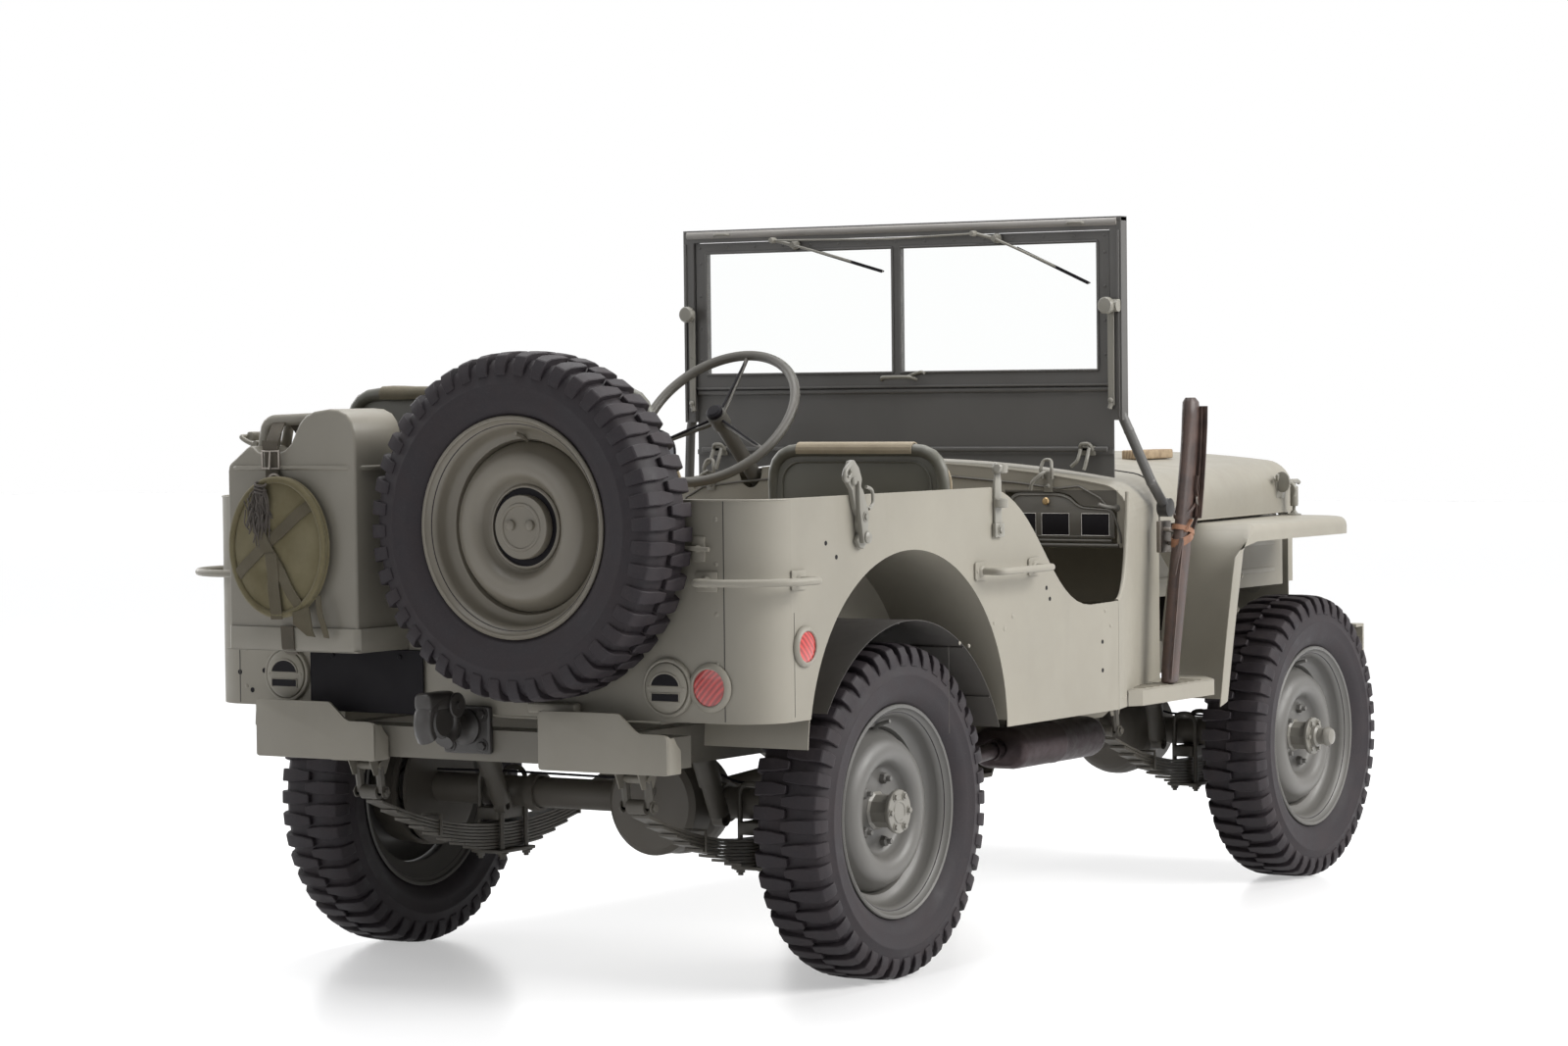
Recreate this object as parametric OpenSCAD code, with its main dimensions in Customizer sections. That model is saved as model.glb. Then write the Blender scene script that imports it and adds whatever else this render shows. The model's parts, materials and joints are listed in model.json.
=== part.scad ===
// Quarter-ton army 4x4, open body, windshield up, as parked.
// Modelled on the rear axle line (x forward, y left, z up from the ground) and then
// moved by place() so that the origin is the middle of the whole car on the ground.

/* [Running gear] */
// Distance between the axles
wheelbase = 2032; // [2000:4:2060]
// Distance between the wheel centre planes of one axle
track = 1246; // [1230:2:1260]
// Height of the wheel centres above the ground
axle_z = 356; // [350:1:360]
// Outside radius of the tyres
tyre_r = 356; // [350:1:360]
// Width of the tyres
tyre_w = 160; // [150:2:166]

/* [Body] */
// Half width over the flat body sides
side_y = 724; // [715:1:730]
// Height of the top edge of the rear body
tub_top = 1030; // [1015:1:1040]
// Thickness of the body panels
skin = 2.5; // [2:0.5:4]
// Radius of the rear body corners
corner_r = 100; // [70:5:110]
// Distance of the grab bars from the car's middle
handle_y = 778; // [770:1:785]
// Radius of the rear wheel openings
arch_r = 405; // [395:1:410]
// Half width of the hood at its rear edge
hood_rear_y = 590; // [580:1:595]
// Half width of the hood at the front
hood_front_y = 495; // [480:1:500]
// Height of the hood along its middle
hood_top = 1070; // [1060:1:1075]
// Radius of the rounded shoulders of hood and cowl
shoulder_r = 80; // [60:5:90]

/* [Windshield] */
// Height of the top of the windshield
shield_top = 1643; // [1620:1:1650]
// Half width of the windshield frame
shield_y = 618; // [610:1:622]
// Thickness of the windshield tubes
shield_tube = 30; // [26:1:34]

/* [Jerrycan and bucket] */
// Width, depth and height of the fuel can
can_size = [165, 345, 470];
// Radius of the flat canvas bucket
bucket_r = 146; // [140:1:150]

/* [Hidden] */
$fn = 64;
eps = 0.5;

// Ends of the car, and the shift that puts the origin in the middle
rear_x = -790;
front_x = 2640;
x_shift = -(rear_x + front_x) / 2;

// Axles and wheels
wheel_y = track / 2;
kingpin_y = 505;
rim_r = 207;
flange_r = 224;
bead_w = 112;
drum_in = 86;
arm_x = 160;
arm_y = 15;
arm_z = 340;
rod_z = 366;

// Frame
rail_y = 326;
rail_w = 45;
rail_h = 80;

// Body
rear_panel_x = -566;
bend_x = 923;
dash_x = 1050;
fire_x = 1385;
sill_z = 505;
floor_z = 520;
rear_floor_z = 575;
tail_z = 581;
arch_z = 503;
house_y = 470;
crown_r = 3720;
deck_z = 920;
lid_x0 = -545;
lid_x1 = -300;

// Front end
grille_x = 2330;
fender_z = 905;
fender_rear_x = 1600;
fender_front_x = 2275;
apron_foot_x = 1493;
apron_foot_z = 499;
hood_low = 912;
hinge_z = hood_top + 10;

// Windshield
shield_x = 1165;
pivot_x = 1312;
pivot_z = 955;
pivot_y = 646;
glass_y = 553;
glass_low = 1283;
glass_high = 1586;
panel_low = 1250;

// Seats and steering
seat_y = 360;
seat_w = 470;
seat_x = 405;
seat_z = 800;
seat_back_top = 1125;
seat_d = 440;
bench_hinge = [-470, 950];
bench_top = 884;
wheel_hub = [910, 360, 1177];
column_pitch = 42;
wheel_ring_r = 204;

// Rear
spare_c = [-655, -217, 975];
can_x = -735;
can_y = 342;

function bezier(a, b, c, d, n) = [
    for (i = [0 : n])
        let (t = i / n, s = 1 - t)
            s * s * s * a + 3 * s * s * t * b + 3 * s * t * t * c + t * t * t * d
];

// Points of an arc about the origin
function arc(r, from, to, n) = [
    for (i = [0 : n]) let (a = from + (to - from) * i / n) [r * cos(a), r * sin(a)]
];

// Inner half width of the cowl side at x
function cowl_y(x) = side_y - (x - bend_x) * (side_y - hood_rear_y) / (fire_x - bend_x);
// Height of the crowned top panels at y
function crown_z(y) = hood_top - crown_r + sqrt(crown_r * crown_r - y * y);

// Half section of the crowned panels: up the side, round the shoulder and to the middle
function half_section(w, low, inset) =
    let (r = shoulder_r, t = asin((w - r) / crown_r), y = w - r + r * sin(t), z = crown_z(y) - r * cos(t))
        concat(
            [[w - inset, low]],
            [for (p = arc(r - inset, 0, 90 - t, 8)) [w - r + p[0], z + p[1]]],
            [for (i = [7 : -1 : 0]) [y * i / 8, crown_z(y * i / 8) - inset]]
        );

module place() {
    translate([x_shift, 0, 0]) children();
}

module both_sides() {
    children();
    mirror([0, 1, 0]) children();
}

module box(low, high) {
    translate(low) cube(high - low);
}

// Round bar from a to b
module bar(a, b, r) {
    d = b - a;
    len = norm(d);
    translate(a)
        rotate([0, acos(d[2] / len), atan2(d[1], d[0])])
            cylinder(r = r, h = len);
}

// Bar along a list of points, with a slightly larger ball at each bend
module bent_bar(pts, r) {
    for (i = [0 : len(pts) - 2]) bar(pts[i], pts[i + 1], r);
    for (i = [1 : len(pts) - 2]) translate(pts[i]) sphere(r = r + 0.7);
}

// Outline in the x-z plane, extruded from y0 to y1
module side_plate(pts, y0, y1) {
    translate([0, y1, 0]) rotate([90, 0, 0]) linear_extrude(y1 - y0) polygon(pts);
}

// Outline in the y-z plane, extruded from x0 to x1
module cross_plate(pts, x0, x1) {
    translate([x0, 0, 0]) rotate([90, 0, 90]) linear_extrude(x1 - x0) polygon(pts);
}

// Solid of everything under the crowned top, lowered by drop
module under_crown(x0, x1, drop) {
    translate([x0, 0, hood_top - crown_r - drop])
        rotate([0, 90, 0]) cylinder(r = crown_r, h = x1 - x0, $fn = 256);
}

// Solid under the rounded panels, from half width w0 at x0 to w1 at x1
module panel_core(x0, w0, x1, w1, low, inset) {
    hull() for (end = [[x0, w0], [x1 - 1, w1]]) {
        half = half_section(end[1], low, inset);
        cross_plate(concat(half, [for (i = [len(half) - 2 : -1 : 0]) [-half[i][0], half[i][1]]]),
            end[0], end[0] + 1);
    }
}

// ---------- chassis ----------

rail_top = [[-575, 550], [10, 550], [85, 512], [1500, 512], [1760, 600], [2590, 600]];
rail_low = [for (i = [len(rail_top) - 1 : -1 : 0]) rail_top[i] - [0, rail_h]];

module frame_rails() color("#6f7164") place() {
    both_sides() side_plate(concat(rail_top, rail_low), rail_y, rail_y + rail_w);
    box([-575, -500, 484], [-500, 500, 549]);
    box([380, -rail_y, 440], [440, rail_y, 500]);
    box([1510, -rail_y, 440], [1560, rail_y, 500]);
    box([2440, -rail_y, 530], [2500, rail_y, 590]);
}

module front_bumper() color("#6f7164") place() {
    difference() {
        box([2592, -550, 510], [front_x, 550, 604]);
        box([2592 - 1, -555, 518], [front_x - 8, 555, 596]);
        for (s = [-1, 1])
            translate([front_x - 20, s * 250, 557])
                rotate([0, 90, 0]) cylinder(r = 11, h = 40);
    }
}

module bumperettes() color("#6f7164") place() {
    both_sides() difference() {
        box([-632, 212, 478], [-575 - eps, 531, 600]);
        box([-626, 200, 484], [-570, 545, 594]);
        translate([-640, 531, 600]) rotate([0, 90, 0]) cylinder(r = 36, h = 80);
        translate([-640, 212, 600]) rotate([0, 90, 0]) cylinder(r = 36, h = 80);
        box([-600, 200, 586], [-570, 545, 610]);
    }
}

module tow_hook() color("#3c3a36") place() {
    box([-590, -60, 500], [-575.5, 60, 600]);
    translate([-640, 0, 560]) rotate([0, 90, 0]) cylinder(r = 26, h = 50);
    difference() {
        translate([-690, 22, 575]) rotate([90, 0, 0]) cylinder(r = 62, h = 44);
        translate([-690, 30, 575]) rotate([90, 0, 0]) cylinder(r = 30, h = 60);
        box([-760, -30, 590], [-715, 30, 645]);
    }
}

// Axle tubes with the round differential housing and its cover
module axle_beam(diff_y, reach) {
    translate([0, reach, 0]) rotate([90, 0, 0]) cylinder(r = 34, h = 2 * reach);
    translate([0, diff_y, 0]) rotate([0, 90, 0]) rotate_extrude()
        polygon(concat([[0, -118]], arc(118, -80, 18, 10), [[112, 102], [100, 112], [0, 112]]));
}

module rear_axle() color("#45463f") place() {
    translate([0, 0, axle_z]) {
        mirror([1, 0, 0]) axle_beam(-130, 530);
        both_sides() translate([0, 522, 0]) rotate([-90, 0, 0]) cylinder(r = 130, h = 8);
    }
}

module front_axle() color("#45463f") place() {
    translate([wheelbase, 0, axle_z]) {
        axle_beam(-130, 448);
        both_sides() translate([0, kingpin_y, 0]) rotate([-90, 0, 0])
            rotate_extrude() polygon(concat([[0, -60]], arc(70, -59, 25, 12), [[0, 30]]));
    }
}

// Half shell over the axle's ball, spindle, backing plate and steering arm
module knuckle() {
    rotate([-90, 0, 0]) rotate_extrude()
        polygon(concat(arc(72, -10, 89, 12), [[1, 78], [40, 86]], arc(86, 60, -10, 10)));
    translate([0, 0, 79]) cylinder(r = 30, h = 16);
    translate([0, 0, -95]) cylinder(r = 30, h = 16);
    translate([0, 28, 0]) rotate([-90, 0, 0]) difference() {
        cylinder(r = 130, h = 6);
        translate([0, 0, -1]) cylinder(r = 76, h = 8);
    }
}

module steering_arm() {
    difference() {
        union() {
            box([50, -arm_y - 16, arm_z - 10], [arm_x, -arm_y + 16, arm_z + 8]);
            box([40, -arm_y - 16, arm_z - 10], [76, 44, arm_z + 8]);
        }
        translate([0, 0, axle_z]) sphere(r = 84);
    }
    translate([arm_x, -arm_y, arm_z - 10]) cylinder(r = 18, h = 18);
}

module knuckle_left() color("#45463f") place() translate([wheelbase, kingpin_y, 0]) {
    translate([0, 0, axle_z]) knuckle();
    steering_arm();
}

module knuckle_right() color("#45463f") mirror([0, 1, 0]) knuckle_left();

module tie_rod() color("#45463f") place() {
    end_y = kingpin_y - arm_y;
    translate([wheelbase + arm_x, 0, 0]) {
        bar([0, -end_y + 20, rod_z], [0, end_y - 20, rod_z], 13);
        both_sides() translate([0, end_y, arm_z + 9]) cylinder(r = 22, h = rod_z + 16 - arm_z - 9);
    }
}

// Leaf pack: leaves of one arc, each shorter than the one above
module leaf_spring(count) {
    sag = 95;
    half = 465;
    leaf = 6.5;
    r = (half * half + sag * sag) / (2 * sag);
    function reach(i) = half * (1 - 0.8 * i / count);
    function low(x, i) = r - sqrt(pow(r + leaf * i, 2) - x * x);
    top = [for (k = [-12 : 12]) [half * k / 12, low(half * k / 12, 0)]];
    right = [for (i = [0 : count - 1]) for (k = [i, i + 1]) [reach(i), low(reach(i), k)]];
    under = [for (k = [3 : -1 : -3]) [reach(count - 1) * k / 3.5, low(reach(count - 1) * k / 3.5, count)]];
    left = [for (k = [len(right) - 1 : -1 : 1]) [-right[k][0], right[k][1]]];
    side_plate(concat(top, [for (k = [1 : len(right) - 1]) right[k]], under, left), -22, 22);
}

module springs() color("#4b4b42") place() {
    both_sides() {
        for (x = [0, wheelbase]) translate([x, 348, 0]) {
            translate([0, 0, axle_z - 68]) leaf_spring(8);
            translate([-60, -40, axle_z - 62]) cube([120, 80, 26]);
            for (s = [-1, 1]) translate([s * 470, 22, axle_z + 38])
                rotate([90, 0, 0]) cylinder(r = 16, h = 44);
        }
        bar([-70, 290, 330], [-150, 290, 480], 24);
        bar([wheelbase - 70, 290, 330], [wheelbase - 130, 290, 520], 24);
        box([-95, 262, 312], [-60, 318, 330]);
        box([wheelbase - 95, 262, 312], [wheelbase - 60, 318, 330]);
    }
}

module drivetrain() color("#3f403a") place() {
    box([880, -170, 330], [1180, 60, 505]);
    box([1180, -110, 380], [1500, 110, 520]);
    side_plate([[820, 300], [1250, 300], [1330, 430], [1250, 310], [820, 310]], -200, 200);
    bar([130, -130, axle_z], [880, -130, 400], 30);
    bar([1180, -140, 400], [wheelbase - 120, -130, axle_z], 26);
}

module exhaust() color("#5b4a3c") place() {
    translate([0, -455, 412]) {
        for (s = [-28, 28])
            translate([830, s, 0]) rotate([0, 90, 0]) cylinder(r = 48, h = 400);
        box([830, -28, -48], [1230, 28, 48]);
    }
    bar([830, -455, 412], [660, -455, 400], 20);
    bar([1230, -455, 405], [1560, -250, 395], 20);
}

module engine_block() color("#47483f") place() {
    box([1520, -190, 525], [2130, 190, 930]);
    box([2215, -260, 600], [2275, 260, 985]);
}

module fuel_tank() color("#7a7b6c") place() {
    box([420, 165, floor_z + skin + eps], [860, 555, 690]);
}

// ---------- body ----------

// Plan of the tub, with round rear corners; inset makes the inner outline
module tub_plan(inset) {
    w = side_y - inset;
    x0 = rear_panel_x + inset;
    r = corner_r - inset;
    translate([x0 + r, -w]) square([bend_x - x0 - r, 2 * w]);
    translate([x0, -w + r]) square([r + 1, 2 * (w - r)]);
    for (s = [-1, 1]) translate([x0 + r, s * (w - r)]) circle(r = r);
}

side_profile = concat(
    [[rear_panel_x - 50, tail_z], [-150, tail_z], [150, sill_z], [bend_x + 1, sill_z], [bend_x + 1, 754]],
    bezier([790, 752], [600, 757], [560, 1000], [340, tub_top], 16),
    [[rear_panel_x - 50, tub_top]]
);

module wheel_house() {
    intersection() {
        difference() {
            translate([0, side_y - skin, arch_z]) rotate([90, 0, 0])
                cylinder(r = arch_r + skin, h = side_y - skin - house_y, $fn = 128);
            translate([0, side_y, arch_z]) rotate([90, 0, 0])
                cylinder(r = arch_r, h = side_y - house_y - skin, $fn = 128);
        }
        box([-arch_r - 5, house_y, floor_z], [arch_r + 5, side_y, 1000]);
    }
}

// Locker behind each wheel house, closed by a lid
module tool_locker() {
    difference() {
        box([rear_panel_x + 1, house_y, rear_floor_z], [-262, side_y - 1, deck_z]);
        box([rear_panel_x - 1, house_y + skin, rear_floor_z - 1], [-262 - skin, side_y + 1, deck_z - skin]);
        box([lid_x0 - 3, house_y + 17, deck_z - 10], [lid_x1 + 3, side_y - 69, deck_z + 10]);
        translate([0, side_y, arch_z]) rotate([90, 0, 0])
            cylinder(r = arch_r + 1, h = side_y - house_y - skin, $fn = 128);
    }
}

module body_tub() color("#a9a491") place() {
    intersection() {
        translate([0, 0, 500]) linear_extrude(560) difference() {
            tub_plan(0);
            tub_plan(skin);
            translate([bend_x - 3, -side_y + skin]) square([9, 2 * (side_y - skin)]);
        }
        difference() {
            side_plate(side_profile, -side_y - 1, side_y + 1);
            translate([0, side_y + 5, arch_z]) rotate([90, 0, 0])
                cylinder(r = arch_r, h = 2 * side_y + 10, $fn = 128);
        }
    }
    intersection() {
        union() {
            box([rear_panel_x + 1, -house_y - 1, rear_floor_z], [100, house_y + 1, rear_floor_z + skin]);
            box([100, -house_y - 1, floor_z], [100 + skin, house_y + 1, rear_floor_z + skin]);
            box([100, -side_y + 1, floor_z], [bend_x, side_y - 1, floor_z + skin]);
            both_sides() wheel_house();
            both_sides() tool_locker();
        }
        difference() {
            translate([0, 0, 400]) linear_extrude(800) tub_plan(skin / 2);
            both_sides() translate([0, side_y + 5, arch_z]) rotate([90, 0, 0])
                cylinder(r = arch_r, h = side_y - house_y - skin + 5, $fn = 128);
        }
    }
}

cowl_profile = concat(
    [[bend_x + 1, sill_z], [fire_x, sill_z], [fire_x, hood_top + 5], [dash_x, hood_top + 5]],
    bezier([dash_x - 3, 1000], [dash_x - 15, 880], [1010, 757], [bend_x + 1, 754], 10)
);

module cowl_core(inset) {
    panel_core(bend_x + 1 - inset, side_y, fire_x + inset, hood_rear_y, sill_z - inset, inset);
}

module cowl() color("#8f8b7b") place() {
    intersection() {
        union() {
            difference() {
                cowl_core(0);
                cowl_core(skin);
            }
            box([fire_x - skin, -hood_rear_y, floor_z], [fire_x, hood_rear_y, 1100]);
            box([dash_x, -side_y, 870], [dash_x + skin, side_y, 1100]);
            box([bend_x + 1, -side_y, floor_z], [fire_x - 220, side_y, floor_z + skin]);
            side_plate(
                [[fire_x - 220, floor_z], [fire_x, floor_z + 200], [fire_x, floor_z + 204],
                    [fire_x - 224, floor_z]],
                -side_y, side_y
            );
        }
        side_plate(cowl_profile, -side_y, side_y);
        cowl_core(0);
        difference() {
            box([0, -side_y, 400], [2000, side_y, 1200]);
            glove_hole();
            column_path(34);
        }
    }
}

module glove_hole() {
    box([dash_x - 5, -655, 875], [dash_x + 10, -357, 1003]);
}

// Straight run of the steering column, from the hub to the gear box
module column_path(r) {
    translate(wheel_hub) rotate([0, 90 + column_pitch, 0]) translate([0, 0, 24]) cylinder(r = r, h = 760);
}

module front_fenders() color("#a9a491") place() {
    both_sides() {
        difference() {
            translate([0, 0, fender_z - 42]) linear_extrude(42) fender_plan(0);
            translate([0, 0, fender_z - 43]) linear_extrude(43 - skin) fender_plan(skin);
            box([1500, 300, 800], [fender_rear_x + 1, 700, fender_z - skin]);
        }
        side_plate([
            [apron_foot_x, apron_foot_z], [apron_foot_x + 3, apron_foot_z],
            [fender_rear_x + 3, fender_z - skin - eps], [fender_rear_x, fender_z - skin - eps]
        ], 562, side_y);
        side_plate([
            [apron_foot_x, apron_foot_z], [apron_foot_x + 26, apron_foot_z],
            [fender_rear_x + 26, fender_z - 44], [fender_rear_x, fender_z - 44]
        ], side_y - skin, side_y);
        // inner splash panel under the hood edge
        box([fire_x + 2, 478, 725], [2290, 480.5, fender_z - skin - eps]);
        // step
        difference() {
            translate([0, 0, apron_foot_z + 6]) linear_extrude(38) step_plan(0);
            translate([0, 0, apron_foot_z + 5]) linear_extrude(39 - skin) step_plan(skin);
        }
    }
}

module fender_plan(inset) {
    y1 = side_y - inset;
    x1 = fender_front_x - inset;
    r = 150 - inset;
    translate([fender_rear_x + inset, 482 + inset]) square([x1 - r - fender_rear_x - inset,
        y1 - 482 - inset]);
    translate([fender_rear_x + inset, 482 + inset]) square([x1 - fender_rear_x - inset,
        y1 - r - 482 - inset]);
    translate([x1 - r, y1 - r]) circle(r = r);
}

module step_plan(inset) {
    polygon([
        [1010, cowl_y(1010) + 2 + inset], [1040, side_y - inset], [apron_foot_x - 4, side_y - inset],
        [apron_foot_x - 4, hood_rear_y + 2 + inset], [fire_x, hood_rear_y + 2 + inset]
    ]);
}

module grille() color("#a9a491") place() {
    difference() {
        union() {
            box([grille_x, -478, 560], [grille_x + 3, 478, 1035]);
            box([grille_x + 3, -478, 730], [grille_x + 26, -475, 1000]);
            box([grille_x + 3, 475, 730], [grille_x + 26, 478, 1000]);
        }
        for (i = [-4 : 4])
            box([grille_x - 1, i * 60 - 19, 670], [grille_x + 5, i * 60 + 19, 990]);
        for (s = [-1, 1]) {
            translate([grille_x - 1, s * 375, 860]) rotate([0, 90, 0]) cylinder(r = 88, h = 6);
            box([grille_x - 1, s * 348 - 27, 550], [grille_x + 5, s * 348 + 27, 605]);
            // room for the steered tyre
            box([grille_x - 1, s * 450 - 40, 550], [grille_x + 5, s * 450 + 40, 606]);
        }
        difference() {
            box([grille_x - 1, -500, 950], [grille_x + 30, 500, 1100]);
            box([grille_x - 2, -430, 940], [grille_x + 31, 430, 1036]);
            for (s = [-1, 1])
                translate([grille_x - 2, s * 393, 950]) rotate([0, 90, 0]) cylinder(r = 85, h = 34);
        }
    }
}

module headlamps() color("#c9c9c4") place() {
    both_sides() translate([grille_x - 110, 375, 860]) {
        rotate([0, 90, 0]) cylinder(r = 84, h = 108);
    }
}

// Hood: crowned top, round shoulders and upright sides, open at both ends
module hood() color("#b0ab98") place() {
    x0 = fire_x + 6;
    x1 = grille_x - 6;
    difference() {
        panel_core(x0, hood_rear_y, x1, hood_front_y, hood_low, 0);
        panel_core(x0 - 3, hood_rear_y, x1 + 3, hood_front_y, hood_low - 1, skin);
    }
    for (s = [-1, 1]) {
        box([1790, s * 300 - 25, hood_top - 18], [1980, s * 300 + 25, hood_top + 12]);
        // hinge with its barrel above the firewall
        box([fire_x + 8, s * 180 - 30, hood_top - 12], [fire_x + 46, s * 180 + 30, hinge_z - 1]);
        translate([fire_x + 1, s * 180 + 30, hinge_z]) rotate([90, 0, 0]) cylinder(r = 9, h = 60);
    }
}

// ---------- windshield ----------

module shield_leg() {
    y = shield_y - shield_tube / 2;
    bent_bar([
        [shield_x, y, 1190], [shield_x + 12, y + 18, 1140],
        [shield_x + 56, pivot_y + 10, 1018], [pivot_x, pivot_y, pivot_z]
    ], 12);
    translate([pivot_x, pivot_y + 13, pivot_z]) rotate([90, 0, 0]) cylinder(r = 22, h = 26);
}

module windshield_frame() color("#7b786b") place() {
    half = shield_tube / 2;
    // outer hoop
    box([shield_x - half, -shield_y, shield_top - shield_tube], [shield_x + half, shield_y, shield_top]);
    both_sides() {
        box([shield_x - half, shield_y - shield_tube, 1165],
            [shield_x + half, shield_y, shield_top - shield_tube]);
        shield_leg();
    }
    // glass frame with its centre bar
    difference() {
        box([shield_x - 9, -shield_y + shield_tube + 4, panel_low],
            [shield_x + 9, shield_y - shield_tube - 4, shield_top - shield_tube - 2]);
        box([shield_x - 20, 11, glass_low], [shield_x + 20, glass_y, glass_high]);
        box([shield_x - 20, -glass_y, glass_low], [shield_x + 20, -11, glass_high]);
    }
    // lower panel with an arched lower edge
    intersection() {
        box([shield_x - 2, -shield_y + shield_tube, 1000], [shield_x + 2, shield_y - shield_tube, panel_low]);
        difference() {
            box([shield_x - 5, -700, 900], [shield_x + 5, 700, 1300]);
            under_crown(shield_x - 6, shield_x + 6, -6);
        }
    }
    box([shield_x - 6, -shield_y + shield_tube, 1085], [shield_x - 2, shield_y - shield_tube, 1097]);
}

module windshield_glass() color("#b8c4c0", 0.4) place() {
    both_sides() box([shield_x - 3, 11 + eps, glass_low + eps],
        [shield_x + 3, glass_y - eps, glass_high - eps]);
}

// ---------- cabin ----------

module steering_column() color("#55564c") place() {
    column_path(19);
    box([1440, 330, 530], [1530, 392, 640]);
}

module steering_wheel() color("#4c4d43") place() translate(wheel_hub) rotate([0, 90 + column_pitch, 0]) {
    rotate_extrude() translate([wheel_ring_r, 0]) circle(r = 12);
    translate([0, 0, -14]) cylinder(r = 24, h = 36);
    for (a = [0 : 120 : 240]) rotate([0, 0, a + 180]) bar([20, 0, 10], [wheel_ring_r, 0, 0], 5);
}

// Tube frame of a front seat: back hoop, pan and legs, from its own floor point
module seat_frame() {
    half = seat_w / 2;
    r = 15;
    bent_bar([
        [seat_d, half - r, seat_z - 62], [30, half - r, seat_z - 62], [0, half - r, seat_z],
        [-25, half - r, seat_back_top - 90], [-28, half - 60, seat_back_top - r],
        [-28, -half + 60, seat_back_top - r], [-25, -half + r, seat_back_top - 90],
        [0, -half + r, seat_z], [30, -half + r, seat_z - 62], [seat_d, -half + r, seat_z - 62]
    ], r);
    bar([seat_d, half - r, seat_z - 62], [seat_d, -half + r, seat_z - 62], r);
    box([10, -half + r, seat_z - 62], [seat_d, half - r, seat_z - 58]);
    cross_plate([
        [-half + r, seat_z - 20], [half - r, seat_z - 20], [half - r, seat_back_top - 95],
        [half - 65, seat_back_top - r], [-half + 65, seat_back_top - r], [-half + r, seat_back_top - 95]
    ], -29, -25);
}

module seat_pad() {
    half = seat_w / 2;
    box([40, -half + 4, seat_z - 44], [seat_d - 5, half - 4, seat_z + 30]);
    translate([-3, 0, 0]) box([0, -half + 32, seat_z + 40], [42, half - 32, seat_back_top - 36]);
}

module driver_seat() color("#55564c") place() translate([seat_x, seat_y, 0]) seat_frame();

// Frame of the rear bench, between the wheel houses
module rear_bench() color("#55564c") place() {
    for (s = [-1, 1]) {
        bar([-440, s * 395, 800], [0, s * 395, 800], 14);
        bar([-20, s * 395, 800], [-20, s * 395, rear_floor_z + skin], 12);
        bar([-420, s * 395, 800], [-420, s * 395, rear_floor_z + skin], 12);
    }
    box([-440, -400, 814], [0, 400, 818]);
    for (s = [-1, 1]) bar([bench_hinge[0], s * 425, 800], [bench_hinge[0], s * 425, bench_hinge[1] + 20], 11);
    for (s = [-1, 1]) bar([bench_hinge[0], s * 395, 800], [bench_hinge[0], s * 425, 800], 11);
}

module seat_cushions() color("#8d8464") place() {
    translate([seat_x, seat_y, 0]) seat_pad();
    box([-430, -405, 819], [0, 405, bench_top]);
}

module passenger_seat() color("#55564c") place() translate([seat_x, -seat_y, 0]) {
    seat_frame();
    for (s = [-1, 1]) {
        y = s * (seat_w / 2 - 15);
        bar([seat_d - 20, y, seat_z - 62], [seat_d - 20, y, floor_z + skin + 17], 11);
        bar([60, y, seat_z - 62], [60, y, floor_z + skin + 6], 11);
        bar([seat_d - 20, y - 15, floor_z + skin + 17], [seat_d - 20, y + 15, floor_z + skin + 17], 13);
    }
}

module passenger_pad() color("#8d8464") place() translate([seat_x, -seat_y, 0]) seat_pad();

module rear_seat_back() color("#55564c") place() {
    half = 386;
    x = bench_hinge[0];
    low = bench_hinge[1] - 18;
    bent_bar([
        [x, half, low], [x, half, 1172], [x, half - 60, 1246],
        [x, -half + 60, 1246], [x, -half, 1172], [x, -half, low]
    ], 14);
    inner = half - 5;
    cross_plate([
        [-inner, bench_hinge[1] + 3], [inner, bench_hinge[1] + 3], [inner, 1169],
        [inner - 58, 1239], [-inner + 58, 1239], [-inner, 1169]
    ], x + 2, x + 6);
    for (s = [-1, 1]) bar([x, s * (half - 4), bench_hinge[1]], [x, s * (half + 20), bench_hinge[1]], 9);
}

module rear_back_pad() color("#8d8464") place() {
    box([bench_hinge[0] + 14.5, -370, bench_hinge[1] + 15], [bench_hinge[0] + 56, 370, 1228]);
}

module glovebox_lid() color("#8f8b7b") place() {
    box([dash_x - 2, -649, 887], [dash_x + 1, -363, 997]);
    translate([dash_x - 2, -506, 975]) rotate([0, -90, 0]) cylinder(r = 9, h = 10);
    translate([dash_x - 1, -370, 885]) rotate([90, 0, 0]) cylinder(r = 4, h = 272);
}

module toolbox_lid() {
    box([lid_x0 + 3, house_y + 23, deck_z - skin], [lid_x1 - 3, side_y - 78, deck_z]);
    translate([lid_x0 + 20, side_y - 77.8, deck_z + eps]) rotate([0, 90, 0]) cylinder(r = 3,
        h = lid_x1 - lid_x0 - 40);
}

module toolbox_lid_left() color("#8f8b7b") place() toolbox_lid();
module toolbox_lid_right() color("#8f8b7b") mirror([0, 1, 0]) toolbox_lid_left();

// ---------- wheels ----------

module tyre_solid() {
    half = tyre_w / 2;
    rotate_extrude() polygon(concat(
        [[rim_r + eps, -bead_w / 2 + eps], [flange_r, -bead_w / 2 + eps]],
        bezier([flange_r + 2, -bead_w / 2 - 4], [262, -half - 8], [310, -half - 2],
            [tyre_r - 18, -half + 10], 8),
        [[tyre_r - 4, -half + 22], [tyre_r, -half + 40], [tyre_r, half - 40], [tyre_r - 4, half - 22]],
        bezier([tyre_r - 18, half - 10], [310, half + 2], [262, half + 8], [flange_r + 2, bead_w / 2 + 4], 8),
        [[flange_r, bead_w / 2 - eps], [rim_r + eps, bead_w / 2 - eps]]
    ));
}

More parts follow.
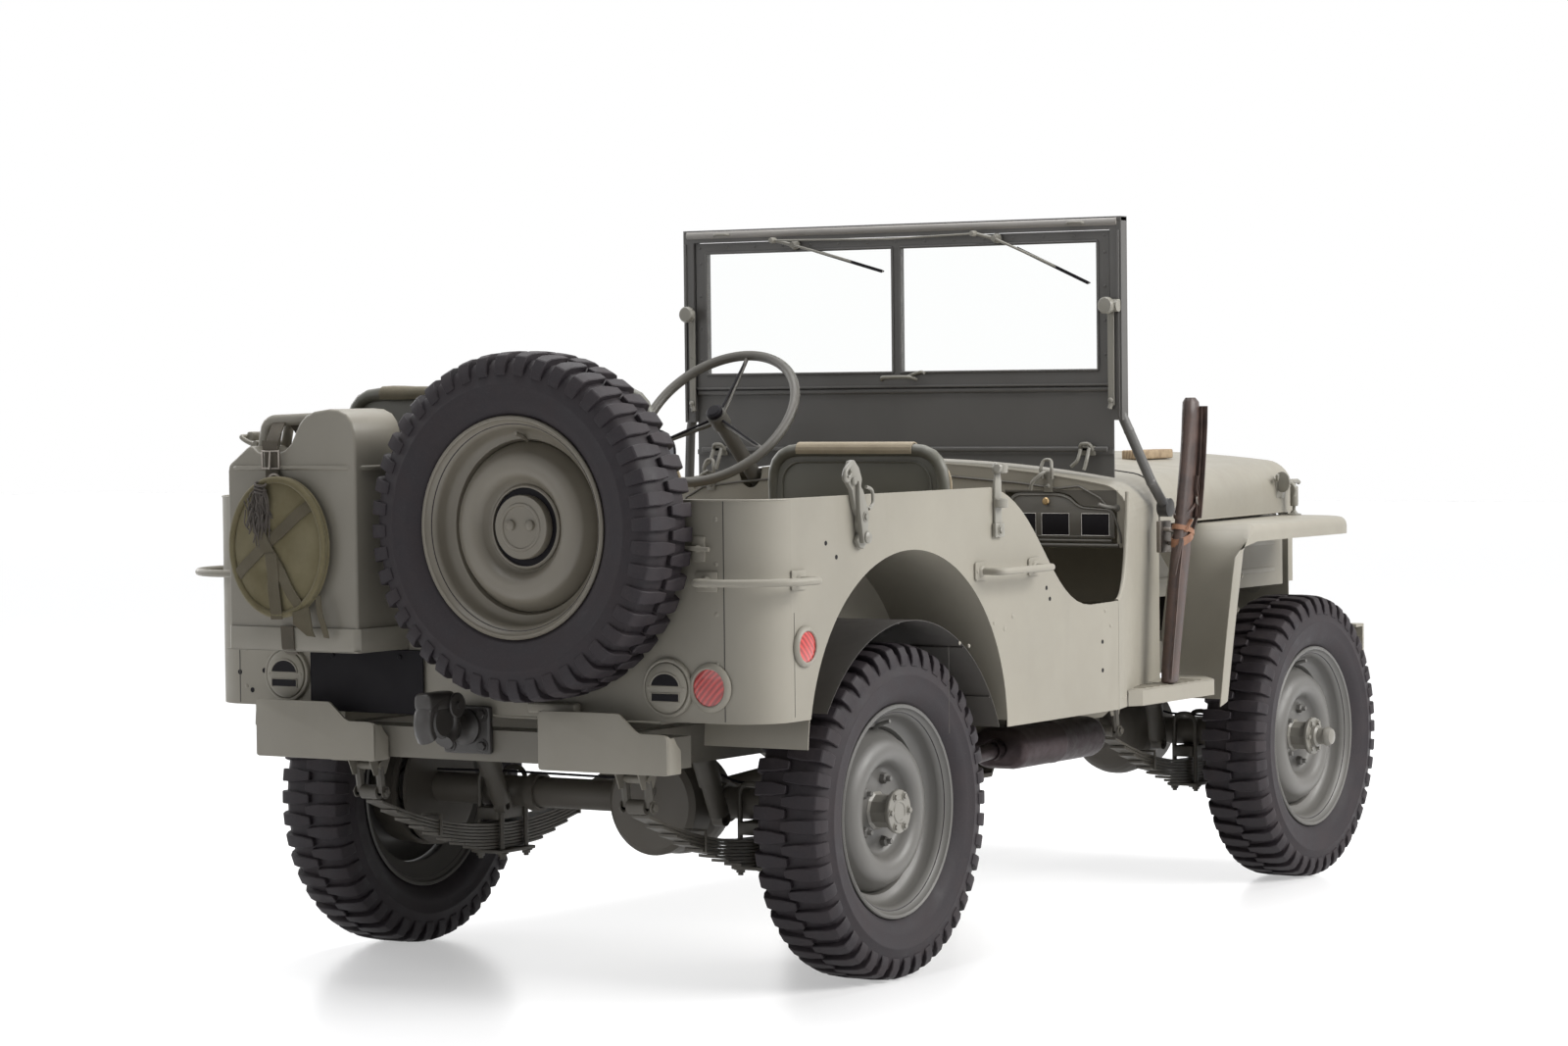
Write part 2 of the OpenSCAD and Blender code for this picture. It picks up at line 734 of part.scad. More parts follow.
// Rim, disc and hub, outboard side up; drum for the road wheels only
module rim_solid() {
    flange = bead_w / 2;
    rotate_extrude() polygon([
        [rim_r - 5, -flange - 6], [flange_r, -flange - 6], [flange_r, -flange], [rim_r, -flange],
        [rim_r, flange], [flange_r, flange], [flange_r, flange + 6], [rim_r - 5, flange + 6]
    ]);
    difference() {
        rotate_extrude() polygon([
            [40, -4], [105, -4], [150, 22], [185, 2], [rim_r - 5, -2],
            [rim_r - 5, 4], [185, 8], [150, 28], [105, 2], [40, 2]
        ]);
        for (a = [0 : 72 : 288]) rotate([0, 0, a]) translate([69.85, 0, -10]) cylinder(r = 8.2, h = 20);
    }
}

module hub_drum(cap_len) {
    difference() {
        translate([0, 0, -drum_in + 10]) cylinder(r = 128, h = drum_in - 14);
        translate([0, 0, -drum_in + 9]) cylinder(r = 121, h = drum_in - 22);
    }
    translate([0, 0, -12]) cylinder(r = 39, h = cap_len + 12);
}

module left_wheel(x) {
    place() translate([x, wheel_y, axle_z]) rotate([-90, 0, 0]) children();
}

module right_wheel(x) {
    mirror([0, 1, 0]) left_wheel(x) children();
}

module tyre_front_left() color("#3a342e") left_wheel(wheelbase) tyre_solid();
module tyre_front_right() color("#3a342e") right_wheel(wheelbase) tyre_solid();
module tyre_rear_left() color("#3a342e") left_wheel(0) tyre_solid();
module tyre_rear_right() color("#3a342e") right_wheel(0) tyre_solid();

module road_rim(cap_len) {
    rim_solid();
    hub_drum(cap_len);
}

module rim_front_left() color("#7d8078") left_wheel(wheelbase) road_rim(110);
module rim_front_right() color("#7d8078") right_wheel(wheelbase) road_rim(110);
module rim_rear_left() color("#7d8078") left_wheel(0) road_rim(62);
module rim_rear_right() color("#7d8078") right_wheel(0) road_rim(62);

module spare_at() {
    place() translate(spare_c) rotate([0, -90, 0]) children();
}

module spare_tyre() color("#3a342e") spare_at() tyre_solid();
module spare_rim() color("#8a8368") spare_at() rim_solid();

// ---------- rear fittings ----------

module rear_carriers() color("#8f8b7b") place() {
    // spare wheel post on the rear panel
    box([rear_panel_x - 3, spare_c[1] - 90, 790], [rear_panel_x - eps, spare_c[1] + 90, 1010]);
    translate([rear_panel_x - 2, spare_c[1], spare_c[2]]) rotate([0, -90, 0]) cylinder(r = 38, h = 90);
    translate([rear_panel_x - 60, spare_c[1], spare_c[2]]) rotate([0, -90, 0]) cylinder(r = 85, h = 24);
    box([rear_panel_x - 26, spare_c[1] - 60, 590], [rear_panel_x - eps, spare_c[1] + 60, 612]);
    // fuel can tray
    difference() {
        box([can_x - 2, can_y - 176, 712], [rear_panel_x - eps, can_y + 176, 762]);
        box([can_x + 2, can_y - 173, 716], [rear_panel_x + 1, can_y + 173, 765]);
    }
}

module jerrycan() color("#8f8b7b") place() translate([can_x + 3, can_y - can_size[1] / 2, 717]) {
    difference() {
        cube([can_size[0] - 4, can_size[1], can_size[2] - 30]);
        translate([can_size[0] / 2, -1, can_size[2] - 30])
            rotate([0, 30, 0]) translate([60, 0, 0]) cube([90, can_size[1] + 2, 90]);
    }
    for (y = [60, 165, 270])
        translate([70, y, can_size[2] - 34]) cube([14, 14, 34]);
    translate([70, 60, can_size[2] - 12]) cube([14, 224, 12]);
}

module canvas_bucket() color("#9a937c") place() {
    translate([can_x - eps, can_y, 930]) rotate([0, -90, 0]) cylinder(r = bucket_r, h = can_x - eps - rear_x);
}

module rear_lamps() color("#8a2a22") place() {
    both_sides() translate([rear_panel_x - eps, 493, 650]) rotate([0, -90, 0]) cylinder(r = 60, h = 16);
    translate([rear_panel_x - eps, -594, 653]) rotate([0, -90, 0]) cylinder(r = 50, h = 12);
    both_sides() translate([-420, side_y + eps, 730]) rotate([-90, 0, 0]) cylinder(r = 42, h = 12);
}

module number_plate() color("#1c1b1a") place() {
    box([rear_panel_x - 8, 125, 576], [rear_panel_x - 5, 425, 708]);
    box([rear_panel_x - 5, 150, 640], [rear_panel_x - eps, 400, 660]);
}

// Bar round the rear corner and a straight one beside the seat, on small pads
module grab_handles() color("#a9a491") place() {
    r = 8;
    corner = [rear_panel_x + corner_r, side_y - corner_r, 865];
    ring = handle_y - side_y + corner_r;
    both_sides() {
        // quarter ring round the corner, with slightly thinner straight ends inside it
        translate(corner) rotate([0, 0, 90]) rotate_extrude(angle = 90) translate([ring, 0]) circle(r = r);
        bar(corner + [-2, ring, 0], corner + [75, ring, 0], r - 0.5);
        bar(corner + [75, ring, 0], corner + [75, corner_r + 2, 0], r - 0.5);
        bar(corner + [-ring, 2, 0], corner + [-ring, -36, 0], r - 0.5);
        bar(corner + [-ring, -36, 0], corner + [-corner_r - 2, -36, 0], r - 0.5);
        translate(corner + [75, ring, 0]) sphere(r = r + 0.7);
        translate(corner + [-ring, -36, 0]) sphere(r = r + 0.7);
        bar([290, handle_y, 850], [525, handle_y, 850], r);
        for (x = [290, 525]) {
            bar([x, side_y + 2, 850], [x, handle_y, 850], r);
            translate([x, handle_y, 850]) sphere(r = r + 0.7);
            box([x - 22, side_y + eps, 830], [x + 22, side_y + 4, 870]);
        }
        box([rear_panel_x - 3.5, corner[1] - 58, 845], [rear_panel_x - eps, corner[1] - 14, 885]);
        box([corner[0] + 53, side_y + eps, 845], [corner[0] + 97, side_y + 4, 885]);
    }
}

module bow_brackets() color("#a9a491") place() {
    both_sides() {
        side_plate([[-232, 935], [-205, 915], [-175, 925], [-185, 980], [-225, 1095], [-262, 1108],
            [-275, 1075], [-245, 1020]],
            side_y + eps, side_y + 24);
        difference() {
            side_plate([[340, 921], [384, 921], [384, 1081], [340, 1081]], side_y + eps, side_y + 22);
            translate([362, side_y + 11, 1000]) cylinder(r = 8, h = 90);
        }
    }
}

module scabbard() color("#5a3a26") place() {
    hull() {
        for (s = [-1, 1]) {
            translate([1213 + s * 10, -705, 546]) cylinder(r = 18, h = 20, $fn = 32);
            translate([1285 + s * 26, -705, 900]) cylinder(r = 24, h = 20, $fn = 32);
            translate([1340 + s * 22, -705, 1190]) cylinder(r = 26, h = 26, $fn = 32);
        }
    }
}

module side_mirror() color("#33322e") place() {
    bar([1190, 658, 900], [1175, 722, 1046], 6);
    translate([1181, 722, 1090]) rotate([0, -90, 0]) cylinder(r = 58, h = 12);
}

frame_rails();
front_bumper();
bumperettes();
tow_hook();
body_tub();
cowl();
front_fenders();
grille();
headlamps();
engine_block();
steering_column();
driver_seat();
rear_bench();
seat_cushions();
jerrycan();
canvas_bucket();
rear_carriers();
spare_tyre();
spare_rim();
rear_lamps();
number_plate();
grab_handles();
bow_brackets();
scabbard();
side_mirror();
front_axle();
rear_axle();
springs();
drivetrain();
exhaust();
fuel_tank();
tyre_front_left();
rim_front_left();
tyre_front_right();
rim_front_right();
tyre_rear_left();
rim_rear_left();
tyre_rear_right();
rim_rear_right();
knuckle_left();
knuckle_right();
tie_rod();
steering_wheel();
hood();
windshield_frame();
windshield_glass();
glovebox_lid();
passenger_seat();
passenger_pad();
rear_seat_back();
rear_back_pad();
toolbox_lid_left();
toolbox_lid_right();
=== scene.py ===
# %% [markdown]
# # An open army 4x4, from frame to finish
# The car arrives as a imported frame: every hard part is already at its real size and place.
# Here each part gets its finish, and the pieces whose beauty is in small curves (tyres, hood,
# fenders, cushions, canvas, leather) are modelled again over the frame.

# %% Load the frame
import json
import math
import random
import bpy
from mathutils import Matrix, Vector

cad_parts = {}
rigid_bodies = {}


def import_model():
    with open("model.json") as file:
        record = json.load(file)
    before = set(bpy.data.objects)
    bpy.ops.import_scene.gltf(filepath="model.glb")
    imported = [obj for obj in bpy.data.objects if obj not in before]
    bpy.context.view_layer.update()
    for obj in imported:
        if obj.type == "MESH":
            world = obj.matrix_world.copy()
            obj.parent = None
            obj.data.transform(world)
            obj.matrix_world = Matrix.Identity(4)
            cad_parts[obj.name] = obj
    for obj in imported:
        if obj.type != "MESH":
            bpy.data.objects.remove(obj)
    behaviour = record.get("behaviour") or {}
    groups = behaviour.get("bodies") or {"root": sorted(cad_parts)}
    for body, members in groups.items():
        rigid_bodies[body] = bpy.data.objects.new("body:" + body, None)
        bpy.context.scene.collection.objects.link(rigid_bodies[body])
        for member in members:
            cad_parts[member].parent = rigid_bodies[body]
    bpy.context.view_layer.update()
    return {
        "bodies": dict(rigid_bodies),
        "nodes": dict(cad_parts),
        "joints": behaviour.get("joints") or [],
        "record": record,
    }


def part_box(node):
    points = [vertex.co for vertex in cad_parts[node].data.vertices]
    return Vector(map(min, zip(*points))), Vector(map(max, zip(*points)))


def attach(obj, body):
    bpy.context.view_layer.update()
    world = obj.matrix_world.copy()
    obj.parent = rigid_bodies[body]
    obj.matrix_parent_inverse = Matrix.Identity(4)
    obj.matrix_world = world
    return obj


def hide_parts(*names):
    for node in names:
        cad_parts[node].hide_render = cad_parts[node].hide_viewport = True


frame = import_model()
nodes = frame["nodes"]
print("nodes in the frame:", len(nodes))

# %% [markdown]
# The car is drawn in metres with +X forward, +Y to its left and +Z up. Its own plans measure
# from the rear axle, so `X0` is where that axle lies, read from the rear wheel's own box.

# %% Driving dimensions, read from the frame
def middle(node):
    low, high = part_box(node)
    return (low + high) / 2

X0 = middle("tyre_rear_left").x
AXLE_Z = middle("tyre_rear_left").z
TYRE_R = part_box("tyre_rear_left")[1].z - AXLE_Z
SIDE_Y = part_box("body_tub")[1].y
TUB_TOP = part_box("body_tub")[1].z
print("rear axle at x", round(X0, 3), "tyre radius", round(TYRE_R, 3), "half width", round(SIDE_Y, 3))

# %% [markdown]
# ## A small kit of moves
# Modelling by hand is always the same few moves: add a primitive, place its points, extrude,
# bevel, spin. These helpers wrap them, so that each later cell reads like a list of moves.

# %% Helpers: selecting, naming, editing
def clear():
    if bpy.context.object and bpy.context.object.mode != "OBJECT":
        bpy.ops.object.mode_set(mode="OBJECT")
    bpy.ops.object.select_all(action="DESELECT")

def named(name):
    piece = bpy.context.object
    piece.name = name
    piece.data.name = name
    return piece

def settle(piece):
    """Moves a piece's place into its mesh, so that its object sits at the origin."""
    clear()
    piece.select_set(True)
    bpy.context.view_layer.objects.active = piece
    bpy.ops.object.transform_apply(location=True, rotation=True, scale=True)
    return piece

def modify(piece, kind, **settings):
    """Adds one modifier with its settings and applies it."""
    clear()
    piece.select_set(True)
    bpy.context.view_layer.objects.active = piece
    change = piece.modifiers.new(kind.title(), kind)
    for key, value in settings.items():
        setattr(change, key, value)
    bpy.ops.object.modifier_apply(modifier=change.name)
    return piece

def smooth(piece, degrees=35):
    clear()
    piece.select_set(True)
    bpy.context.view_layer.objects.active = piece
    bpy.ops.object.shade_smooth_by_angle(angle=math.radians(degrees))
    return piece

def outward(piece, merge=1e-5):
    clear()
    bpy.context.view_layer.objects.active = piece
    piece.select_set(True)
    bpy.ops.object.mode_set(mode="EDIT")
    bpy.ops.mesh.select_all(action="SELECT")
    bpy.ops.mesh.remove_doubles(threshold=merge)
    bpy.ops.mesh.normals_make_consistent(inside=False)
    bpy.ops.object.mode_set(mode="OBJECT")
    return piece

def turned(piece, matrix):
    piece.data.transform(matrix)
    if matrix.determinant() < 0:
        piece.data.flip_normals()
    return piece

# %% [markdown]
# The first maker is a block whose edges are rounded a little, because no real edge is sharp
# and a rounded one catches a line of light.

# %% Helper: a rounded block
def block(name, low, high, round_by=0.002, steps=2):
    clear()
    low, high = Vector(low), Vector(high)
    bpy.ops.mesh.primitive_cube_add(size=1, location=(low + high) / 2)
    piece = named(name)
    piece.scale = high - low
    settle(piece)
    if round_by:
        modify(piece, "BEVEL", width=round_by, segments=steps, limit_method="ANGLE")
    return smooth(piece)

# %% [markdown]
# A plate starts as a filled circle with as many points as its outline needs. The points are
# moved onto the outline, and the face is extruded to the plate's thickness.

# %% Helper: a plate from an outline
AXES = {
    "x": Matrix(((0, 0, 1, 0), (1, 0, 0, 0), (0, 1, 0, 0), (0, 0, 0, 1))),
    "y": Matrix(((1, 0, 0, 0), (0, 0, -1, 0), (0, 1, 0, 0), (0, 0, 0, 1))),
    "z": Matrix.Identity(4),
}

def plate(name, outline, axis, at, thick, round_by=0.0, steps=2):
    """outline holds (y, z), (x, z) or (x, y) points for axis x, y or z."""
    clear()
    bpy.ops.mesh.primitive_circle_add(vertices=len(outline), fill_type="NGON")
    piece = named(name)
    for vertex, (u, v) in zip(piece.data.vertices, outline):
        vertex.co = (u, v, 0)
    bpy.ops.object.mode_set(mode="EDIT")
    bpy.ops.mesh.select_all(action="SELECT")
    bpy.ops.mesh.extrude_region_move(TRANSFORM_OT_translate={"value": (0, 0, thick)})
    bpy.ops.object.mode_set(mode="OBJECT")
    place = {"x": (at, 0, 0), "y": (0, at, 0), "z": (0, 0, at)}[axis]
    turned(piece, Matrix.Translation(place) @ AXES[axis])
    outward(piece)
    if round_by:
        modify(piece, "BEVEL", width=round_by, segments=steps, limit_method="ANGLE",
               angle_limit=math.radians(40))
    return smooth(piece)

# %% [markdown]
# Anything round (tyre, rim, lamp, cap) is turned on a lathe: a closed outline is spun about
# its axis. The outline is given as (radius, height along the axis).

# %% Helper: a turned piece
def facing(direction):
    """Matrix that turns +Z to a direction."""
    return Vector(direction).to_track_quat("Z", "Y").to_matrix().to_4x4()

def lathe(name, outline, at=(0, 0, 0), direction=(0, 0, 1), steps=48, degrees=35):
    clear()
    bpy.ops.mesh.primitive_circle_add(vertices=len(outline), fill_type="NOTHING")
    piece = named(name)
    for vertex, (radius, height) in zip(piece.data.vertices, outline):
        vertex.co = (radius, 0, height)
    bpy.ops.object.mode_set(mode="EDIT")
    bpy.ops.mesh.select_all(action="SELECT")
    bpy.ops.mesh.spin(steps=steps, angle=math.tau, center=(0, 0, 0), axis=(0, 0, 1))
    bpy.ops.object.mode_set(mode="OBJECT")
    outward(piece)
    turned(piece, Matrix.Translation(at) @ facing(direction))
    return smooth(piece, degrees)

# %% [markdown]
# Bars, handles and straps follow a path. A curve with a round bevel gives a bar, and rounding
# the path's corners first gives it the bends of real bent tube.

# %% Helper: a bent bar
def softened(points, radius, steps=5):
    """The path with each inner corner replaced by a small arc."""
    points = [Vector(p) for p in points]
    path = [points[0]]
    for before, corner, after in zip(points, points[1:], points[2:]):
        reach = min(radius, (before - corner).length / 2, (after - corner).length / 2)
        start = corner + (before - corner).normalized() * reach
        end = corner + (after - corner).normalized() * reach
        for i in range(steps + 1):
            t = i / steps
            path.append((1 - t) ** 2 * start + 2 * t * (1 - t) * corner + t * t * end)
    return path + [points[-1]]

def bar(name, points, radius, bend=0.0, sides=3, closed=False):
    clear()
    line = bpy.data.curves.new(name, "CURVE")
    line.dimensions = "3D"
    line.bevel_depth = radius
    line.bevel_resolution = sides
    line.use_fill_caps = True
    path = softened(points, bend) if bend else [Vector(p) for p in points]
    spline = line.splines.new("POLY")
    spline.points.add(len(path) - 1)
    for point, place in zip(spline.points, path):
        point.co = (*place, 1)
    spline.use_cyclic_u = closed
    piece = bpy.data.objects.new(name, line)
    bpy.context.scene.collection.objects.link(piece)
    piece.select_set(True)
    bpy.context.view_layer.objects.active = piece
    bpy.ops.object.convert(target="MESH")
    return smooth(named(name), 40)

# %% [markdown]
# What repeats is made once and copied, each copy with its own mesh. `mirrored` makes the
# other side's twin, and `joined` welds several small pieces into one piece.

# %% Helpers: copies, twins, joining
def copied(piece, name, matrix=Matrix.Identity(4)):
    twin = piece.copy()
    twin.data = piece.data.copy()
    twin.name = name
    twin.data.name = name
    bpy.context.scene.collection.objects.link(twin)
    return turned(twin, matrix)

MIRROR = Matrix.Scale(-1, 4, (0, 1, 0))

def mirrored(piece, name):
    return copied(piece, name, MIRROR)

def joined(name, pieces):
    clear()
    for piece in pieces:
        piece.select_set(True)
    bpy.context.view_layer.objects.active = pieces[0]
    if len(pieces) > 1:
        bpy.ops.object.join()
    return named(name)

def both(name, pieces):
    """Pieces of the left side and their twins on the right, as one piece."""
    twins = [mirrored(piece, piece.name + "_r") for piece in pieces]
    return joined(name, list(pieces) + twins)

def lift(outline, x):
    """Adds the rear axle's place to the x of (x, z) or (x, y) outline points."""
    return [(u + x, v) for u, v in outline]

def on_tub(x, y, z):
    """A point measured from the rear axle, on the ground."""
    return Vector((x + X0, y, z))

def tub_bar(name, points, *how, **more):
    """A bar whose points are measured from the rear axle, as on_tub measures them."""
    return bar(name, [on_tub(*point) for point in points], *how, **more)

def tub_block(name, low, high, *how):
    """A block between two corners measured from the rear axle."""
    return block(name, on_tub(*low), on_tub(*high), *how)

def screw_head(name, at, direction, radius=0.006, height=0.003):
    r, h = radius, height
    return lathe(name, [(0, 0), (r, 0), (r, h * 0.5), (r * 0.7, h), (0, h)], at, direction, steps=8)

def hex_bolt(name, at, direction, radius=0.009, height=0.007):
    r, h = radius, height
    washer = lathe(name + "_w", [(0, 0), (r * 1.5, 0), (r * 1.5, h * 0.25), (0, h * 0.25)], at, direction,
                   steps=14)
    head = lathe(name, [(0, 0), (r, 0), (r, h * 0.85), (r * 0.86, h), (0, h)], at, direction, steps=6,
                 degrees=20)
    return joined(name, [head, washer])

# %% [markdown]
# ## Finishes
# A real finish is never one colour. Each material here starts from a base colour, lets slow
# noise shift it a little lighter and darker, adds small marks of wear and dust that gathers
# low down, and gives its gloss and its fine bumps their own noise. All of it is read from
# Object coordinates, so that the pattern stays on the piece when the piece moves.

# %% Helpers: nodes in words
class Finish:
    """A material under construction, with one short method for each kind of node."""

    def __init__(self, name, rough=0.5, metal=0.0):
        self.material = bpy.data.materials.new(name)
        self.material.use_nodes = True
        self.tree = self.material.node_tree
        self.shader = self.tree.nodes["Principled BSDF"]
        self.shader.inputs["Roughness"].default_value = rough
        self.shader.inputs["Metallic"].default_value = metal
        self.place = self.tree.nodes.new("ShaderNodeTexCoord").outputs["Object"]

    def node(self, kind, settings=(), **links):
        made = self.tree.nodes.new(kind)
        for key, value in dict(settings).items():
            setattr(made, key, value)
        for key, value in links.items():
            numbered = key[0] == "i" and key[1:].isdigit()
            socket = made.inputs[int(key[1:]) if numbered else key.replace("_", " ")]
            if isinstance(value, bpy.types.NodeSocket):
                self.tree.links.new(value, socket)
            else:
                socket.default_value = value
        return made.outputs

    def noise(self, scale, detail=4.0, rough=0.55, stretch=None):
        place = self.place
        if stretch:
            place = self.node("ShaderNodeMapping", Vector=place, Scale=stretch)[0]
        return self.node("ShaderNodeTexNoise", Vector=place, Scale=scale, Detail=detail, Roughness=rough)[0]

    def ramp(self, value, low, high, out_low=0.0, out_high=1.0):
        return self.node(
            "ShaderNodeMapRange", i0=value, i1=low, i2=high, i3=out_low, i4=out_high
        )[0]

    def mix(self, factor, first, second):
        return self.node("ShaderNodeMix", {"data_type": "RGBA"}, i0=factor, i6=first, i7=second)[2]

    def height(self):
        return self.node("ShaderNodeSeparateXYZ", Vector=self.place)[2]

    def bump(self, value, strength, distance=0.001, under=None):
        links = {"Strength": strength, "Distance": distance, "Height": value}
        if under is not None:
            links["Normal"] = under
        return self.node("ShaderNodeBump", **links)[0]

    def wear(self, color, normal=None, rough=None):
        self.tree.links.new(color, self.shader.inputs["Base Color"])
        if normal is not None:
            self.tree.links.new(normal, self.shader.inputs["Normal"])
        if rough is not None:
            self.tree.links.new(rough, self.shader.inputs["Roughness"])
        return self.material

def rgba(color, times=1.0):
    return (*(min(1.0, c * times) for c in color), 1.0)

# %% [markdown]
# Army paint is a flat, slightly chalky enamel. It is sprayed over old steel, so it has soft
# clouds of lighter and darker tone, fine runs, a little dust near the road, and tiny chips.

# %% Finish: flat enamel
def enamel(name, color, cloud=0.10, chips=0.25, rough=0.5, dust=0.25, chip_color=(0.09, 0.08, 0.065)):
    f = Finish(name)
    slow = f.noise(2.2, 6)
    streaks = f.noise(9.0, 5, stretch=(1.0, 1.0, 0.25))
    body = f.mix(f.ramp(slow, 0.3, 0.7), rgba(color, 1 - cloud), rgba(color, 1 + cloud))
    body = f.mix(f.ramp(streaks, 0.55, 0.8, 0.0, 0.35), body, rgba(color, 0.82))
    low_down = f.ramp(f.height(), 0.75, 0.25, 0.0, dust)
    body = f.mix(low_down, body, rgba((0.30, 0.27, 0.22)))
    marks = f.ramp(f.noise(70.0, 8, 0.7), 0.70, 0.73, 0.0, chips)
    body = f.mix(marks, body, rgba(chip_color))
    grain = f.noise(420.0, 2)
    dents = f.noise(5.0, 3)
    normal = f.bump(grain, 0.10, 0.0006, under=f.bump(dents, 0.25, 0.003))
    gloss = f.ramp(f.noise(14.0, 5), 0.3, 0.7, rough - 0.07, rough + 0.09)
    return f.wear(body, normal, gloss)

GREEN = (0.278, 0.260, 0.217)
PAINT = enamel("army_green_enamel", GREEN)
# The cabin enamel is far darker than the body's green: the shade inside the cabin is painted into it.
CABIN_SHADE_PAINT = enamel("cabin_enamel_painted_shade", (0.094, 0.088, 0.076), cloud=0.12, chips=0.35, rough=0.46)
WHEEL_PAINT = enamel("wheel_grey_green_enamel", (0.110, 0.108, 0.103), cloud=0.08, chips=0.2, rough=0.40,
                     dust=0.1)
SPARE_PAINT = enamel("spare_wheel_olive_enamel", (0.205, 0.185, 0.148), cloud=0.07, chips=0.15,
                     rough=0.38, dust=0.0)
CHASSIS = enamel("chassis_black_green", (0.040, 0.036, 0.032), cloud=0.25, chips=0.5, rough=0.55, dust=0.35)
HUB_PAINT = enamel("hub_enamel", (0.215, 0.205, 0.180), cloud=0.10, chips=0.55, rough=0.32, dust=0.0)
BRACKET_PAINT = enamel("bracket_enamel", (0.235, 0.225, 0.195), cloud=0.10, chips=0.45, rough=0.34, dust=0.0)
SEAT_PAINT = enamel("seat_tube_enamel", (0.118, 0.115, 0.094), cloud=0.10, chips=0.35, rough=0.40, dust=0.0)
PLATE_WHITE = enamel("dial_white", (0.62, 0.60, 0.52), cloud=0.05, chips=0.0, rough=0.6, dust=0.0)
BLACK = enamel("black_enamel", (0.009, 0.008, 0.010), cloud=0.15, chips=0.15, rough=0.50, dust=0.0)

CAST_IRON = enamel("cast_iron_dark", (0.030, 0.027, 0.025), cloud=0.3, chips=0.3, rough=0.38, dust=0.0,
                   chip_color=(0.10, 0.09, 0.08))
# The windshield enamel is darkened far below the body's green: painted shade of the frame's rear faces,
# which turn from the key lamp.
SHIELD_SHADE_PAINT = enamel("windshield_enamel_painted_shade", (0.084, 0.081, 0.077), cloud=0.08, chips=0.3, rough=0.42,
                      dust=0.0)
CAN_PAINT = enamel("fuel_can_enamel", (0.235, 0.218, 0.180), cloud=0.10, chips=0.35, rough=0.40, dust=0.0)
RAIL_PAINT = enamel("frame_enamel", (0.165, 0.155, 0.130), cloud=0.2, chips=0.4, rough=0.50, dust=0.3)
SPRING_STEEL = enamel("spring_enamel", (0.052, 0.048, 0.040), cloud=0.25, chips=0.5, rough=0.50, dust=0.2)
# Nearly black: the shade that falls inside the wheel arches is painted into this colour.
ARCH_SHADE_PAINT = enamel("wheel_arch_enamel_painted_shade", (0.050, 0.046, 0.043), cloud=0.3, chips=0.3, rough=0.60, dust=0.3)
# A lighter copy of the windshield's paint for its top tube: painted light where the top catches the lamps.
TOP_LIT_PAINT = enamel("windshield_top_enamel_painted_light", (0.300, 0.285, 0.268), cloud=0.15, chips=0.3, rough=0.42)

# %% [markdown]
# Tyre rubber is nearly black, but never quite: a brown-grey bloom lies on it in patches,
# and fine grit gives it a dull, broken shine.

# %% Finish: rubber
def rubber(name, color=(0.014, 0.011, 0.014), bloom=(0.048, 0.039, 0.041)):
    f = Finish(name, rough=0.62)
    cloud = f.noise(16.0, 7, 0.6)
    grit = f.noise(260.0, 4, 0.6)
    body = f.mix(f.ramp(cloud, 0.40, 0.75, 0.05, 0.6), rgba(color), rgba(bloom))
    body = f.mix(f.ramp(grit, 0.55, 0.75, 0.0, 0.25), body, rgba(bloom, 1.2))
    normal = f.bump(grit, 0.30, 0.0007)
    return f.wear(body, normal, f.ramp(cloud, 0.3, 0.7, 0.52, 0.75))

RUBBER = rubber("tyre_rubber")

def dulled(material, level):
    """The same finish with a weaker mirror gleam, for surfaces that stay dark in a bright room."""
    for node in material.node_tree.nodes:
        if node.type == "BSDF_PRINCIPLED":
            node.inputs["Specular IOR Level"].default_value = level
    return material

dulled(RUBBER, 0.30)
dulled(BLACK, 0.12)

# %% [markdown]
# Canvas, webbing and seat cloth are woven. Two fine waves crossing at right angles give the
# threads, and a slow noise fades the dye where sun and hands have worked on it.

# %% Finish: woven cloth
def canvas(name, color, fade, thread=900.0, rough=0.85, flat=("x", "z")):
    f = Finish(name, rough=rough)
    f.shader.inputs["Sheen Weight"].default_value = 0.15
    warp = f.node("ShaderNodeTexWave", {"bands_direction": flat[0].upper()}, Vector=f.place,
                  Scale=thread / 6.283, Distortion=1.2, Detail=2.0)[1]
    weft = f.node("ShaderNodeTexWave", {"bands_direction": flat[1].upper()}, Vector=f.place,
                  Scale=thread / 6.283, Distortion=1.2, Detail=2.0)[1]
    weave = f.node("ShaderNodeMath", {"operation": "MAXIMUM"}, i0=warp, i1=weft)[0]
    old = f.noise(7.0, 7, 0.6)
    body = f.mix(f.ramp(old, 0.35, 0.7), rgba(color), rgba(fade))
    body = f.mix(f.ramp(weave, 0.2, 0.9, 0.45, 0.0), body, rgba(color, 0.45))
    folds = f.bump(f.noise(24.0, 4), 0.35, 0.004)
    return f.wear(body, f.bump(weave, 0.5, 0.0008, under=folds))

SEAT_CLOTH = canvas("seat_canvas", (0.33, 0.275, 0.19), (0.43, 0.36, 0.26), flat=("x", "y"))
BUCKET_CLOTH = canvas("bucket_canvas", (0.150, 0.125, 0.060), (0.235, 0.205, 0.115), thread=1100.0,
                      flat=("y", "z"))
REAR_CLOTH = canvas("rear_seat_canvas", (0.150, 0.130, 0.085), (0.235, 0.205, 0.140), flat=("y", "z"))
BUCKET_TRIM = canvas("bucket_webbing_cloth", (0.080, 0.065, 0.036), (0.135, 0.115, 0.070), thread=1500.0,
                     flat=("y", "z"))
STRAP_CLOTH = canvas("strap_webbing", (0.070, 0.058, 0.040), (0.120, 0.100, 0.070), thread=1500.0,
                     flat=("y", "z"))
CORD = canvas("frayed_cord_cloth", (0.055, 0.045, 0.038), (0.19, 0.165, 0.140), thread=2400.0,
              flat=("y", "z"))

# %% [markdown]
# Leather is dyed hide: brown, darker in its creases, glossy where it has been rubbed. Voronoi
# cells of about a millimetre give its pores.

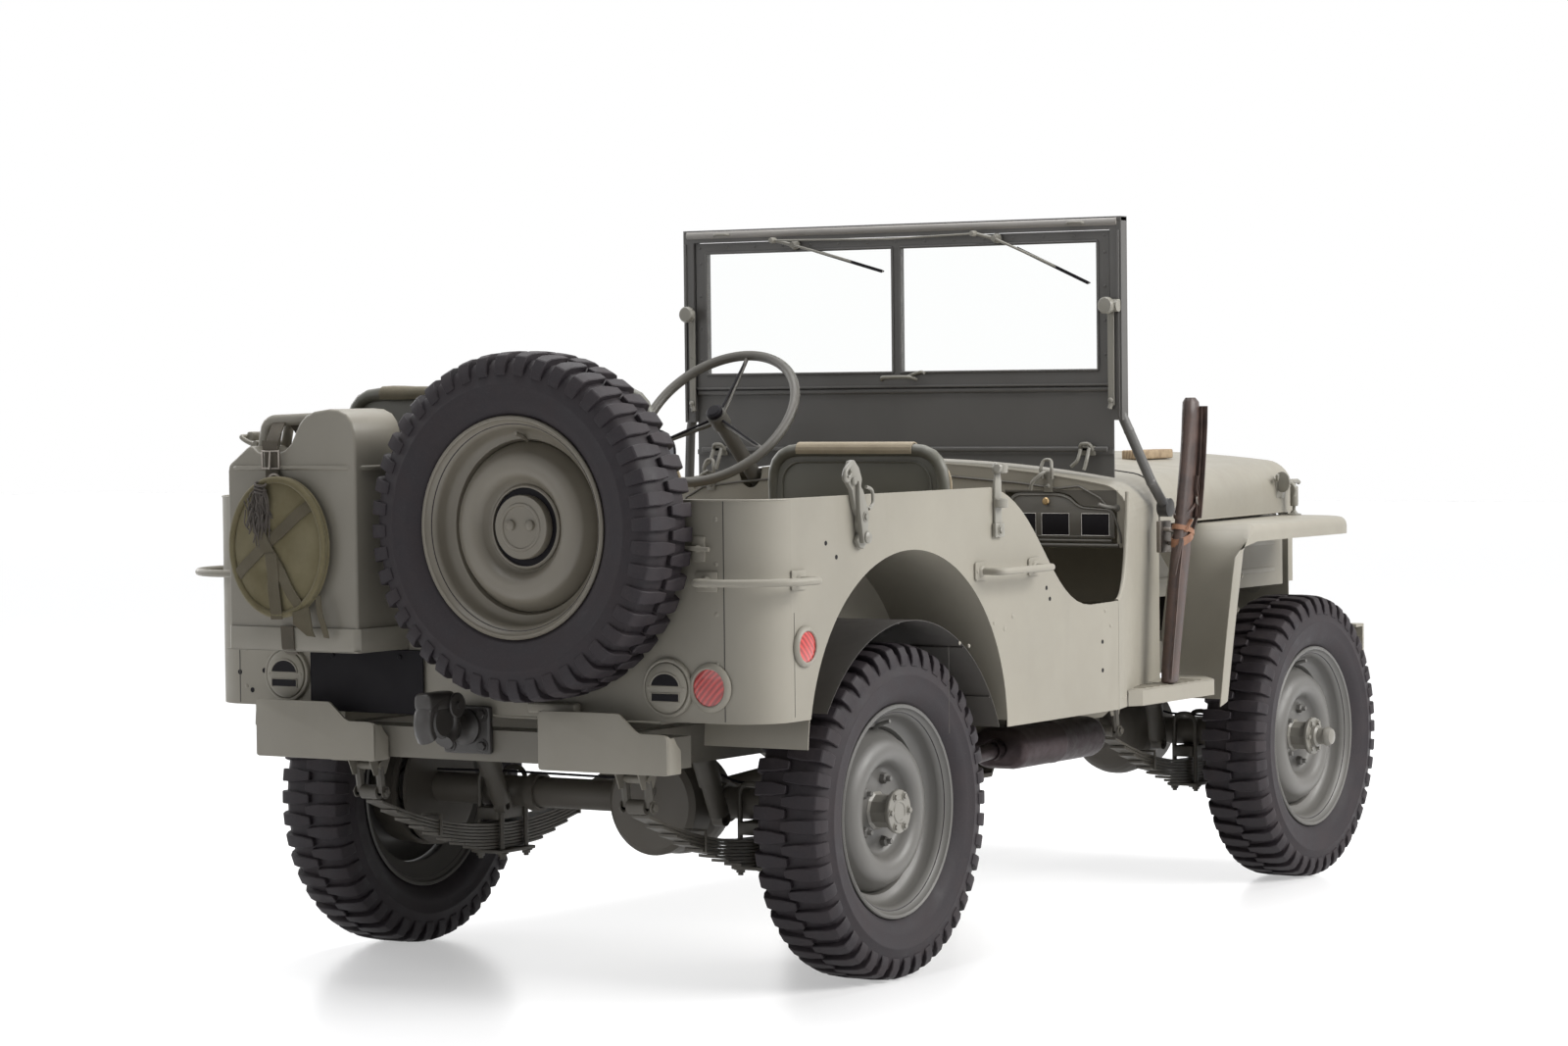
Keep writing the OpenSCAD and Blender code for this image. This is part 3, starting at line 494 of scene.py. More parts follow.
# %% Finish: leather, steel, glass, lamps, wood
def leather(name, color, dark):
    f = Finish(name, rough=0.42)
    pores = f.node("ShaderNodeTexVoronoi", {"feature": "DISTANCE_TO_EDGE"}, Vector=f.place, Scale=620.0)[0]
    old = f.noise(18.0, 7, 0.65)
    body = f.mix(f.ramp(old, 0.35, 0.68), rgba(dark), rgba(color))
    body = f.mix(f.ramp(pores, 0.0, 0.10, 0.5, 0.0), body, rgba(dark, 0.6))
    creases = f.bump(f.noise(30.0, 4, stretch=(1, 1, 0.2)), 0.5, 0.003)
    return f.wear(body, f.bump(pores, 0.25, 0.0006, under=creases), f.ramp(old, 0.3, 0.7, 0.34, 0.55))

def metal(name, color, rough=0.35, stain=(0.10, 0.07, 0.05), stained=0.35):
    f = Finish(name, metal=1.0)
    spots = f.noise(45.0, 7, 0.7)
    body = f.mix(f.ramp(spots, 0.45, 0.75, 0.0, stained), rgba(color), rgba(stain))
    brushed = f.noise(300.0, 3, stretch=(1, 1, 8))
    return f.wear(body, f.bump(brushed, 0.12, 0.0005), f.ramp(spots, 0.3, 0.7, rough - 0.08, rough + 0.15))

LEATHER = leather("brown_leather", (0.085, 0.049, 0.038), (0.034, 0.022, 0.019))
DARK_LEATHER = leather("dark_leather", (0.085, 0.050, 0.038), (0.030, 0.020, 0.018))
STRAP = leather("tan_leather", (0.30, 0.140, 0.070), (0.16, 0.072, 0.040))
STEEL = metal("bare_steel", (0.50, 0.48, 0.45))
DARK_STEEL = metal("oily_steel", (0.22, 0.20, 0.18), rough=0.42)
BRASS = metal("aged_brass", (0.42, 0.30, 0.16), rough=0.34, stain=(0.12, 0.08, 0.04))
MIRROR_FACE = metal("mirror_face", (0.16, 0.16, 0.17), rough=0.12, stain=(0.10, 0.10, 0.11), stained=0.2)
RUSTY = metal("heated_steel", (0.060, 0.048, 0.050), rough=0.40, stain=(0.040, 0.028, 0.026), stained=0.5)

def glass(name):
    f = Finish(name, rough=0.02)
    f.shader.inputs["Transmission Weight"].default_value = 1.0
    f.shader.inputs["IOR"].default_value = 1.05
    smear = f.ramp(f.noise(9.0, 4), 0.3, 0.7, 0.0, 0.05)
    tint = f.mix(smear, rgba((0.985, 0.995, 0.990)), rgba((0.93, 0.95, 0.94)))
    return f.wear(tint)

def red_lens(name):
    f = Finish(name, rough=0.18)
    f.shader.inputs["Coat Weight"].default_value = 0.6
    ribs = f.node("ShaderNodeTexWave", {"bands_direction": "DIAGONAL"}, Vector=f.place, Scale=42.0)[1]
    depth = f.mix(f.ramp(ribs, 0.1, 0.9), rgba((0.30, 0.012, 0.012)), rgba((0.62, 0.05, 0.045)))
    return f.wear(depth, f.bump(ribs, 0.5, 0.001))

def lamp_glass(name):
    f = Finish(name, rough=0.12)
    ribs = f.node("ShaderNodeTexWave", {"bands_direction": "Y"}, Vector=f.place, Scale=26.0)[1]
    tone = f.mix(ribs, rgba((0.55, 0.58, 0.58)), rgba((0.86, 0.88, 0.86)))
    f.shader.inputs["Coat Weight"].default_value = 0.8
    return f.wear(tone, f.bump(ribs, 0.3, 0.001))

def wood(name):
    f = Finish(name, rough=0.6)
    grain = f.node("ShaderNodeTexWave", {"bands_direction": "Y"}, Vector=f.place, Scale=40.0,
                   Distortion=6.0, Detail=4.0)[1]
    body = f.mix(grain, rgba((0.23, 0.16, 0.095)), rgba((0.36, 0.27, 0.17)))
    return f.wear(body, f.bump(grain, 0.3, 0.001))

GLASS = glass("window_glass")
RED = red_lens("red_reflector")
LENS = lamp_glass("lamp_glass")
WOOD = wood("ash_wood")
print("finishes made:", len(bpy.data.materials))

# %% [markdown]
# A frame part whose shape is already right keeps its mesh and only gets its finish.

# %% Helper: coat a piece, put a piece on its body
SLOTS = {
    "body_paint": PAINT, "cabin_paint": CABIN_SHADE_PAINT, "rim_paint": WHEEL_PAINT, "spare_rim_paint": SPARE_PAINT,
    "chassis_metal": CHASSIS, "exhaust_steel": RUSTY, "tyre": RUBBER, "canvas": SEAT_CLOTH,
    "leather": LEATHER, "glass": GLASS, "lamp_chrome": STEEL, "reflector_red": RED, "black_plate": BLACK,
}

def coat(piece, material):
    piece.data.materials.clear()
    piece.data.materials.append(material)
    return piece

def fit(piece, material, body="chassis", replaces=()):
    """Coats a finished piece and hangs it on its body; replaces names the frame parts it stands for."""
    coat(piece, material)
    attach(piece, body)
    if replaces:
        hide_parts(*replaces)
    return piece

for entry in frame["record"]["subparts"]:
    coat(nodes[entry["node"]], SLOTS[entry["material_slot"]])

# %% [markdown]
# ## The camera, the floor and the light
# The camera comes early, so that every later piece can be judged from where the car is seen:
# low behind its right rear corner, with a long lens. The floor is pale and a little glossy, and
# the world behind it shows plain white; one large soft lamp lights the right side.

# %% Camera
EYE = Vector((-8.2605, -5.1114, 1.2587))
HEADING = math.radians(32.66)
PITCH = math.radians(-1.954)
ROLL = math.radians(-0.636)
LENS_MM = 93.62

look = Vector((math.cos(PITCH) * math.cos(HEADING), math.cos(PITCH) * math.sin(HEADING), math.sin(PITCH)))
right = look.cross(Vector((0, 0, 1))).normalized()
up = right.cross(look)
right, up = (
    math.cos(ROLL) * right + math.sin(ROLL) * up,
    math.cos(ROLL) * up - math.sin(ROLL) * right,
)
view = Matrix((right, up, -look)).transposed().to_4x4()
view.translation = EYE
lens = bpy.data.cameras.new("camera")
lens.lens = LENS_MM
lens.sensor_width = 36
lens.clip_end = 200
camera = bpy.data.objects.new("camera", lens)
bpy.context.scene.collection.objects.link(camera)
camera.matrix_world = view
bpy.context.scene.camera = camera
bpy.context.scene.view_settings.view_transform = "Standard"
print("camera", round(EYE.length, 2), "m from the car's middle")

# %% Floor, world and lamps
def seen_directly(tree):
    """1 for rays that show the backdrop itself: camera, mirror and glass rays."""
    path = tree.nodes.new("ShaderNodeLightPath").outputs
    total = path["Is Camera Ray"]
    for other in ("Is Glossy Ray", "Is Transmission Ray"):
        add = tree.nodes.new("ShaderNodeMath")
        add.operation = "MAXIMUM"
        tree.links.new(total, add.inputs[0])
        tree.links.new(path[other], add.inputs[1])
        total = add.outputs[0]
    return total

world = bpy.data.worlds.new("studio")
bpy.context.scene.world = world
world.use_nodes = True
sky = world.node_tree
ambient = sky.nodes["Background"]
ambient.inputs["Color"].default_value = (0.92, 0.95, 1.0, 1)
ambient.inputs["Strength"].default_value = 0.13
white = sky.nodes.new("ShaderNodeBackground")
white.inputs["Color"].default_value = (1, 1, 1, 1)
pick = sky.nodes.new("ShaderNodeMixShader")
sky.links.new(seen_directly(sky), pick.inputs[0])
sky.links.new(ambient.outputs[0], pick.inputs[1])
sky.links.new(white.outputs[0], pick.inputs[2])
sky.links.new(pick.outputs[0], sky.nodes["World Output"].inputs[0])

floor_finish = bpy.data.materials.new("studio_floor")
floor_finish.use_nodes = True
tree = floor_finish.node_tree
gloss = tree.nodes["Principled BSDF"]
gloss.inputs["Base Color"].default_value = (0.86, 0.86, 0.87, 1)
gloss.inputs["Roughness"].default_value = 0.22
gloss.inputs["Specular IOR Level"].default_value = 0.4
glow = tree.nodes.new("ShaderNodeEmission")
glow.inputs["Color"].default_value = (1, 1, 1, 1)
share = tree.nodes.new("ShaderNodeMath")
share.operation = "MULTIPLY"
share.inputs[1].default_value = 0.42
tree.links.new(seen_directly(tree), share.inputs[0])
tree.links.new(share.outputs[0], glow.inputs["Strength"])
both_shades = tree.nodes.new("ShaderNodeAddShader")
tree.links.new(gloss.outputs[0], both_shades.inputs[0])
tree.links.new(glow.outputs[0], both_shades.inputs[1])
tree.links.new(both_shades.outputs[0], tree.nodes["Material Output"].inputs[0])

clear()
bpy.ops.mesh.primitive_plane_add(size=60, location=(0, 0, 0))
floor = named("floor")
coat(floor, floor_finish)

def lamp(name, at, aim, size, power, color=(1, 1, 1)):
    light = bpy.data.lights.new(name, "AREA")
    light.shape = "RECTANGLE"
    light.size, light.size_y = size
    light.energy = power
    light.color = color
    made = bpy.data.objects.new(name, light)
    bpy.context.scene.collection.objects.link(made)
    made.location = at
    made.rotation_euler = (Vector(aim) - Vector(at)).to_track_quat("-Z", "Y").to_euler()

lamp("key", (1.2, -6.0, 4.2), (0.2, 0, 0.7), (7.0, 3.0), 560, (1.0, 0.99, 0.97))
lamp("top", (0.0, 0.5, 6.0), (0, 0, 0.5), (6.0, 4.0), 300)
lamp("back_fill", (-6.5, 1.5, 2.2), (0, 0, 0.8), (4.0, 2.5), 26)
lamp("left_fill", (0.5, 6.5, 3.0), (0, 0, 0.7), (6.0, 3.0), 150)

# %% [markdown]
# ## Wheels
# The tyre is a carcass turned on the lathe plus two rows of heavy bars. Each bar is one
# plate cut to the tyre's own section and given a thickness along the tread; it is bevelled,
# narrowed towards the middle, and copied round the wheel, the two sides half a step apart.

# %% Tyre
LUGS = 44
LUG_W = 0.0285
GROOVE = 0.012

def tyre_shape():
    half = 0.080
    inner = [
        (0.2085, -0.0545), (0.2235, -0.0555), (0.2300, -0.0625), (0.2440, -0.0745), (0.2620, -0.0815),
        (0.2850, -0.0835), (0.2870, -0.0848), (0.2900, -0.0848), (0.2920, -0.0832), (0.3120, -0.0800),
        (0.3300, -0.0735), (TYRE_R - GROOVE - 0.003, -0.058), (TYRE_R - GROOVE, -0.030),
    ]
    outline = inner + [(r, -h) for r, h in reversed(inner)]
    carcass = lathe("carcass", outline, steps=120, degrees=50)
    section = [
        (-0.005, TYRE_R - 0.018), (-0.005, TYRE_R - 0.0006), (0.030, TYRE_R - 0.0004),
        (0.058, TYRE_R - 0.0024),
        (0.0745, TYRE_R - 0.0085), (0.0830, TYRE_R - 0.026), (0.0845, TYRE_R - 0.042),
        (0.0820, TYRE_R - 0.050),
        (0.0770, TYRE_R - 0.048), (0.0700, TYRE_R - 0.030), (0.045, TYRE_R - 0.018),
    ]
    lug = plate("lug", section, "z", -LUG_W / 2, LUG_W)
    for vertex in lug.data.vertices:
        if vertex.co.x < 0.01:
            vertex.co.z *= 0.62
        if vertex.co.x > 0.08 and vertex.co.y < TYRE_R - 0.03:
            vertex.co.z *= 0.86
    modify(lug, "BEVEL", width=0.0018, segments=1, limit_method="ANGLE", angle_limit=math.radians(35))
    smooth(lug, 30)
    # section (across, radius) and thickness become (axis, radius, along the tread)
    upright = Matrix(((0, 1, 0, 0), (0, 0, 1, 0), (1, 0, 0, 0), (0, 0, 0, 1)))
    parts = [carcass]
    for side in (0, 1):
        for i in range(LUGS):
            angle = math.tau * (i + side / 2) / LUGS
            matrix = Matrix.Rotation(angle, 4, "Z") @ upright
            if side:
                matrix = Matrix.Rotation(angle, 4, "Z") @ Matrix.Scale(-1, 4, (0, 0, 1)) @ upright
            parts.append(copied(lug, "lug_copy", matrix))
    bpy.data.objects.remove(lug)
    return joined("tyre_shape", parts)

tyre = tyre_shape()
print("tyre faces:", len(tyre.data.polygons))

# %% [markdown]
# The steel wheel is two pressings: a rim with a deep drop centre, and a domed disc that dips
# to a bowl for the five wheel nuts. Both are thin sheet, so their outlines are a path and the
# same path moved by the sheet's thickness.

# %% Steel wheel
def sheet_outline(path, dr, dh):
    return path + [(r + dr, h + dh) for r, h in reversed(path)]

def wheel_shape(name, bowl_r):
    rim_path = [
        (0.2235, 0.0600), (0.2238, 0.0645), (0.2215, 0.0668), (0.2185, 0.0655), (0.2165, 0.0600),
        (0.2100, 0.0545),
        (0.2045, 0.0500), (0.2010, 0.0400), (0.1990, 0.0260), (0.1900, 0.0160), (0.1790, 0.0110),
        (0.1750, 0.0020),
        (0.1750, -0.0300), (0.1830, -0.0370), (0.2000, -0.0450), (0.2070, -0.0530), (0.2165, -0.0590),
        (0.2185, -0.0655), (0.2215, -0.0668), (0.2238, -0.0645),
    ]
    rim = lathe(name + "_rim", sheet_outline(rim_path, 0.0028, 0.0), steps=96)
    disc_path = [
        (0.1738, -0.004), (0.1715, 0.006), (0.1640, 0.016), (0.1570, 0.030), (0.1480, 0.0405),
        (0.1360, 0.0460),
        (0.1230, 0.0470), (0.1120, 0.0440), (0.1040, 0.0370), (0.0980, 0.0270), (0.0930, 0.0170),
        (0.0860, 0.0120), (bowl_r, 0.0110),
    ]
    disc = lathe(name + "_disc", sheet_outline(disc_path, 0.0, -0.0042), steps=96)
    valve = bar(name + "_valve", [(0.0, 0.176, 0.004), (0.0, 0.186, 0.030), (0.0, 0.190, 0.046)], 0.0045,
                0.01)
    return [rim, disc, valve]

def ring_of(piece, count, start=0.0):
    """Copies a piece round the wheel's axis."""
    made = [copied(piece, piece.name, Matrix.Rotation(start + math.tau * i / count, 4, "Z"))
            for i in range(count)]
    bpy.data.objects.remove(piece)
    return made

def wheel_nuts(radius, height, count=5):
    nut = lathe("nut", [(0.0, 0.0), (0.0125, 0.0), (0.0115, 0.011), (0.008, 0.014), (0.0, 0.014)],
                (radius, 0, height), (0, 0, 1), steps=6, degrees=25)
    stud = lathe("stud", [(0, 0), (0.006, 0), (0.006, 0.022), (0.005, 0.0235), (0, 0.0235)],
                 (radius, 0, height), (0, 0, 1), steps=12)
    return ring_of(joined("nut", [nut, stud]), count)

def hub_shape(front):
    """Hub barrel with its bolted end flange; the front ones carry a long nose."""
    barrel = lathe("barrel", [(0, -0.010), (0.042, -0.010), (0.042, 0.012), (0.036, 0.016),
                              (0.036, 0.058), (0, 0.058)], steps=10, degrees=20)
    flange = lathe("flange", [(0, 0.058), (0.0455, 0.058), (0.0465, 0.060), (0.0465, 0.066),
                              (0.045, 0.068), (0.026, 0.068), (0.024, 0.070), (0.020, 0.070),
                              (0.018, 0.068), (0, 0.068)], steps=40)
    bolt = hex_bolt("hub_bolt", (0.0365, 0, 0.068), (0, 0, 1), 0.0062, 0.006)
    parts = [barrel, flange] + ring_of(bolt, 6)
    if front:
        nose = [(0, 0.068), (0.027, 0.068), (0.027, 0.078), (0.021, 0.082), (0.021, 0.098), (0.024, 0.100),
                (0.024, 0.108), (0.019, 0.116), (0.010, 0.1195), (0, 0.120)]
        parts.append(lathe("nose", nose, steps=28))
    return parts

def drum_shape():
    outline = [(0.044, 0.004), (0.118, 0.004), (0.126, 0.000), (0.128, -0.008), (0.128, -0.058),
               (0.132, -0.062), (0.132, -0.074), (0.124, -0.074), (0.122, -0.010), (0.044, -0.006)]
    return lathe("drum", outline, steps=64)

# %% Place the wheels
def wheel_place(node, outboard):
    centre = middle(node)
    return Matrix.Translation(centre) @ facing(outboard)

ROAD_WHEELS = {
    "front_left": (0, 1, 0), "front_right": (0, -1, 0), "rear_left": (0, 1, 0), "rear_right": (0, -1, 0),
}
road_wheel = joined("road_wheel", wheel_shape("road", 0.040))
nuts = joined("road_nuts", wheel_nuts(0.0699, 0.0110))
hubs = {"front": joined("front_hub", hub_shape(True)), "rear": joined("rear_hub", hub_shape(False))}
drum = drum_shape()
for corner, outboard in ROAD_WHEELS.items():
    place = wheel_place("tyre_" + corner, outboard)
    body = "wheel_" + corner
    fit(copied(tyre, "tyre_" + corner + "_tread", place), RUBBER, body, ["tyre_" + corner])
    fit(copied(road_wheel, "wheel_disc_" + corner, place), WHEEL_PAINT, body, ["rim_" + corner])
    fit(copied(nuts, "wheel_nuts_" + corner, place), WHEEL_PAINT, body)
    fit(copied(hubs[corner.split("_")[0]], "wheel_hub_" + corner, place), HUB_PAINT, body)
    fit(copied(drum, "brake_drum_" + corner, place), CHASSIS, body)

# %% [markdown]
# The spare hangs on a round plate with two nuts, inside its bowl.

# %% Spare wheel
spare_place = wheel_place("spare_tyre", (-1, 0, 0))
fit(turned(tyre, spare_place @ Matrix.Rotation(0.03, 4, "Z")), RUBBER, "chassis", ["spare_tyre"])
tyre.name = "spare_tyre_tread"
spare_parts = wheel_shape("spare", 0.055)
plate_path = [(0, 0.0100), (0.0655, 0.0100), (0.0655, 0.0290), (0.0640, 0.0315), (0.0500, 0.0320),
              (0.0480, 0.0345), (0.0440, 0.0345), (0.0420, 0.0320), (0, 0.0320)]
clamp_plate = lathe("clamp_plate", plate_path, steps=64)
well_path = [(0.060, 0.0104), (0.0800, 0.0104), (0.0800, 0.0180), (0.0830, 0.0185), (0.0860, 0.0165),
             (0.0860, 0.0108), (0.0870, 0.0100), (0.060, 0.0100)]
well_rim = lathe("well_rim", well_path, steps=64)
knobs = []
for side in (-1, 1):
    knob_path = [(0, 0.0318), (0.0115, 0.0318), (0.0105, 0.0380), (0.006, 0.0420), (0, 0.0430)]
    knobs.append(lathe("clamp_nut", knob_path, (side * 0.024, 0.004, 0), (0, 0, 1), steps=20))
spare_wheel = joined("spare_wheel_disc", spare_parts + [clamp_plate, well_rim] + knobs)
fit(turned(spare_wheel, spare_place), SPARE_PAINT, "chassis", ["spare_rim"])
# A black ring paints the shade in the recess between the clamp plate and the well's rim.
well_shade = lathe("spare_well_painted_shade", [(0.0640, 0.0106), (0.0802, 0.0106), (0.0802, 0.0125), (0.0640, 0.0125)],
             steps=56)
fit(turned(well_shade, spare_place), BLACK, "chassis")
for leftover in [road_wheel, nuts, drum, *hubs.values()]:
    bpy.data.objects.remove(leftover)
print("wheels placed:", len(ROAD_WHEELS) + 1)

# %% [markdown]
# ## The tub
# The tub is thin pressed steel. Its walls come from the frame; what the press and the
# spot welder leave on it is added: the seams of the corner panels, the ribs of the floor,
# the folded top edge, and the bolts and little holes along the door opening.

# %% Tub: seams, top edge, ribs
REAR_PANEL = -0.566
CORNER_R = 0.100
SEAM_Y = 0.628

def strip(name, low, high, round_by=0.0006):
    return tub_block(name, low, high, round_by, 1)

def tub_edge():
    """Folded rim along the top of the side, round the corner and over the back."""
    path = [(0.335, SIDE_Y), (REAR_PANEL + CORNER_R, SIDE_Y)]
    for i in range(1, 9):
        a = math.pi / 2 * (1 + i / 8)
        path.append((REAR_PANEL + CORNER_R + CORNER_R * math.cos(a),
                     SIDE_Y - CORNER_R + CORNER_R * math.sin(a)))
    path.append((REAR_PANEL, 0.0))
    return tub_bar("edge", [(x, y - 0.0018 if i < 2 else y, TUB_TOP - 0.0022)
                            for i, (x, y) in enumerate(path)], 0.0021)

seams = [
    strip("seam", (REAR_PANEL - 0.0006, SEAM_Y - 0.0012, 0.585), (REAR_PANEL, SEAM_Y + 0.0012, 1.028)),
]
for x in (-0.458, 0.152):
    seams.append(strip("panel_seam", (x, SIDE_Y, 0.59 if x < 0 else 0.51),
                       (x + 0.0012, SIDE_Y + 0.0007, 0.80 if x < 0 else 0.70)))
fit(both("tub_seams", seams), CHASSIS, "chassis")
fit(both("tub_top_edge", [tub_edge()]), PAINT)

ribs = []
for y in (-0.36, -0.18, 0.0, 0.18, 0.36):
    ribs.append(tub_block("rib", (-0.545, y - 0.011, 0.5772), (0.085, y + 0.011, 0.5822), 0.004, 3))
for y in (-0.62, -0.46, -0.30, -0.14, 0.14, 0.62):
    ribs.append(tub_block("rib", (0.13, y - 0.011, 0.5222), (0.90, y + 0.011, 0.5272), 0.004, 3))
fit(joined("floor_ribs", ribs), PAINT)

# %% [markdown]
# Inside each rear wheel arch the steel is dull and painted nearly black, as the shade that falls
# inside the arch. A thin skin follows the arch, a flat wall closes it, and three seams cross the skin.

# %% Wheel arch liners
ARCH_R, HOUSE_Y = 0.405, 0.470
ARCH_FROM, ARCH_TO = 22, 145
STEP_X, STEP_LOW, STEP_HIGH = 0.096, 0.508, 0.590

def round_arch(radius, low=ARCH_FROM, high=ARCH_TO, steps=30):
    """Points along the wheel arch, angles in degrees from the front."""
    angles = [math.radians(low + (high - low) * k / steps) for k in range(steps + 1)]
    return [(radius * math.cos(a), AXLE_Z + radius * math.sin(a)) for a in angles]

skin_loop = round_arch(ARCH_R - 0.0006) + round_arch(ARCH_R - 0.0016)[::-1]
skin = plate("skin", lift(skin_loop[::-1], X0), "y", SIDE_Y - 0.0032, SIDE_Y - HOUSE_Y - 0.0065, 0.0)
wall_loop = round_arch(ARCH_R - 0.0010) + [(STEP_X, STEP_HIGH), (STEP_X, STEP_LOW)]
wall = plate("wall", lift(wall_loop[::-1], X0), "y", HOUSE_Y + 0.0042, 0.0012, 0.0)
liner = [skin, wall]
for degrees in (33, 56, 96):
    x, z = round_arch(ARCH_R - 0.0030, degrees, degrees, 1)[0]
    liner.append(tub_bar("seam", [(x, HOUSE_Y + 0.006, z), (x, SIDE_Y - 0.006, z)], 0.0022, sides=1))
fit(both("arch_liners_painted_shade", [joined("liner", liner)]), ARCH_SHADE_PAINT, "chassis")

# %% [markdown]
# Round heads of rivets and spots of weld sit in rows where panels meet: along the rear
# panel's seams, round the wheel openings' inner flanges and below the cowl.

# %% Tub: rivets, bolts and small holes
def dome(name, at, direction, radius=0.005, height=0.0022):
    outline = [(0, 0), (radius, 0), (radius * 0.8, height * 0.6), (radius * 0.4, height * 0.95), (0, height)]
    return lathe(name, outline, at, direction, steps=10)

def hole(name, at, direction, radius=0.004):
    """A shallow cup, painted black as the shade inside a drilled hole."""
    outline = [(0, 0.00015), (radius, 0.00015), (radius, 0.0004), (radius * 1.25, 0.0004),
               (radius * 1.25, 0), (0, 0)]
    return lathe(name, outline, at, direction, steps=14)

heads = []
for z in (0.62, 0.70, 0.80, 0.90, 0.99):
    heads.append(dome("rivet", on_tub(REAR_PANEL, SEAM_Y - 0.018, z), (-1, 0, 0)))
for x, z in ((0.350, 0.735), (0.395, 0.72), (0.432, 0.745), (0.86, 0.735), (0.885, 0.70)):
    heads.append(dome("rivet", on_tub(x, SIDE_Y, z), (0, 1, 0), 0.006))
for x in (0.20, 0.24):
    heads.append(dome("rivet", on_tub(x, SIDE_Y, 0.700 - (x - 0.2) * 0.2), (0, 1, 0), 0.0045))
for x in (0.955, 1.00, 1.05):
    heads.append(dome("rivet", on_tub(x, 0.7235 - (x - 0.923) * 0.29, 0.53), (0.28, 0.96, 0), 0.0045))
fit(both("body_rivets", heads), PAINT)

# Black cups paint the shade inside the small drilled holes.
hole_shade_cups = []
for x, z in ((-0.335, 0.935), (-0.295, 0.905), (0.585, 0.800), (0.60, 0.775), (0.845, 0.665),
             (0.845, 0.600)):
    hole_shade_cups.append(hole("hole", on_tub(x, SIDE_Y, z), (0, 1, 0)))
hole_shade_cups.append(hole("hole", on_tub(REAR_PANEL, 0.560, 0.655), (-1, 0, 0), 0.0045))
hole_shade_cups.append(hole("hole", on_tub(REAR_PANEL, 0.628, 0.650), (-1, 0, 0), 0.0045))
hole_shade_cups.append(hole("hole", on_tub(REAR_PANEL, 0.594, 0.612), (-1, 0, 0), 0.0045))
fit(both("drilled_holes_painted_shade", hole_shade_cups), BLACK, "chassis")

# %% [markdown]
# Tool lockers stand behind the wheel houses. Their lids are stiffened by a pressed panel and
# held by two hinges and a turn button.

# %% Tub: locker lids
for side, mirror_matrix in (("left", Matrix.Identity(4)), ("right", MIRROR)):
    low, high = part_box("toolbox_lid_left")
    panel = block("panel", (low.x + 0.02, low.y + 0.02, high.z),
                  (high.x - 0.02, high.y - 0.02, high.z + 0.0022), 0.002, 2)
    hinges = [
        bar("hinge", [(x - 0.018, high.y - 0.002, high.z + 0.0018),
                      (x + 0.018, high.y - 0.002, high.z + 0.0018)], 0.0026)
        for x in (low.x + 0.05, high.x - 0.05)
    ]
    button = lathe("button", [(0, 0), (0.012, 0), (0.012, 0.003), (0.004, 0.004), (0.004, 0.008),
        (0, 0.008)], ((low.x + high.x) / 2, low.y + 0.012, high.z), (0, 0, 1), steps=16)
    trim = turned(joined("locker_trim_" + side, [panel, button] + hinges), mirror_matrix)
    fit(trim, PAINT, "toolbox_lid_" + side)

# %% [markdown]
# Two kinds of bow bracket sit on each side. The rear one is a cast hook that the canvas top's
# bow was clamped in, with a pad, a hooked jaw above it and a pin on a short chain. The front
# one is a flat strap with a round eye at its top.

# %% Bow brackets
def cast_bow_bracket():
    outline = [
        (-0.232, 0.937), (-0.222, 0.922), (-0.206, 0.918), (-0.194, 0.930), (-0.188, 0.948),
        (-0.196, 0.968), (-0.186, 0.982),
        (-0.190, 1.000), (-0.204, 1.008), (-0.198, 1.024), (-0.206, 1.040), (-0.214, 1.046), (-0.210, 1.062),
        (-0.222, 1.086), (-0.240, 1.102), (-0.256, 1.100), (-0.262, 1.088), (-0.252, 1.076), (-0.262, 1.070),
        (-0.266, 1.056), (-0.250, 1.040), (-0.244, 1.020), (-0.238, 1.002), (-0.226, 0.986),
        (-0.228, 0.966), (-0.220, 0.952),
    ]
    body = plate("cast", lift(outline, X0), "y", SIDE_Y + 0.0125, 0.012, 0.0028, 2)
    web = plate("web", lift([(-0.222, 0.930), (-0.205, 0.930), (-0.202, 1.000), (-0.224, 1.040),
                             (-0.238, 1.060), (-0.236, 1.000)], X0), "y", SIDE_Y + 0.022, 0.011, 0.0025, 2)
    jaw = tub_bar("jaw", [(-0.262, SIDE_Y + 0.010, 1.060), (-0.282, SIDE_Y + 0.012, 1.062),
                          (-0.276, SIDE_Y + 0.012, 1.082), (-0.250, SIDE_Y + 0.010, 1.096)], 0.0055, 0.012)
    clasp = tub_bar("clasp", [(-0.206, SIDE_Y + 0.018, 1.046), (-0.180, SIDE_Y + 0.018, 1.040),
        (-0.178, SIDE_Y + 0.018, 1.010), (-0.196, SIDE_Y + 0.018, 1.000)], 0.0036, 0.012)
    pin = lathe("pin", [(0, 0), (0.0085, 0), (0.0085, 0.004), (0.006, 0.007), (0, 0.007)],
                on_tub(-0.2475, SIDE_Y + 0.0125, 1.058), (0, 1, 0), steps=16)
    low_bolt = lathe("bolt", [(0, 0), (0.0125, 0), (0.0125, 0.003), (0.008, 0.006), (0, 0.0065)],
                     on_tub(-0.208, SIDE_Y + 0.022, 0.942), (0, 1, 0), steps=20)
    mid_bolt = hex_bolt("bolt", on_tub(-0.214, SIDE_Y + 0.022, 0.985), (0, 1, 0), 0.0075, 0.005)
    return joined("cast_bow_bracket", [body, web, jaw, clasp, pin, low_bolt, mid_bolt])

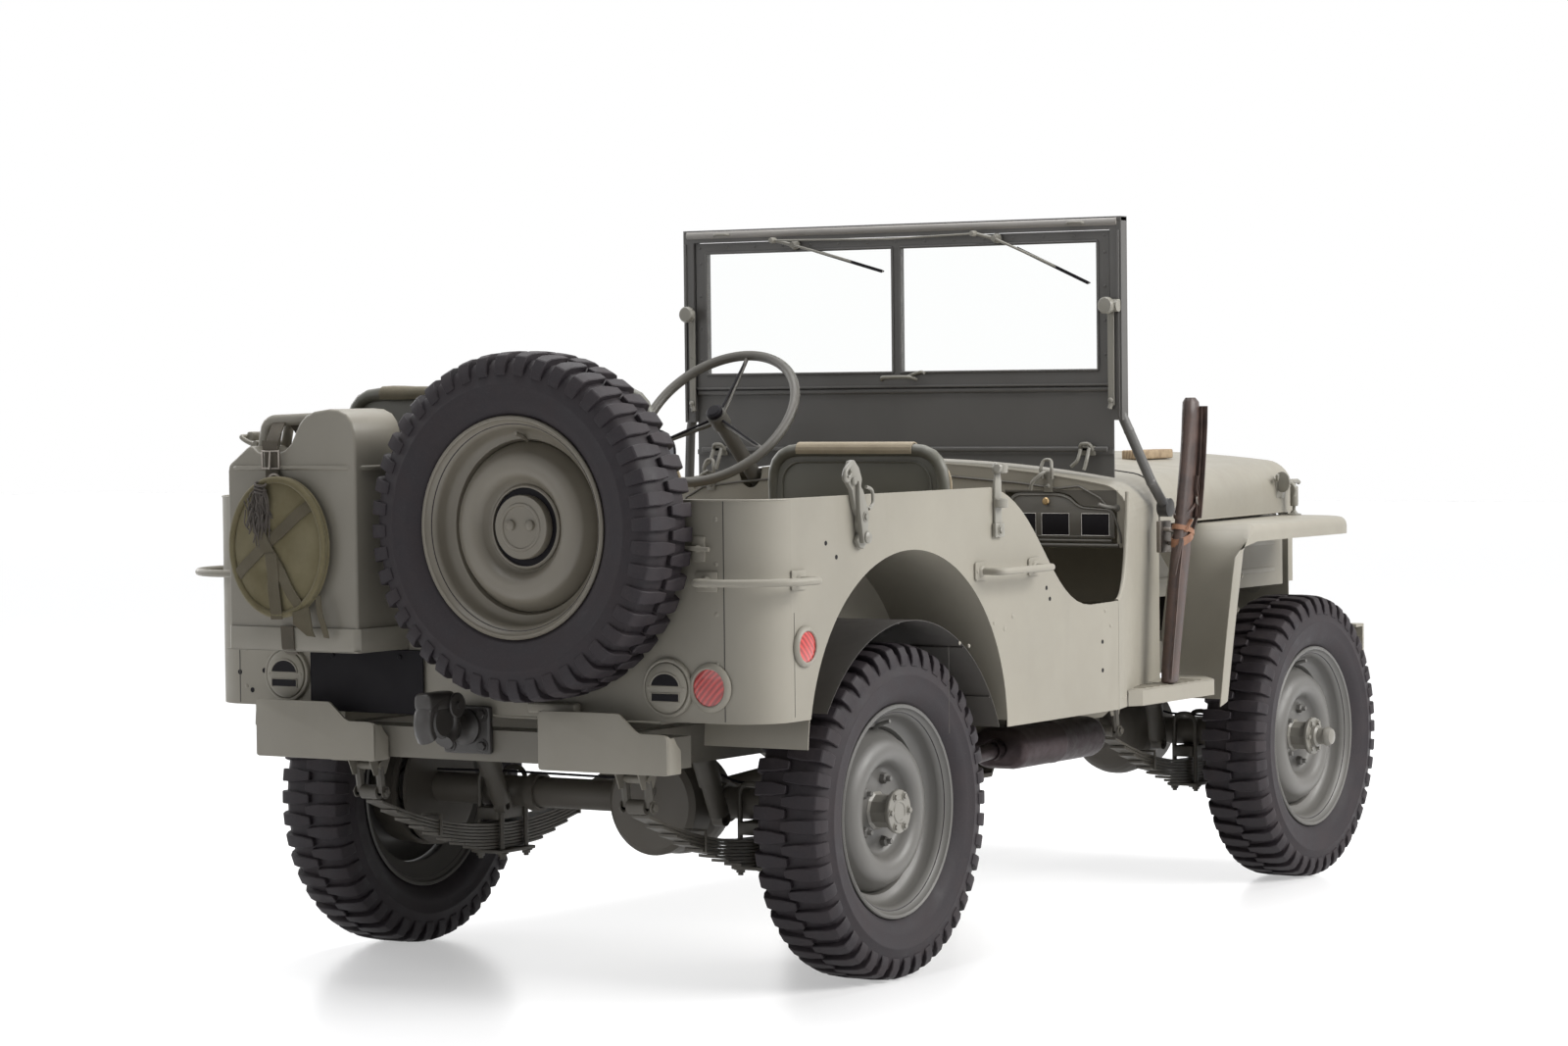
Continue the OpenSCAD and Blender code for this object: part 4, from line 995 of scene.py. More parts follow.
def strap_bow_bracket():
    strap = plate("strap",
                  lift([(0.347, 0.925), (0.377, 0.925), (0.376, 1.040), (0.372, 1.060), (0.352, 1.060),
                        (0.348, 1.040)], X0), "y", SIDE_Y + 0.007, 0.006, 0.0015, 2)
    low_pad = tub_block("pad", (0.342, SIDE_Y + 0.0006, 0.921), (0.382, SIDE_Y + 0.011, 0.952), 0.003, 2)
    bolt = hex_bolt("bolt", on_tub(0.362, SIDE_Y + 0.011, 0.9365), (0, 1, 0), 0.008, 0.0055)
    eye_path = [(0.0085, 0.0), (0.0150, 0.0), (0.0165, 0.002), (0.0165, 0.018), (0.0150, 0.020),
                (0.0085, 0.020)]
    eye = lathe("eye", eye_path, on_tub(0.362, SIDE_Y + 0.0115, 1.0605), (0, 0, 1), steps=24)
    low_eye = lathe("eye", eye_path, on_tub(0.362, SIDE_Y + 0.0115, 0.985), (0, 0, 1), steps=24)
    knob = lathe("knob", [(0, 0), (0.010, 0), (0.012, 0.004), (0.008, 0.009), (0, 0.010)],
                 on_tub(0.350, SIDE_Y + 0.012, 1.072), (-1, 0.3, 0), steps=16)
    return joined("strap_bow_bracket", [strap, low_pad, bolt, eye, low_eye, knob])

fit(both("cast_bow_brackets", [cast_bow_bracket()]), BRACKET_PAINT, "chassis",
    ["bow_brackets"])
fit(both("strap_bow_brackets", [strap_bow_bracket()]), BRACKET_PAINT)

# %% [markdown]
# The grab bars are bent from solid rod, welded to small pads with two bolts each.

# %% Grab bars
HANDLE_Z = 0.865
HANDLE_Y = 0.778

def corner_handle():
    corner = (REAR_PANEL + CORNER_R, SIDE_Y - CORNER_R)
    ring = HANDLE_Y - SIDE_Y + CORNER_R
    path = [(corner[0] + 0.022, SIDE_Y + 0.001, HANDLE_Z), (corner[0] + 0.022, corner[1] + ring, HANDLE_Z)]
    for i in range(0, 9):
        a = math.pi / 2 * (1 + i / 8)
        path.append((corner[0] + ring * math.cos(a), corner[1] + ring * math.sin(a), HANDLE_Z))
    path += [(corner[0] - ring, corner[1] - 0.036, HANDLE_Z),
             (REAR_PANEL - 0.001, corner[1] - 0.036, HANDLE_Z)]
    rod = tub_bar("rod", path, 0.008, 0.022, sides=4)
    parts = [rod]
    pads = ((corner[0] + 0.022, SIDE_Y + 0.0025, (0, 1, 0)),
            (REAR_PANEL - 0.0025, corner[1] - 0.036, (-1, 0, 0)))
    for x, y, out in pads:
        half = Vector((0.026, 0.0022, 0.020)) if out[1] else Vector((0.0022, 0.026, 0.020))
        at = on_tub(x, y, HANDLE_Z)
        parts.append(block("pad", at - half, at + half, 0.0015))
        for s in (-0.017, 0.017):
            offset = Vector((s, 0.002, -0.006)) if out[1] else Vector((-0.002, s, -0.006))
            parts.append(dome("bolt", at + offset, out, 0.006, 0.0035))
        parts.append(lathe("weld", [(0.0, 0), (0.0125, 0), (0.0105, 0.004), (0.008, 0.006), (0, 0.006)],
                           at + Vector(out) * 0.0018, out, steps=20))
    return joined("corner_handle", parts)

def seat_handle():
    z = 0.850
    ends = (0.290, 0.525)
    rod = tub_bar("rod", [(ends[0], SIDE_Y + 0.001, z), (ends[0], HANDLE_Y, z), (ends[1], HANDLE_Y, z),
                          (ends[1], SIDE_Y + 0.001, z)], 0.008, 0.020, sides=4)
    parts = [rod]
    for x in ends:
        outline = [(x - 0.026, z - 0.016), (x - 0.020, z - 0.020), (x + 0.020, z - 0.020),
                   (x + 0.026, z - 0.016), (x + 0.026, z + 0.016), (x + 0.020, z + 0.020),
                   (x - 0.020, z + 0.020), (x - 0.026, z + 0.016)]
        parts.append(plate("pad", lift(outline, X0), "y", SIDE_Y + 0.0045, 0.004, 0.001, 1))
        parts.append(lathe("weld", [(0.0, 0), (0.0135, 0), (0.011, 0.005), (0.008, 0.007), (0, 0.007)],
                           on_tub(x, SIDE_Y + 0.004, z), (0, 1, 0), steps=20))
        for s in (-0.018, 0.018):
            parts.append(dome("bolt", on_tub(x + s, SIDE_Y + 0.0045, z), (0, 1, 0), 0.005, 0.003))
    return joined("seat_handle", parts)

fit(both("corner_handles", [corner_handle()]), PAINT, "chassis", ["grab_handles"])
fit(both("seat_handles", [seat_handle()]), PAINT)
print("tub fittings done")

# %% [markdown]
# ## The rear: lamps, plate, hook and bumperettes
# Each rear lamp is a round black-out lamp: a cup with a raised rim, and a face with two
# slots under small hoods. Beside the right one sits a ribbed red reflector in a pressed ring.

# %% Rear lamps
def blackout_lamp(y):
    at = on_tub(REAR_PANEL - 0.0006, y, 0.650)
    cup = lathe("cup", [(0, 0), (0.060, 0), (0.060, 0.006), (0.0585, 0.0085), (0.0555, 0.0095),
                        (0.0530, 0.0085), (0.0515, 0.0055), (0, 0.0055)], at, (-1, 0, 0), steps=56)
    face = lathe("face", [(0, 0.005), (0.0505, 0.005), (0.0500, 0.0105), (0.046, 0.0125), (0.030, 0.0135),
                          (0, 0.0138)], at, (-1, 0, 0), steps=56)
    shade = []
    for k in range(13):
        t = math.pi * k / 12
        shade.append(at + Vector((-0.0142, 0.0350 * math.cos(t), 0.004 + 0.0270 * math.sin(t))))
    slot_rim = [at + Vector((-0.0142, dy, dz))
                for dy, dz in ((0.034, -0.010), (-0.034, -0.010), (-0.034, -0.027), (0.034, -0.027))]
    parts = [cup, face, bar("shade", shade, 0.0022, closed=True, sides=2),
             bar("slot_rim", slot_rim, 0.0018, closed=True, sides=2)]
    for dy in (-0.0425, 0.0425):
        parts.append(screw_head("screw", at + Vector((-0.0118, dy, 0)), (-1, 0, 0), 0.0042, 0.002))
    return joined("lamp", parts)

def lamp_slots(y):
    at = on_tub(REAR_PANEL - 0.0006, y, 0.650)
    window = [(at.y + 0.0340 * math.cos(math.pi * k / 12),
               at.z + 0.0045 + 0.0262 * math.sin(math.pi * k / 12)) for k in range(13)]
    upper = plate("window", window, "x", at.x - 0.0148, 0.0018, 0.0004, 1)
    lower = block("slot", at + Vector((-0.0148, -0.0330, -0.0262)),
                  at + Vector((-0.0130, 0.0330, -0.0108)), 0.0008, 1)
    return joined("slot", [upper, lower])

fit(both("rear_lamp_cups", [blackout_lamp(0.493)]), PAINT, "chassis", ["rear_lamps"])
fit(both("rear_lamp_slots", [lamp_slots(0.493)]), BLACK, "chassis")

# %% Reflectors
def reflector(name, at, direction, radius):
    ring_path = [
        (radius * 0.74, 0.001), (radius, 0.001), (radius, 0.0035), (radius * 0.96, 0.0060),
        (radius * 0.88, 0.0095),
        (radius * 0.80, 0.0105), (radius * 0.75, 0.0090), (radius * 0.74, 0.0060),
    ]
    lens_path = [(0, 0.001), (radius * 0.745, 0.001), (radius * 0.745, 0.0065), (radius * 0.5, 0.0085),
                 (0, 0.0092)]
    ring = lathe(name + "_ring", ring_path, at, direction, steps=48)
    lens = lathe(name + "_lens", lens_path, at, direction, steps=48)
    return ring, lens

rings, lenses = [], []
ring, lens_piece = reflector("rear", on_tub(REAR_PANEL, -0.594, 0.653), (-1, 0, 0), 0.050)
rings.append(ring)
lenses.append(lens_piece)
for side in (-1, 1):
    ring, lens_piece = reflector("side", on_tub(-0.420, side * SIDE_Y, 0.730), (0, side, 0), 0.042)
    rings.append(ring)
    lenses.append(lens_piece)
    for a in (math.radians(120), math.radians(240), math.radians(0)):
        at = on_tub(-0.420 + 0.0375 * math.cos(a), side * (SIDE_Y + 0.004), 0.730 + 0.0375 * math.sin(a))
        rings.append(screw_head("screw", at, (0, side, 0), 0.0034, 0.002))
fit(joined("reflector_rings", rings), PAINT, "chassis")
fit(joined("reflector_lenses", lenses), RED, "chassis")

# %% [markdown]
# The number plate is a blank black sheet with a rolled edge, on two bolts.

# %% Blank number plate
low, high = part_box("number_plate")
board_outline = [(low.y + 0.006, low.z), (high.y - 0.006, low.z), (high.y, low.z + 0.006),
                 (high.y, high.z - 0.006), (high.y - 0.006, high.z), (low.y + 0.006, high.z),
                 (low.y, high.z - 0.006), (low.y, low.z + 0.006)]
board = plate("blank_plate", board_outline, "x", low.x, 0.0026, 0.0006, 1)
rim = bar("plate_rim", [(low.x + 0.0008, y, z) for y, z in board_outline], 0.0016, closed=True)
holder = block("plate_holder", (low.x + 0.0028, low.y + 0.025, 0.640),
               (REAR_PANEL + X0, high.y - 0.025, 0.660), 0.001)
plate_bolts = [screw_head("plate_bolt", (low.x, y, 0.694), (-1, 0, 0), 0.006, 0.003)
               for y in (low.y + 0.06, high.y - 0.06)]
fit(joined("blank_number_plate", [board, rim, holder] + plate_bolts), BLACK, "chassis",
    ["number_plate"])

# %% [markdown]
# Each bumperette is one thick steel strap bent into a shallow box: a rear face with cut
# corners, and two arms that reach forward and dip in a curve to the frame's cross member.

# %% Bumperettes
def bumperette():
    y0, y1, z0, z1 = 0.212, 0.531, 0.478, 0.600
    face = [(y0, z0 + 0.004), (y0 + 0.006, z0), (y1 - 0.006, z0), (y1, z0 + 0.004), (y1, z0 + 0.074),
            (y1 - 0.006, z0 + 0.082), (y1 - 0.030, z0 + 0.083), (y1 - 0.066, z0 + 0.083),
            (y1 - 0.078, z0 + 0.088), (y1 - 0.116, z1 - 0.002), (y1 - 0.122, z1), (y0 + 0.012, z1),
            (y0 + 0.003, z1 - 0.004), (y0, z1 - 0.012)]
    parts = [plate("face", face, "x", X0 - 0.632, 0.007, 0.0022, 2)]
    for y, top in ((y0, z1), (y1 - 0.007, z0 + 0.081)):
        arm = [(-0.630, z0 + 0.001), (-0.581, z0 + 0.001), (-0.581, z0 + 0.048), (-0.594, z0 + 0.060),
               (-0.606, z0 + 0.076), (-0.616, top - 0.006), (-0.630, top)]
        parts.append(plate("arm", lift(arm, X0), "y", y + 0.007, 0.007, 0.0018, 2))
    for y in (y0 + 0.055, y1 - 0.075):
        parts.append(hex_bolt("bolt", on_tub(-0.625, y, z0 + 0.03), (1, 0, 0), 0.008, 0.006))
    base = tub_block("base", (-0.626, y0 + 0.004, z0), (-0.5765, y1 - 0.004, z0 + 0.007), 0.002)
    return joined("bumperette", parts + [base])

# One pattern serves both sides, so its low corner is at the right end of each.
MIDDLE_TO_MIDDLE = 0.212 + 0.531
right_bumperette = turned(bumperette(), MIRROR)
left_bumperette = turned(bumperette(), Matrix.Translation((0, MIDDLE_TO_MIDDLE, 0)) @ MIRROR)
fit(joined("bumperettes_bent", [left_bumperette, right_bumperette]), PAINT, "chassis",
    ["bumperettes"])

# %% [markdown]
# Between them sits a dark cast towing hook: a heavy back plate with four bolts, a round
# shank and a jaw that closes over with a spring latch.

# %% Towing hook
backing = tub_block("backing", (-0.592, -0.060, 0.500), (-0.5757, 0.060, 0.600), 0.006, 3)
neck = lathe("neck", [(0, 0), (0.038, 0), (0.038, 0.012), (0.030, 0.020), (0.026, 0.030), (0.026, 0.052),
                      (0, 0.052)], on_tub(-0.588, 0, 0.556), (-1, 0, 0), steps=28)
jaw_path = []
for i in range(15):
    a = math.radians(-62 + i * 22)
    jaw_path.append(on_tub(-0.690 + 0.046 * math.cos(a), 0, 0.572 + 0.046 * math.sin(a)))
jaw = bar("jaw", jaw_path[:14], 0.0190, sides=5)
for vertex in jaw.data.vertices:
    vertex.co.y *= 1.15
cheeks = []
for y in (-0.0225, 0.0225):
    cheek = lathe("cheek", [(0, -0.004), (0.024, -0.004), (0.026, -0.002), (0.026, 0.002), (0.024, 0.004),
                            (0, 0.004)], on_tub(-0.652, y, 0.606), (0, 1, 0), steps=28)
    cheeks.append(cheek)
latch = tub_block("latch", (-0.746, -0.021, 0.596), (-0.644, 0.021, 0.6355), 0.014, 4)
socket = lathe("socket", [(0, -0.017), (0.030, -0.017), (0.036, -0.012), (0.036, 0.012), (0.030, 0.017),
                          (0, 0.017)], on_tub(-0.686, 0, 0.574), (0, 1, 0), steps=28)
latch_pin = lathe("latch_pin", [(0, -0.032), (0.0075, -0.032), (0.0075, 0.032), (0, 0.032)],
                  on_tub(-0.652, 0, 0.606), (0, 1, 0), steps=16)
hook_bolts = [hex_bolt("hook_bolt", on_tub(-0.592, y, z), (-1, 0, 0), 0.010, 0.008)
              for y in (-0.042, 0.042) for z in (0.517, 0.583)]
hook = joined("towing_hook", [backing, neck, jaw, latch, socket, latch_pin] + cheeks + hook_bolts)
fit(hook, CAST_IRON, "chassis", ["tow_hook"])

# %% Rear panel latch and spare wheel carrier
spare = middle("spare_tyre")
post = lathe("spare_post", [(0, 0), (0.060, 0), (0.060, 0.004), (0.040, 0.010), (0.038, 0.040),
    (0.038, 0.086), (0, 0.086)], (REAR_PANEL + X0 - 0.002, spare.y, spare.z), (-1, 0, 0), steps=32)
flange = lathe("spare_flange", [(0.03, 0.058), (0.084, 0.058), (0.085, 0.060), (0.085, 0.078),
    (0.083, 0.081), (0.03, 0.081)], (REAR_PANEL + X0 - 0.002, spare.y, spare.z), (-1, 0, 0), steps=48)
backplate = block("spare_backplate", (X0 + REAR_PANEL - 0.004, spare.y - 0.090, 0.790),
                  (X0 + REAR_PANEL - 0.0004, spare.y + 0.090, 1.010), 0.002)
carrier_bolts = [
    hex_bolt("carrier_bolt", (X0 + REAR_PANEL - 0.004, spare.y + s * 0.070, z), (-1, 0, 0), 0.008, 0.006)
    for s in (-1, 1) for z in (0.812, 0.90, 0.988)
]
rest = block("spare_rest", (X0 + REAR_PANEL - 0.026, spare.y - 0.060, 0.590),
             (X0 + REAR_PANEL - 0.0004, spare.y + 0.060, 0.612), 0.005, 3)
tray_low, tray_high = (-0.737, 0.166, 0.712), (REAR_PANEL - 0.0006, 0.518, 0.762)
tray_path = [(tray_high[0], tray_high[1]), (tray_low[0] + 0.012, tray_high[1]),
             (tray_low[0], tray_high[1] - 0.012), (tray_low[0], tray_low[1] + 0.012),
             (tray_low[0] + 0.012, tray_low[1]), (tray_high[0], tray_low[1])]
inner = [(tray_high[0], tray_low[1] + 0.003), (tray_low[0] + 0.013, tray_low[1] + 0.003),
         (tray_low[0] + 0.003, tray_low[1] + 0.013), (tray_low[0] + 0.003, tray_high[1] - 0.013),
         (tray_low[0] + 0.013, tray_high[1] - 0.003), (tray_high[0], tray_high[1] - 0.003)]
band = plate("tray_band", lift(tray_path + inner, X0), "z", tray_low[2], 0.050, 0.0007, 1)
tray_floor = tub_block("tray_floor", tray_low, (tray_high[0], tray_high[1], tray_low[2] + 0.003), 0.001)
latch_arm = [
    tub_block("panel_latch", (REAR_PANEL - 0.006, -0.586, 0.905), (REAR_PANEL, -0.556, 0.955), 0.002),
    tub_bar("panel_latch_bar", [(REAR_PANEL - 0.010, -0.600, 0.930), (REAR_PANEL - 0.014, -0.560, 0.932),
                                (REAR_PANEL - 0.010, -0.524, 0.932)], 0.0048, 0.01),
    dome("panel_latch_pin", on_tub(REAR_PANEL - 0.006, -0.571, 0.931), (-1, 0, 0), 0.008, 0.009),
]
carriers = joined("rear_carriers_welded", [post, flange, backplate, rest, band,
                                           tray_floor] + carrier_bolts + latch_arm)
fit(carriers, PAINT, "chassis", ["rear_carriers"])
print("rear fittings done")

# %% [markdown]
# A loft joins several cross-sections. A ring is extruded once for each section, and then
# every ring is shaped. It makes the hood's shoulders, sheaths, flaps and folded canvas.

# %% Helper: a loft
def loft(name, rings, caps=True, degrees=45):
    count = len(rings[0])
    clear()
    bpy.ops.mesh.primitive_circle_add(vertices=count, radius=1, fill_type="NOTHING")
    piece = named(name)
    bpy.ops.object.mode_set(mode="EDIT")
    bpy.ops.mesh.select_all(action="SELECT")
    for _ in rings[1:]:
        bpy.ops.mesh.extrude_region_move(TRANSFORM_OT_translate={"value": (0, 0, 1)})
    bpy.ops.object.mode_set(mode="OBJECT")
    for vertex in piece.data.vertices:
        turn = math.atan2(vertex.co.y, vertex.co.x) - math.pi / 2
        vertex.co = rings[round(vertex.co.z)][round(turn / math.tau * count) % count]
    if caps:
        bpy.ops.object.mode_set(mode="EDIT")
        bpy.ops.mesh.select_all(action="SELECT")
        bpy.ops.mesh.fill_holes(sides=0)
        bpy.ops.object.mode_set(mode="OBJECT")
    outward(piece)
    return smooth(piece, degrees)

# %% [markdown]
# ## Hood
# The hood is one pressed sheet: a nearly flat crown, round shoulders and upright sides,
# narrower at the front. Its section is drawn as a thin loop and lofted between both ends.

# %% Hood sheet
CROWN_R = 3.720
HOOD_TOP = 1.070
SHOULDER = 0.080

def crown_z(y):
    return HOOD_TOP - CROWN_R + math.sqrt(CROWN_R ** 2 - y * y)

def half_section(width, low, inset):
    """Right half of the hood's section: up the side, round the shoulder, to the middle."""
    r = SHOULDER
    tilt = (width - r) / CROWN_R
    y_top = width - r + r * math.sin(tilt)
    centre = crown_z(y_top) - r * math.cos(tilt)
    points = [(width - inset, low), (width - inset, (low + centre) / 2)]
    for i in range(9):
        a = (math.pi / 2 - tilt) * i / 8
        points.append((width - r + (r - inset) * math.cos(a), centre + (r - inset) * math.sin(a)))
    for i in range(7, -1, -1):
        y = y_top * i / 8
        points.append((y, crown_z(y) - inset))
    return points

def sheet_ring(x, width, low, thick=0.0025):
    outer, inner = half_section(width, low, 0.0), half_section(width, low, thick)
    loop = outer + [(-y, z) for y, z in reversed(outer[:-1])]
    back = inner + [(-y, z) for y, z in reversed(inner[:-1])]
    return [on_tub(x, y, z) for y, z in loop] + [on_tub(x, y, z) for y, z in reversed(back)]

HOOD_BACK, HOOD_FRONT = 1.391, 2.324
HALF_BACK, HALF_FRONT = 0.590, 0.495

def hood_side_y(x):
    """Half width of the hood, narrower towards the front."""
    return HALF_BACK + (HALF_FRONT - HALF_BACK) * (x - HOOD_BACK) / (HOOD_FRONT - HOOD_BACK)

rings = []
for i in range(9):
    t = i / 8
    x = HOOD_BACK + (HOOD_FRONT - HOOD_BACK) * t
    rings.append(sheet_ring(x, hood_side_y(x), 0.912))
hood_sheet = loft("hood_sheet", rings)
fit(hood_sheet, PAINT, "hood", ["hood"])

# %% Hood fittings
hood_bits, wood_blocks = [], []
for y in (-0.300, 0.300):
    wood_blocks.append(tub_block("bump_block", (1.790, y - 0.0245, 1.058), (1.980, y + 0.0245, 1.0815),
                                 0.004, 3))
    for x in (1.83, 1.94):
        hood_bits.append(dome("block_bolt", on_tub(x, y, 1.0812), (0, 0, 1), 0.008, 0.0007))
for y in (-0.180, 0.180):
    hood_bits.append(tub_block("hinge_leaf", (1.392, y - 0.030, 1.060), (1.430, y + 0.030, 1.0695), 0.003,
                               2))
    knuckle = [(0, -0.030), (0.009, -0.030), (0.009, -0.0105), (0.0075, -0.010), (0.009, -0.0095),
               (0.009, 0.0095), (0.0075, 0.010), (0.009, 0.0105), (0.009, 0.030), (0, 0.030)]
    hood_bits.append(lathe("hinge_knuckle", knuckle, on_tub(1.386, y, 1.080), (0, 1, 0), steps=20))
    hood_bits.append(tub_block("hinge_web", (1.388, y - 0.028, 1.064), (1.398, y + 0.028, 1.080), 0.002))
side_edge = [on_tub(x, hood_side_y(x), 0.9135) for x in (1.40, 2.318)]
hood_bits.append(both("hood_hem", [bar("hem", side_edge, 0.0024)]))
fit(joined("hood_fittings", hood_bits), PAINT, "hood")
fit(joined("hood_wood_blocks", wood_blocks), WOOD, "hood")

# %% [markdown]
# On each side near the front a spring catch holds the hood: a hooked bracket with a thumb
# lever on the hood, and a T-handled post that stands on the fender.

# %% Hood catches
y = hood_side_y(2.225)
catch_bits = [
    tub_block("catch_plate", (2.200, y - 0.001, 0.950), (2.250, y + 0.0035, 1.005), 0.002),
    tub_bar("catch_hook", [(2.228, y + 0.003, 0.985), (2.232, y + 0.030, 0.990),
                           (2.236, y + 0.040, 0.975), (2.238, y + 0.034, 0.955)], 0.0055, 0.01),
    lathe("catch_wing", [(0, -0.003), (0.026, -0.0022), (0.027, 0), (0.026, 0.0022), (0, 0.003)],
          on_tub(2.205, y + 0.018, 0.992), (1, 0.3, 0), steps=28),
    tub_bar("catch_lever", [(2.190, y + 0.004, 1.000), (2.176, y + 0.018, 0.996),
                            (2.172, y + 0.020, 1.012)], 0.0048, 0.008),
]
fit(both("hood_catches", catch_bits), BRACKET_PAINT, "hood")
post_bits = [
    lathe("post_foot", [(0, 0), (0.019, 0), (0.019, 0.003), (0.010, 0.005), (0.006, 0.012), (0, 0.012)],
          on_tub(2.262, 0.528, 0.905), (0, 0, 1), steps=24),
    tub_bar("post_rod", [(2.262, 0.528, 0.905), (2.262, 0.530, 0.992)], 0.0042),
    lathe("post_spring", [(0, 0), (0.0095, 0), (0.0105, 0.004), (0.0105, 0.048), (0.0095, 0.052),
                          (0, 0.052)], on_tub(2.262, 0.529, 0.928), (0, 0, 1), steps=20),
    tub_bar("post_handle", [(2.236, 0.530, 0.988), (2.244, 0.530, 0.993), (2.280, 0.530, 0.993),
                            (2.288, 0.530, 0.988)], 0.0058, 0.006),
]
fit(both("hood_posts", post_bits), BRACKET_PAINT)

# %% [markdown]
# ## Fenders and steps
# A front fender is a flat shelf with a rolled outer edge that turns down into a sloping
# apron and ends at the step. Its outline is a path of cross-sections along the car.

# %% Fenders
FENDER_Z = 0.905

def fender_ring(x, z, lean, outer, inner_y, drop):
    """Section of the fender at one station; lean tips it from shelf (0) to apron (1)."""
    r = 0.022
    path = [(inner_y, 0.0), ((inner_y + outer) / 2, 0.0), (outer - r, 0.0)]
    path += [(outer - r + r * math.sin(a), -r + r * math.cos(a))
             for a in (math.radians(d) for d in (22, 45, 67, 90))]
    path.append((outer, -drop))
    back = [(outer - 0.0025, -drop)]
    inner_r = r - 0.0025
    back += [(outer - r + inner_r * math.sin(a), -r + inner_r * math.cos(a))
             for a in (math.radians(d) for d in (90, 67, 45, 22))]
    back += [(outer - r, -0.0025), ((inner_y + outer) / 2, -0.0025), (inner_y, -0.0025)]
    down = Vector((math.sin(lean), 0, math.cos(lean)))
    return [on_tub(x, y, z) + down * h for y, h in path + back]

LEAN = math.atan2(FENDER_Z - 0.499, 1.600 - 1.493)
stations = [(1.4945, 0.488, LEAN, 0.058), (1.530, 0.637, LEAN, 0.062), (1.572, 0.797, LEAN, 0.064),
            (1.585, 0.846, LEAN * 0.97, 0.062)]
for i in range(1, 6):
    t = i / 5
    bend = LEAN * (1 - t)
    stations.append((1.585 + 0.060 * (1 - (1 - t) ** 1.6), 0.846 + 0.059 * (1 - (1 - t) ** 2.6), bend,
                     0.060 - 0.017 * t))
stations += [(1.76, FENDER_Z, 0, 0.042), (1.95, FENDER_Z, 0, 0.042), (2.13, FENDER_Z, 0, 0.042)]
fender_rings = [fender_ring(x, z, lean, SIDE_Y, 0.562 if z < 0.60 else 0.482 if z > 0.80 else 0.520, drop)
                for x, z, lean, drop in stations]
for i in range(1, 7):
    a = math.pi / 2 * i / 6
    y = SIDE_Y - 0.145 * (1 - math.cos(a))
    fender_rings.append(fender_ring(2.13 + 0.145 * math.sin(a), FENDER_Z, 0, y, 0.482, 0.042))
fender = loft("fender", fender_rings)
gusset = plate("gusset", lift([(1.612, 0.832), (1.700, 0.902), (1.640, 0.902), (1.604, 0.870)], X0), "y",
               SIDE_Y - 0.030, 0.0025)
splash = tub_block("splash", (1.392, 0.478, 0.725), (2.290, 0.4805, FENDER_Z - 0.0026), 0.0)
splash_beads = [tub_block("splash_bead", (1.45, 0.4805, z), (2.24, 0.4835, z + 0.012), 0.0025)
                for z in (0.76, 0.83)]
apron_bolts = [dome("apron_bolt", on_tub(x, SIDE_Y - 0.03, z), (1, 0, -0.25), 0.009, 0.009)
               for x, z in ((1.606, 0.78), (1.585, 0.70))]
step_low, step_high = 0.505, 0.543
step_top = [(1.012, 0.700), (1.040, SIDE_Y), (1.405, SIDE_Y), (1.420, SIDE_Y - 0.012), (1.487, 0.660),
            (1.487, 0.592), (1.385, 0.592)]
step = plate("step", lift(step_top, X0), "z", step_high - 0.004, 0.004, 0.0015)
lip = tub_bar("step_lip",
              [(x, y, step_high - 0.013)
               for x, y in ((1.016, 0.698), (1.040, SIDE_Y - 0.003), (1.404, SIDE_Y - 0.003))], 0.0028)
skirt = plate("step_skirt", [(1.040 + X0, SIDE_Y - 0.003), (1.407 + X0, SIDE_Y - 0.003),
    (1.407 + X0, SIDE_Y), (1.040 + X0, SIDE_Y)], "z", step_low, step_high - step_low - 0.002)
front_skirt = plate("step_skirt", [(1.010 + X0, 0.702), (1.040 + X0, SIDE_Y),
    (1.043 + X0, SIDE_Y - 0.001), (1.013 + X0, 0.700)], "z", step_low, step_high - step_low - 0.002)
step_ribs = [tub_block("step_rib", (x, 0.655, step_high - 0.0005), (x + 0.006, 0.712, step_high + 0.0018),
                       0.001) for x in [1.08 + 0.035 * i for i in range(9)]]
fender_parts = [fender, gusset, splash, step, lip, skirt,
                front_skirt] + splash_beads + apron_bolts + step_ribs
fit(both("front_fenders_pressed", fender_parts), PAINT, "chassis", ["front_fenders"])

# %% [markdown]
# ## Windshield
# The windshield is a hoop of square tube with a glazed frame inside it. Its back shows all
# the fittings: channel beads, arms with knobs at both sides, two hand-moved wipers joined
# by a rod, a handle, two clamps and loops for the canvas top.

# %% Windshield: beads, screws, frame edges
SHIELD_X, SHIELD_TOP = 1.165, 1.643
BACK = SHIELD_X - 0.015

def on_shield(y, z, out=0.0):
    """Point on the rear face of the glazed frame, out towards the driver."""
    return on_tub(SHIELD_X - 0.009 - out, y, z)

shield_bits = []
for y0, y1, z in ((-0.553, -0.011, 1.283), (0.011, 0.553, 1.283), (-0.553, -0.011, 1.586),
                  (0.011, 0.553, 1.586)):
    shield_bits.append(bar("bead", [on_shield(y0, z, 0.001), on_shield(y1, z, 0.001)], 0.0034))
for y in (-0.553, -0.011, 0.011, 0.553):
    shield_bits.append(bar("bead", [on_shield(y, 1.283, 0.001), on_shield(y, 1.586, 0.001)], 0.0034))
for y in [-0.57 + 0.0816 * i for i in range(15)]:
    shield_bits.append(screw_head("screw", on_shield(y, 1.600), (-1, 0, 0), 0.0036, 0.0016))
for z in (1.32, 1.40, 1.48, 1.56):
    for y in (-0.571, 0.571):
        shield_bits.append(screw_head("screw", on_shield(y, z), (-1, 0, 0), 0.0036, 0.0016))
panel_x = SHIELD_X - 0.002
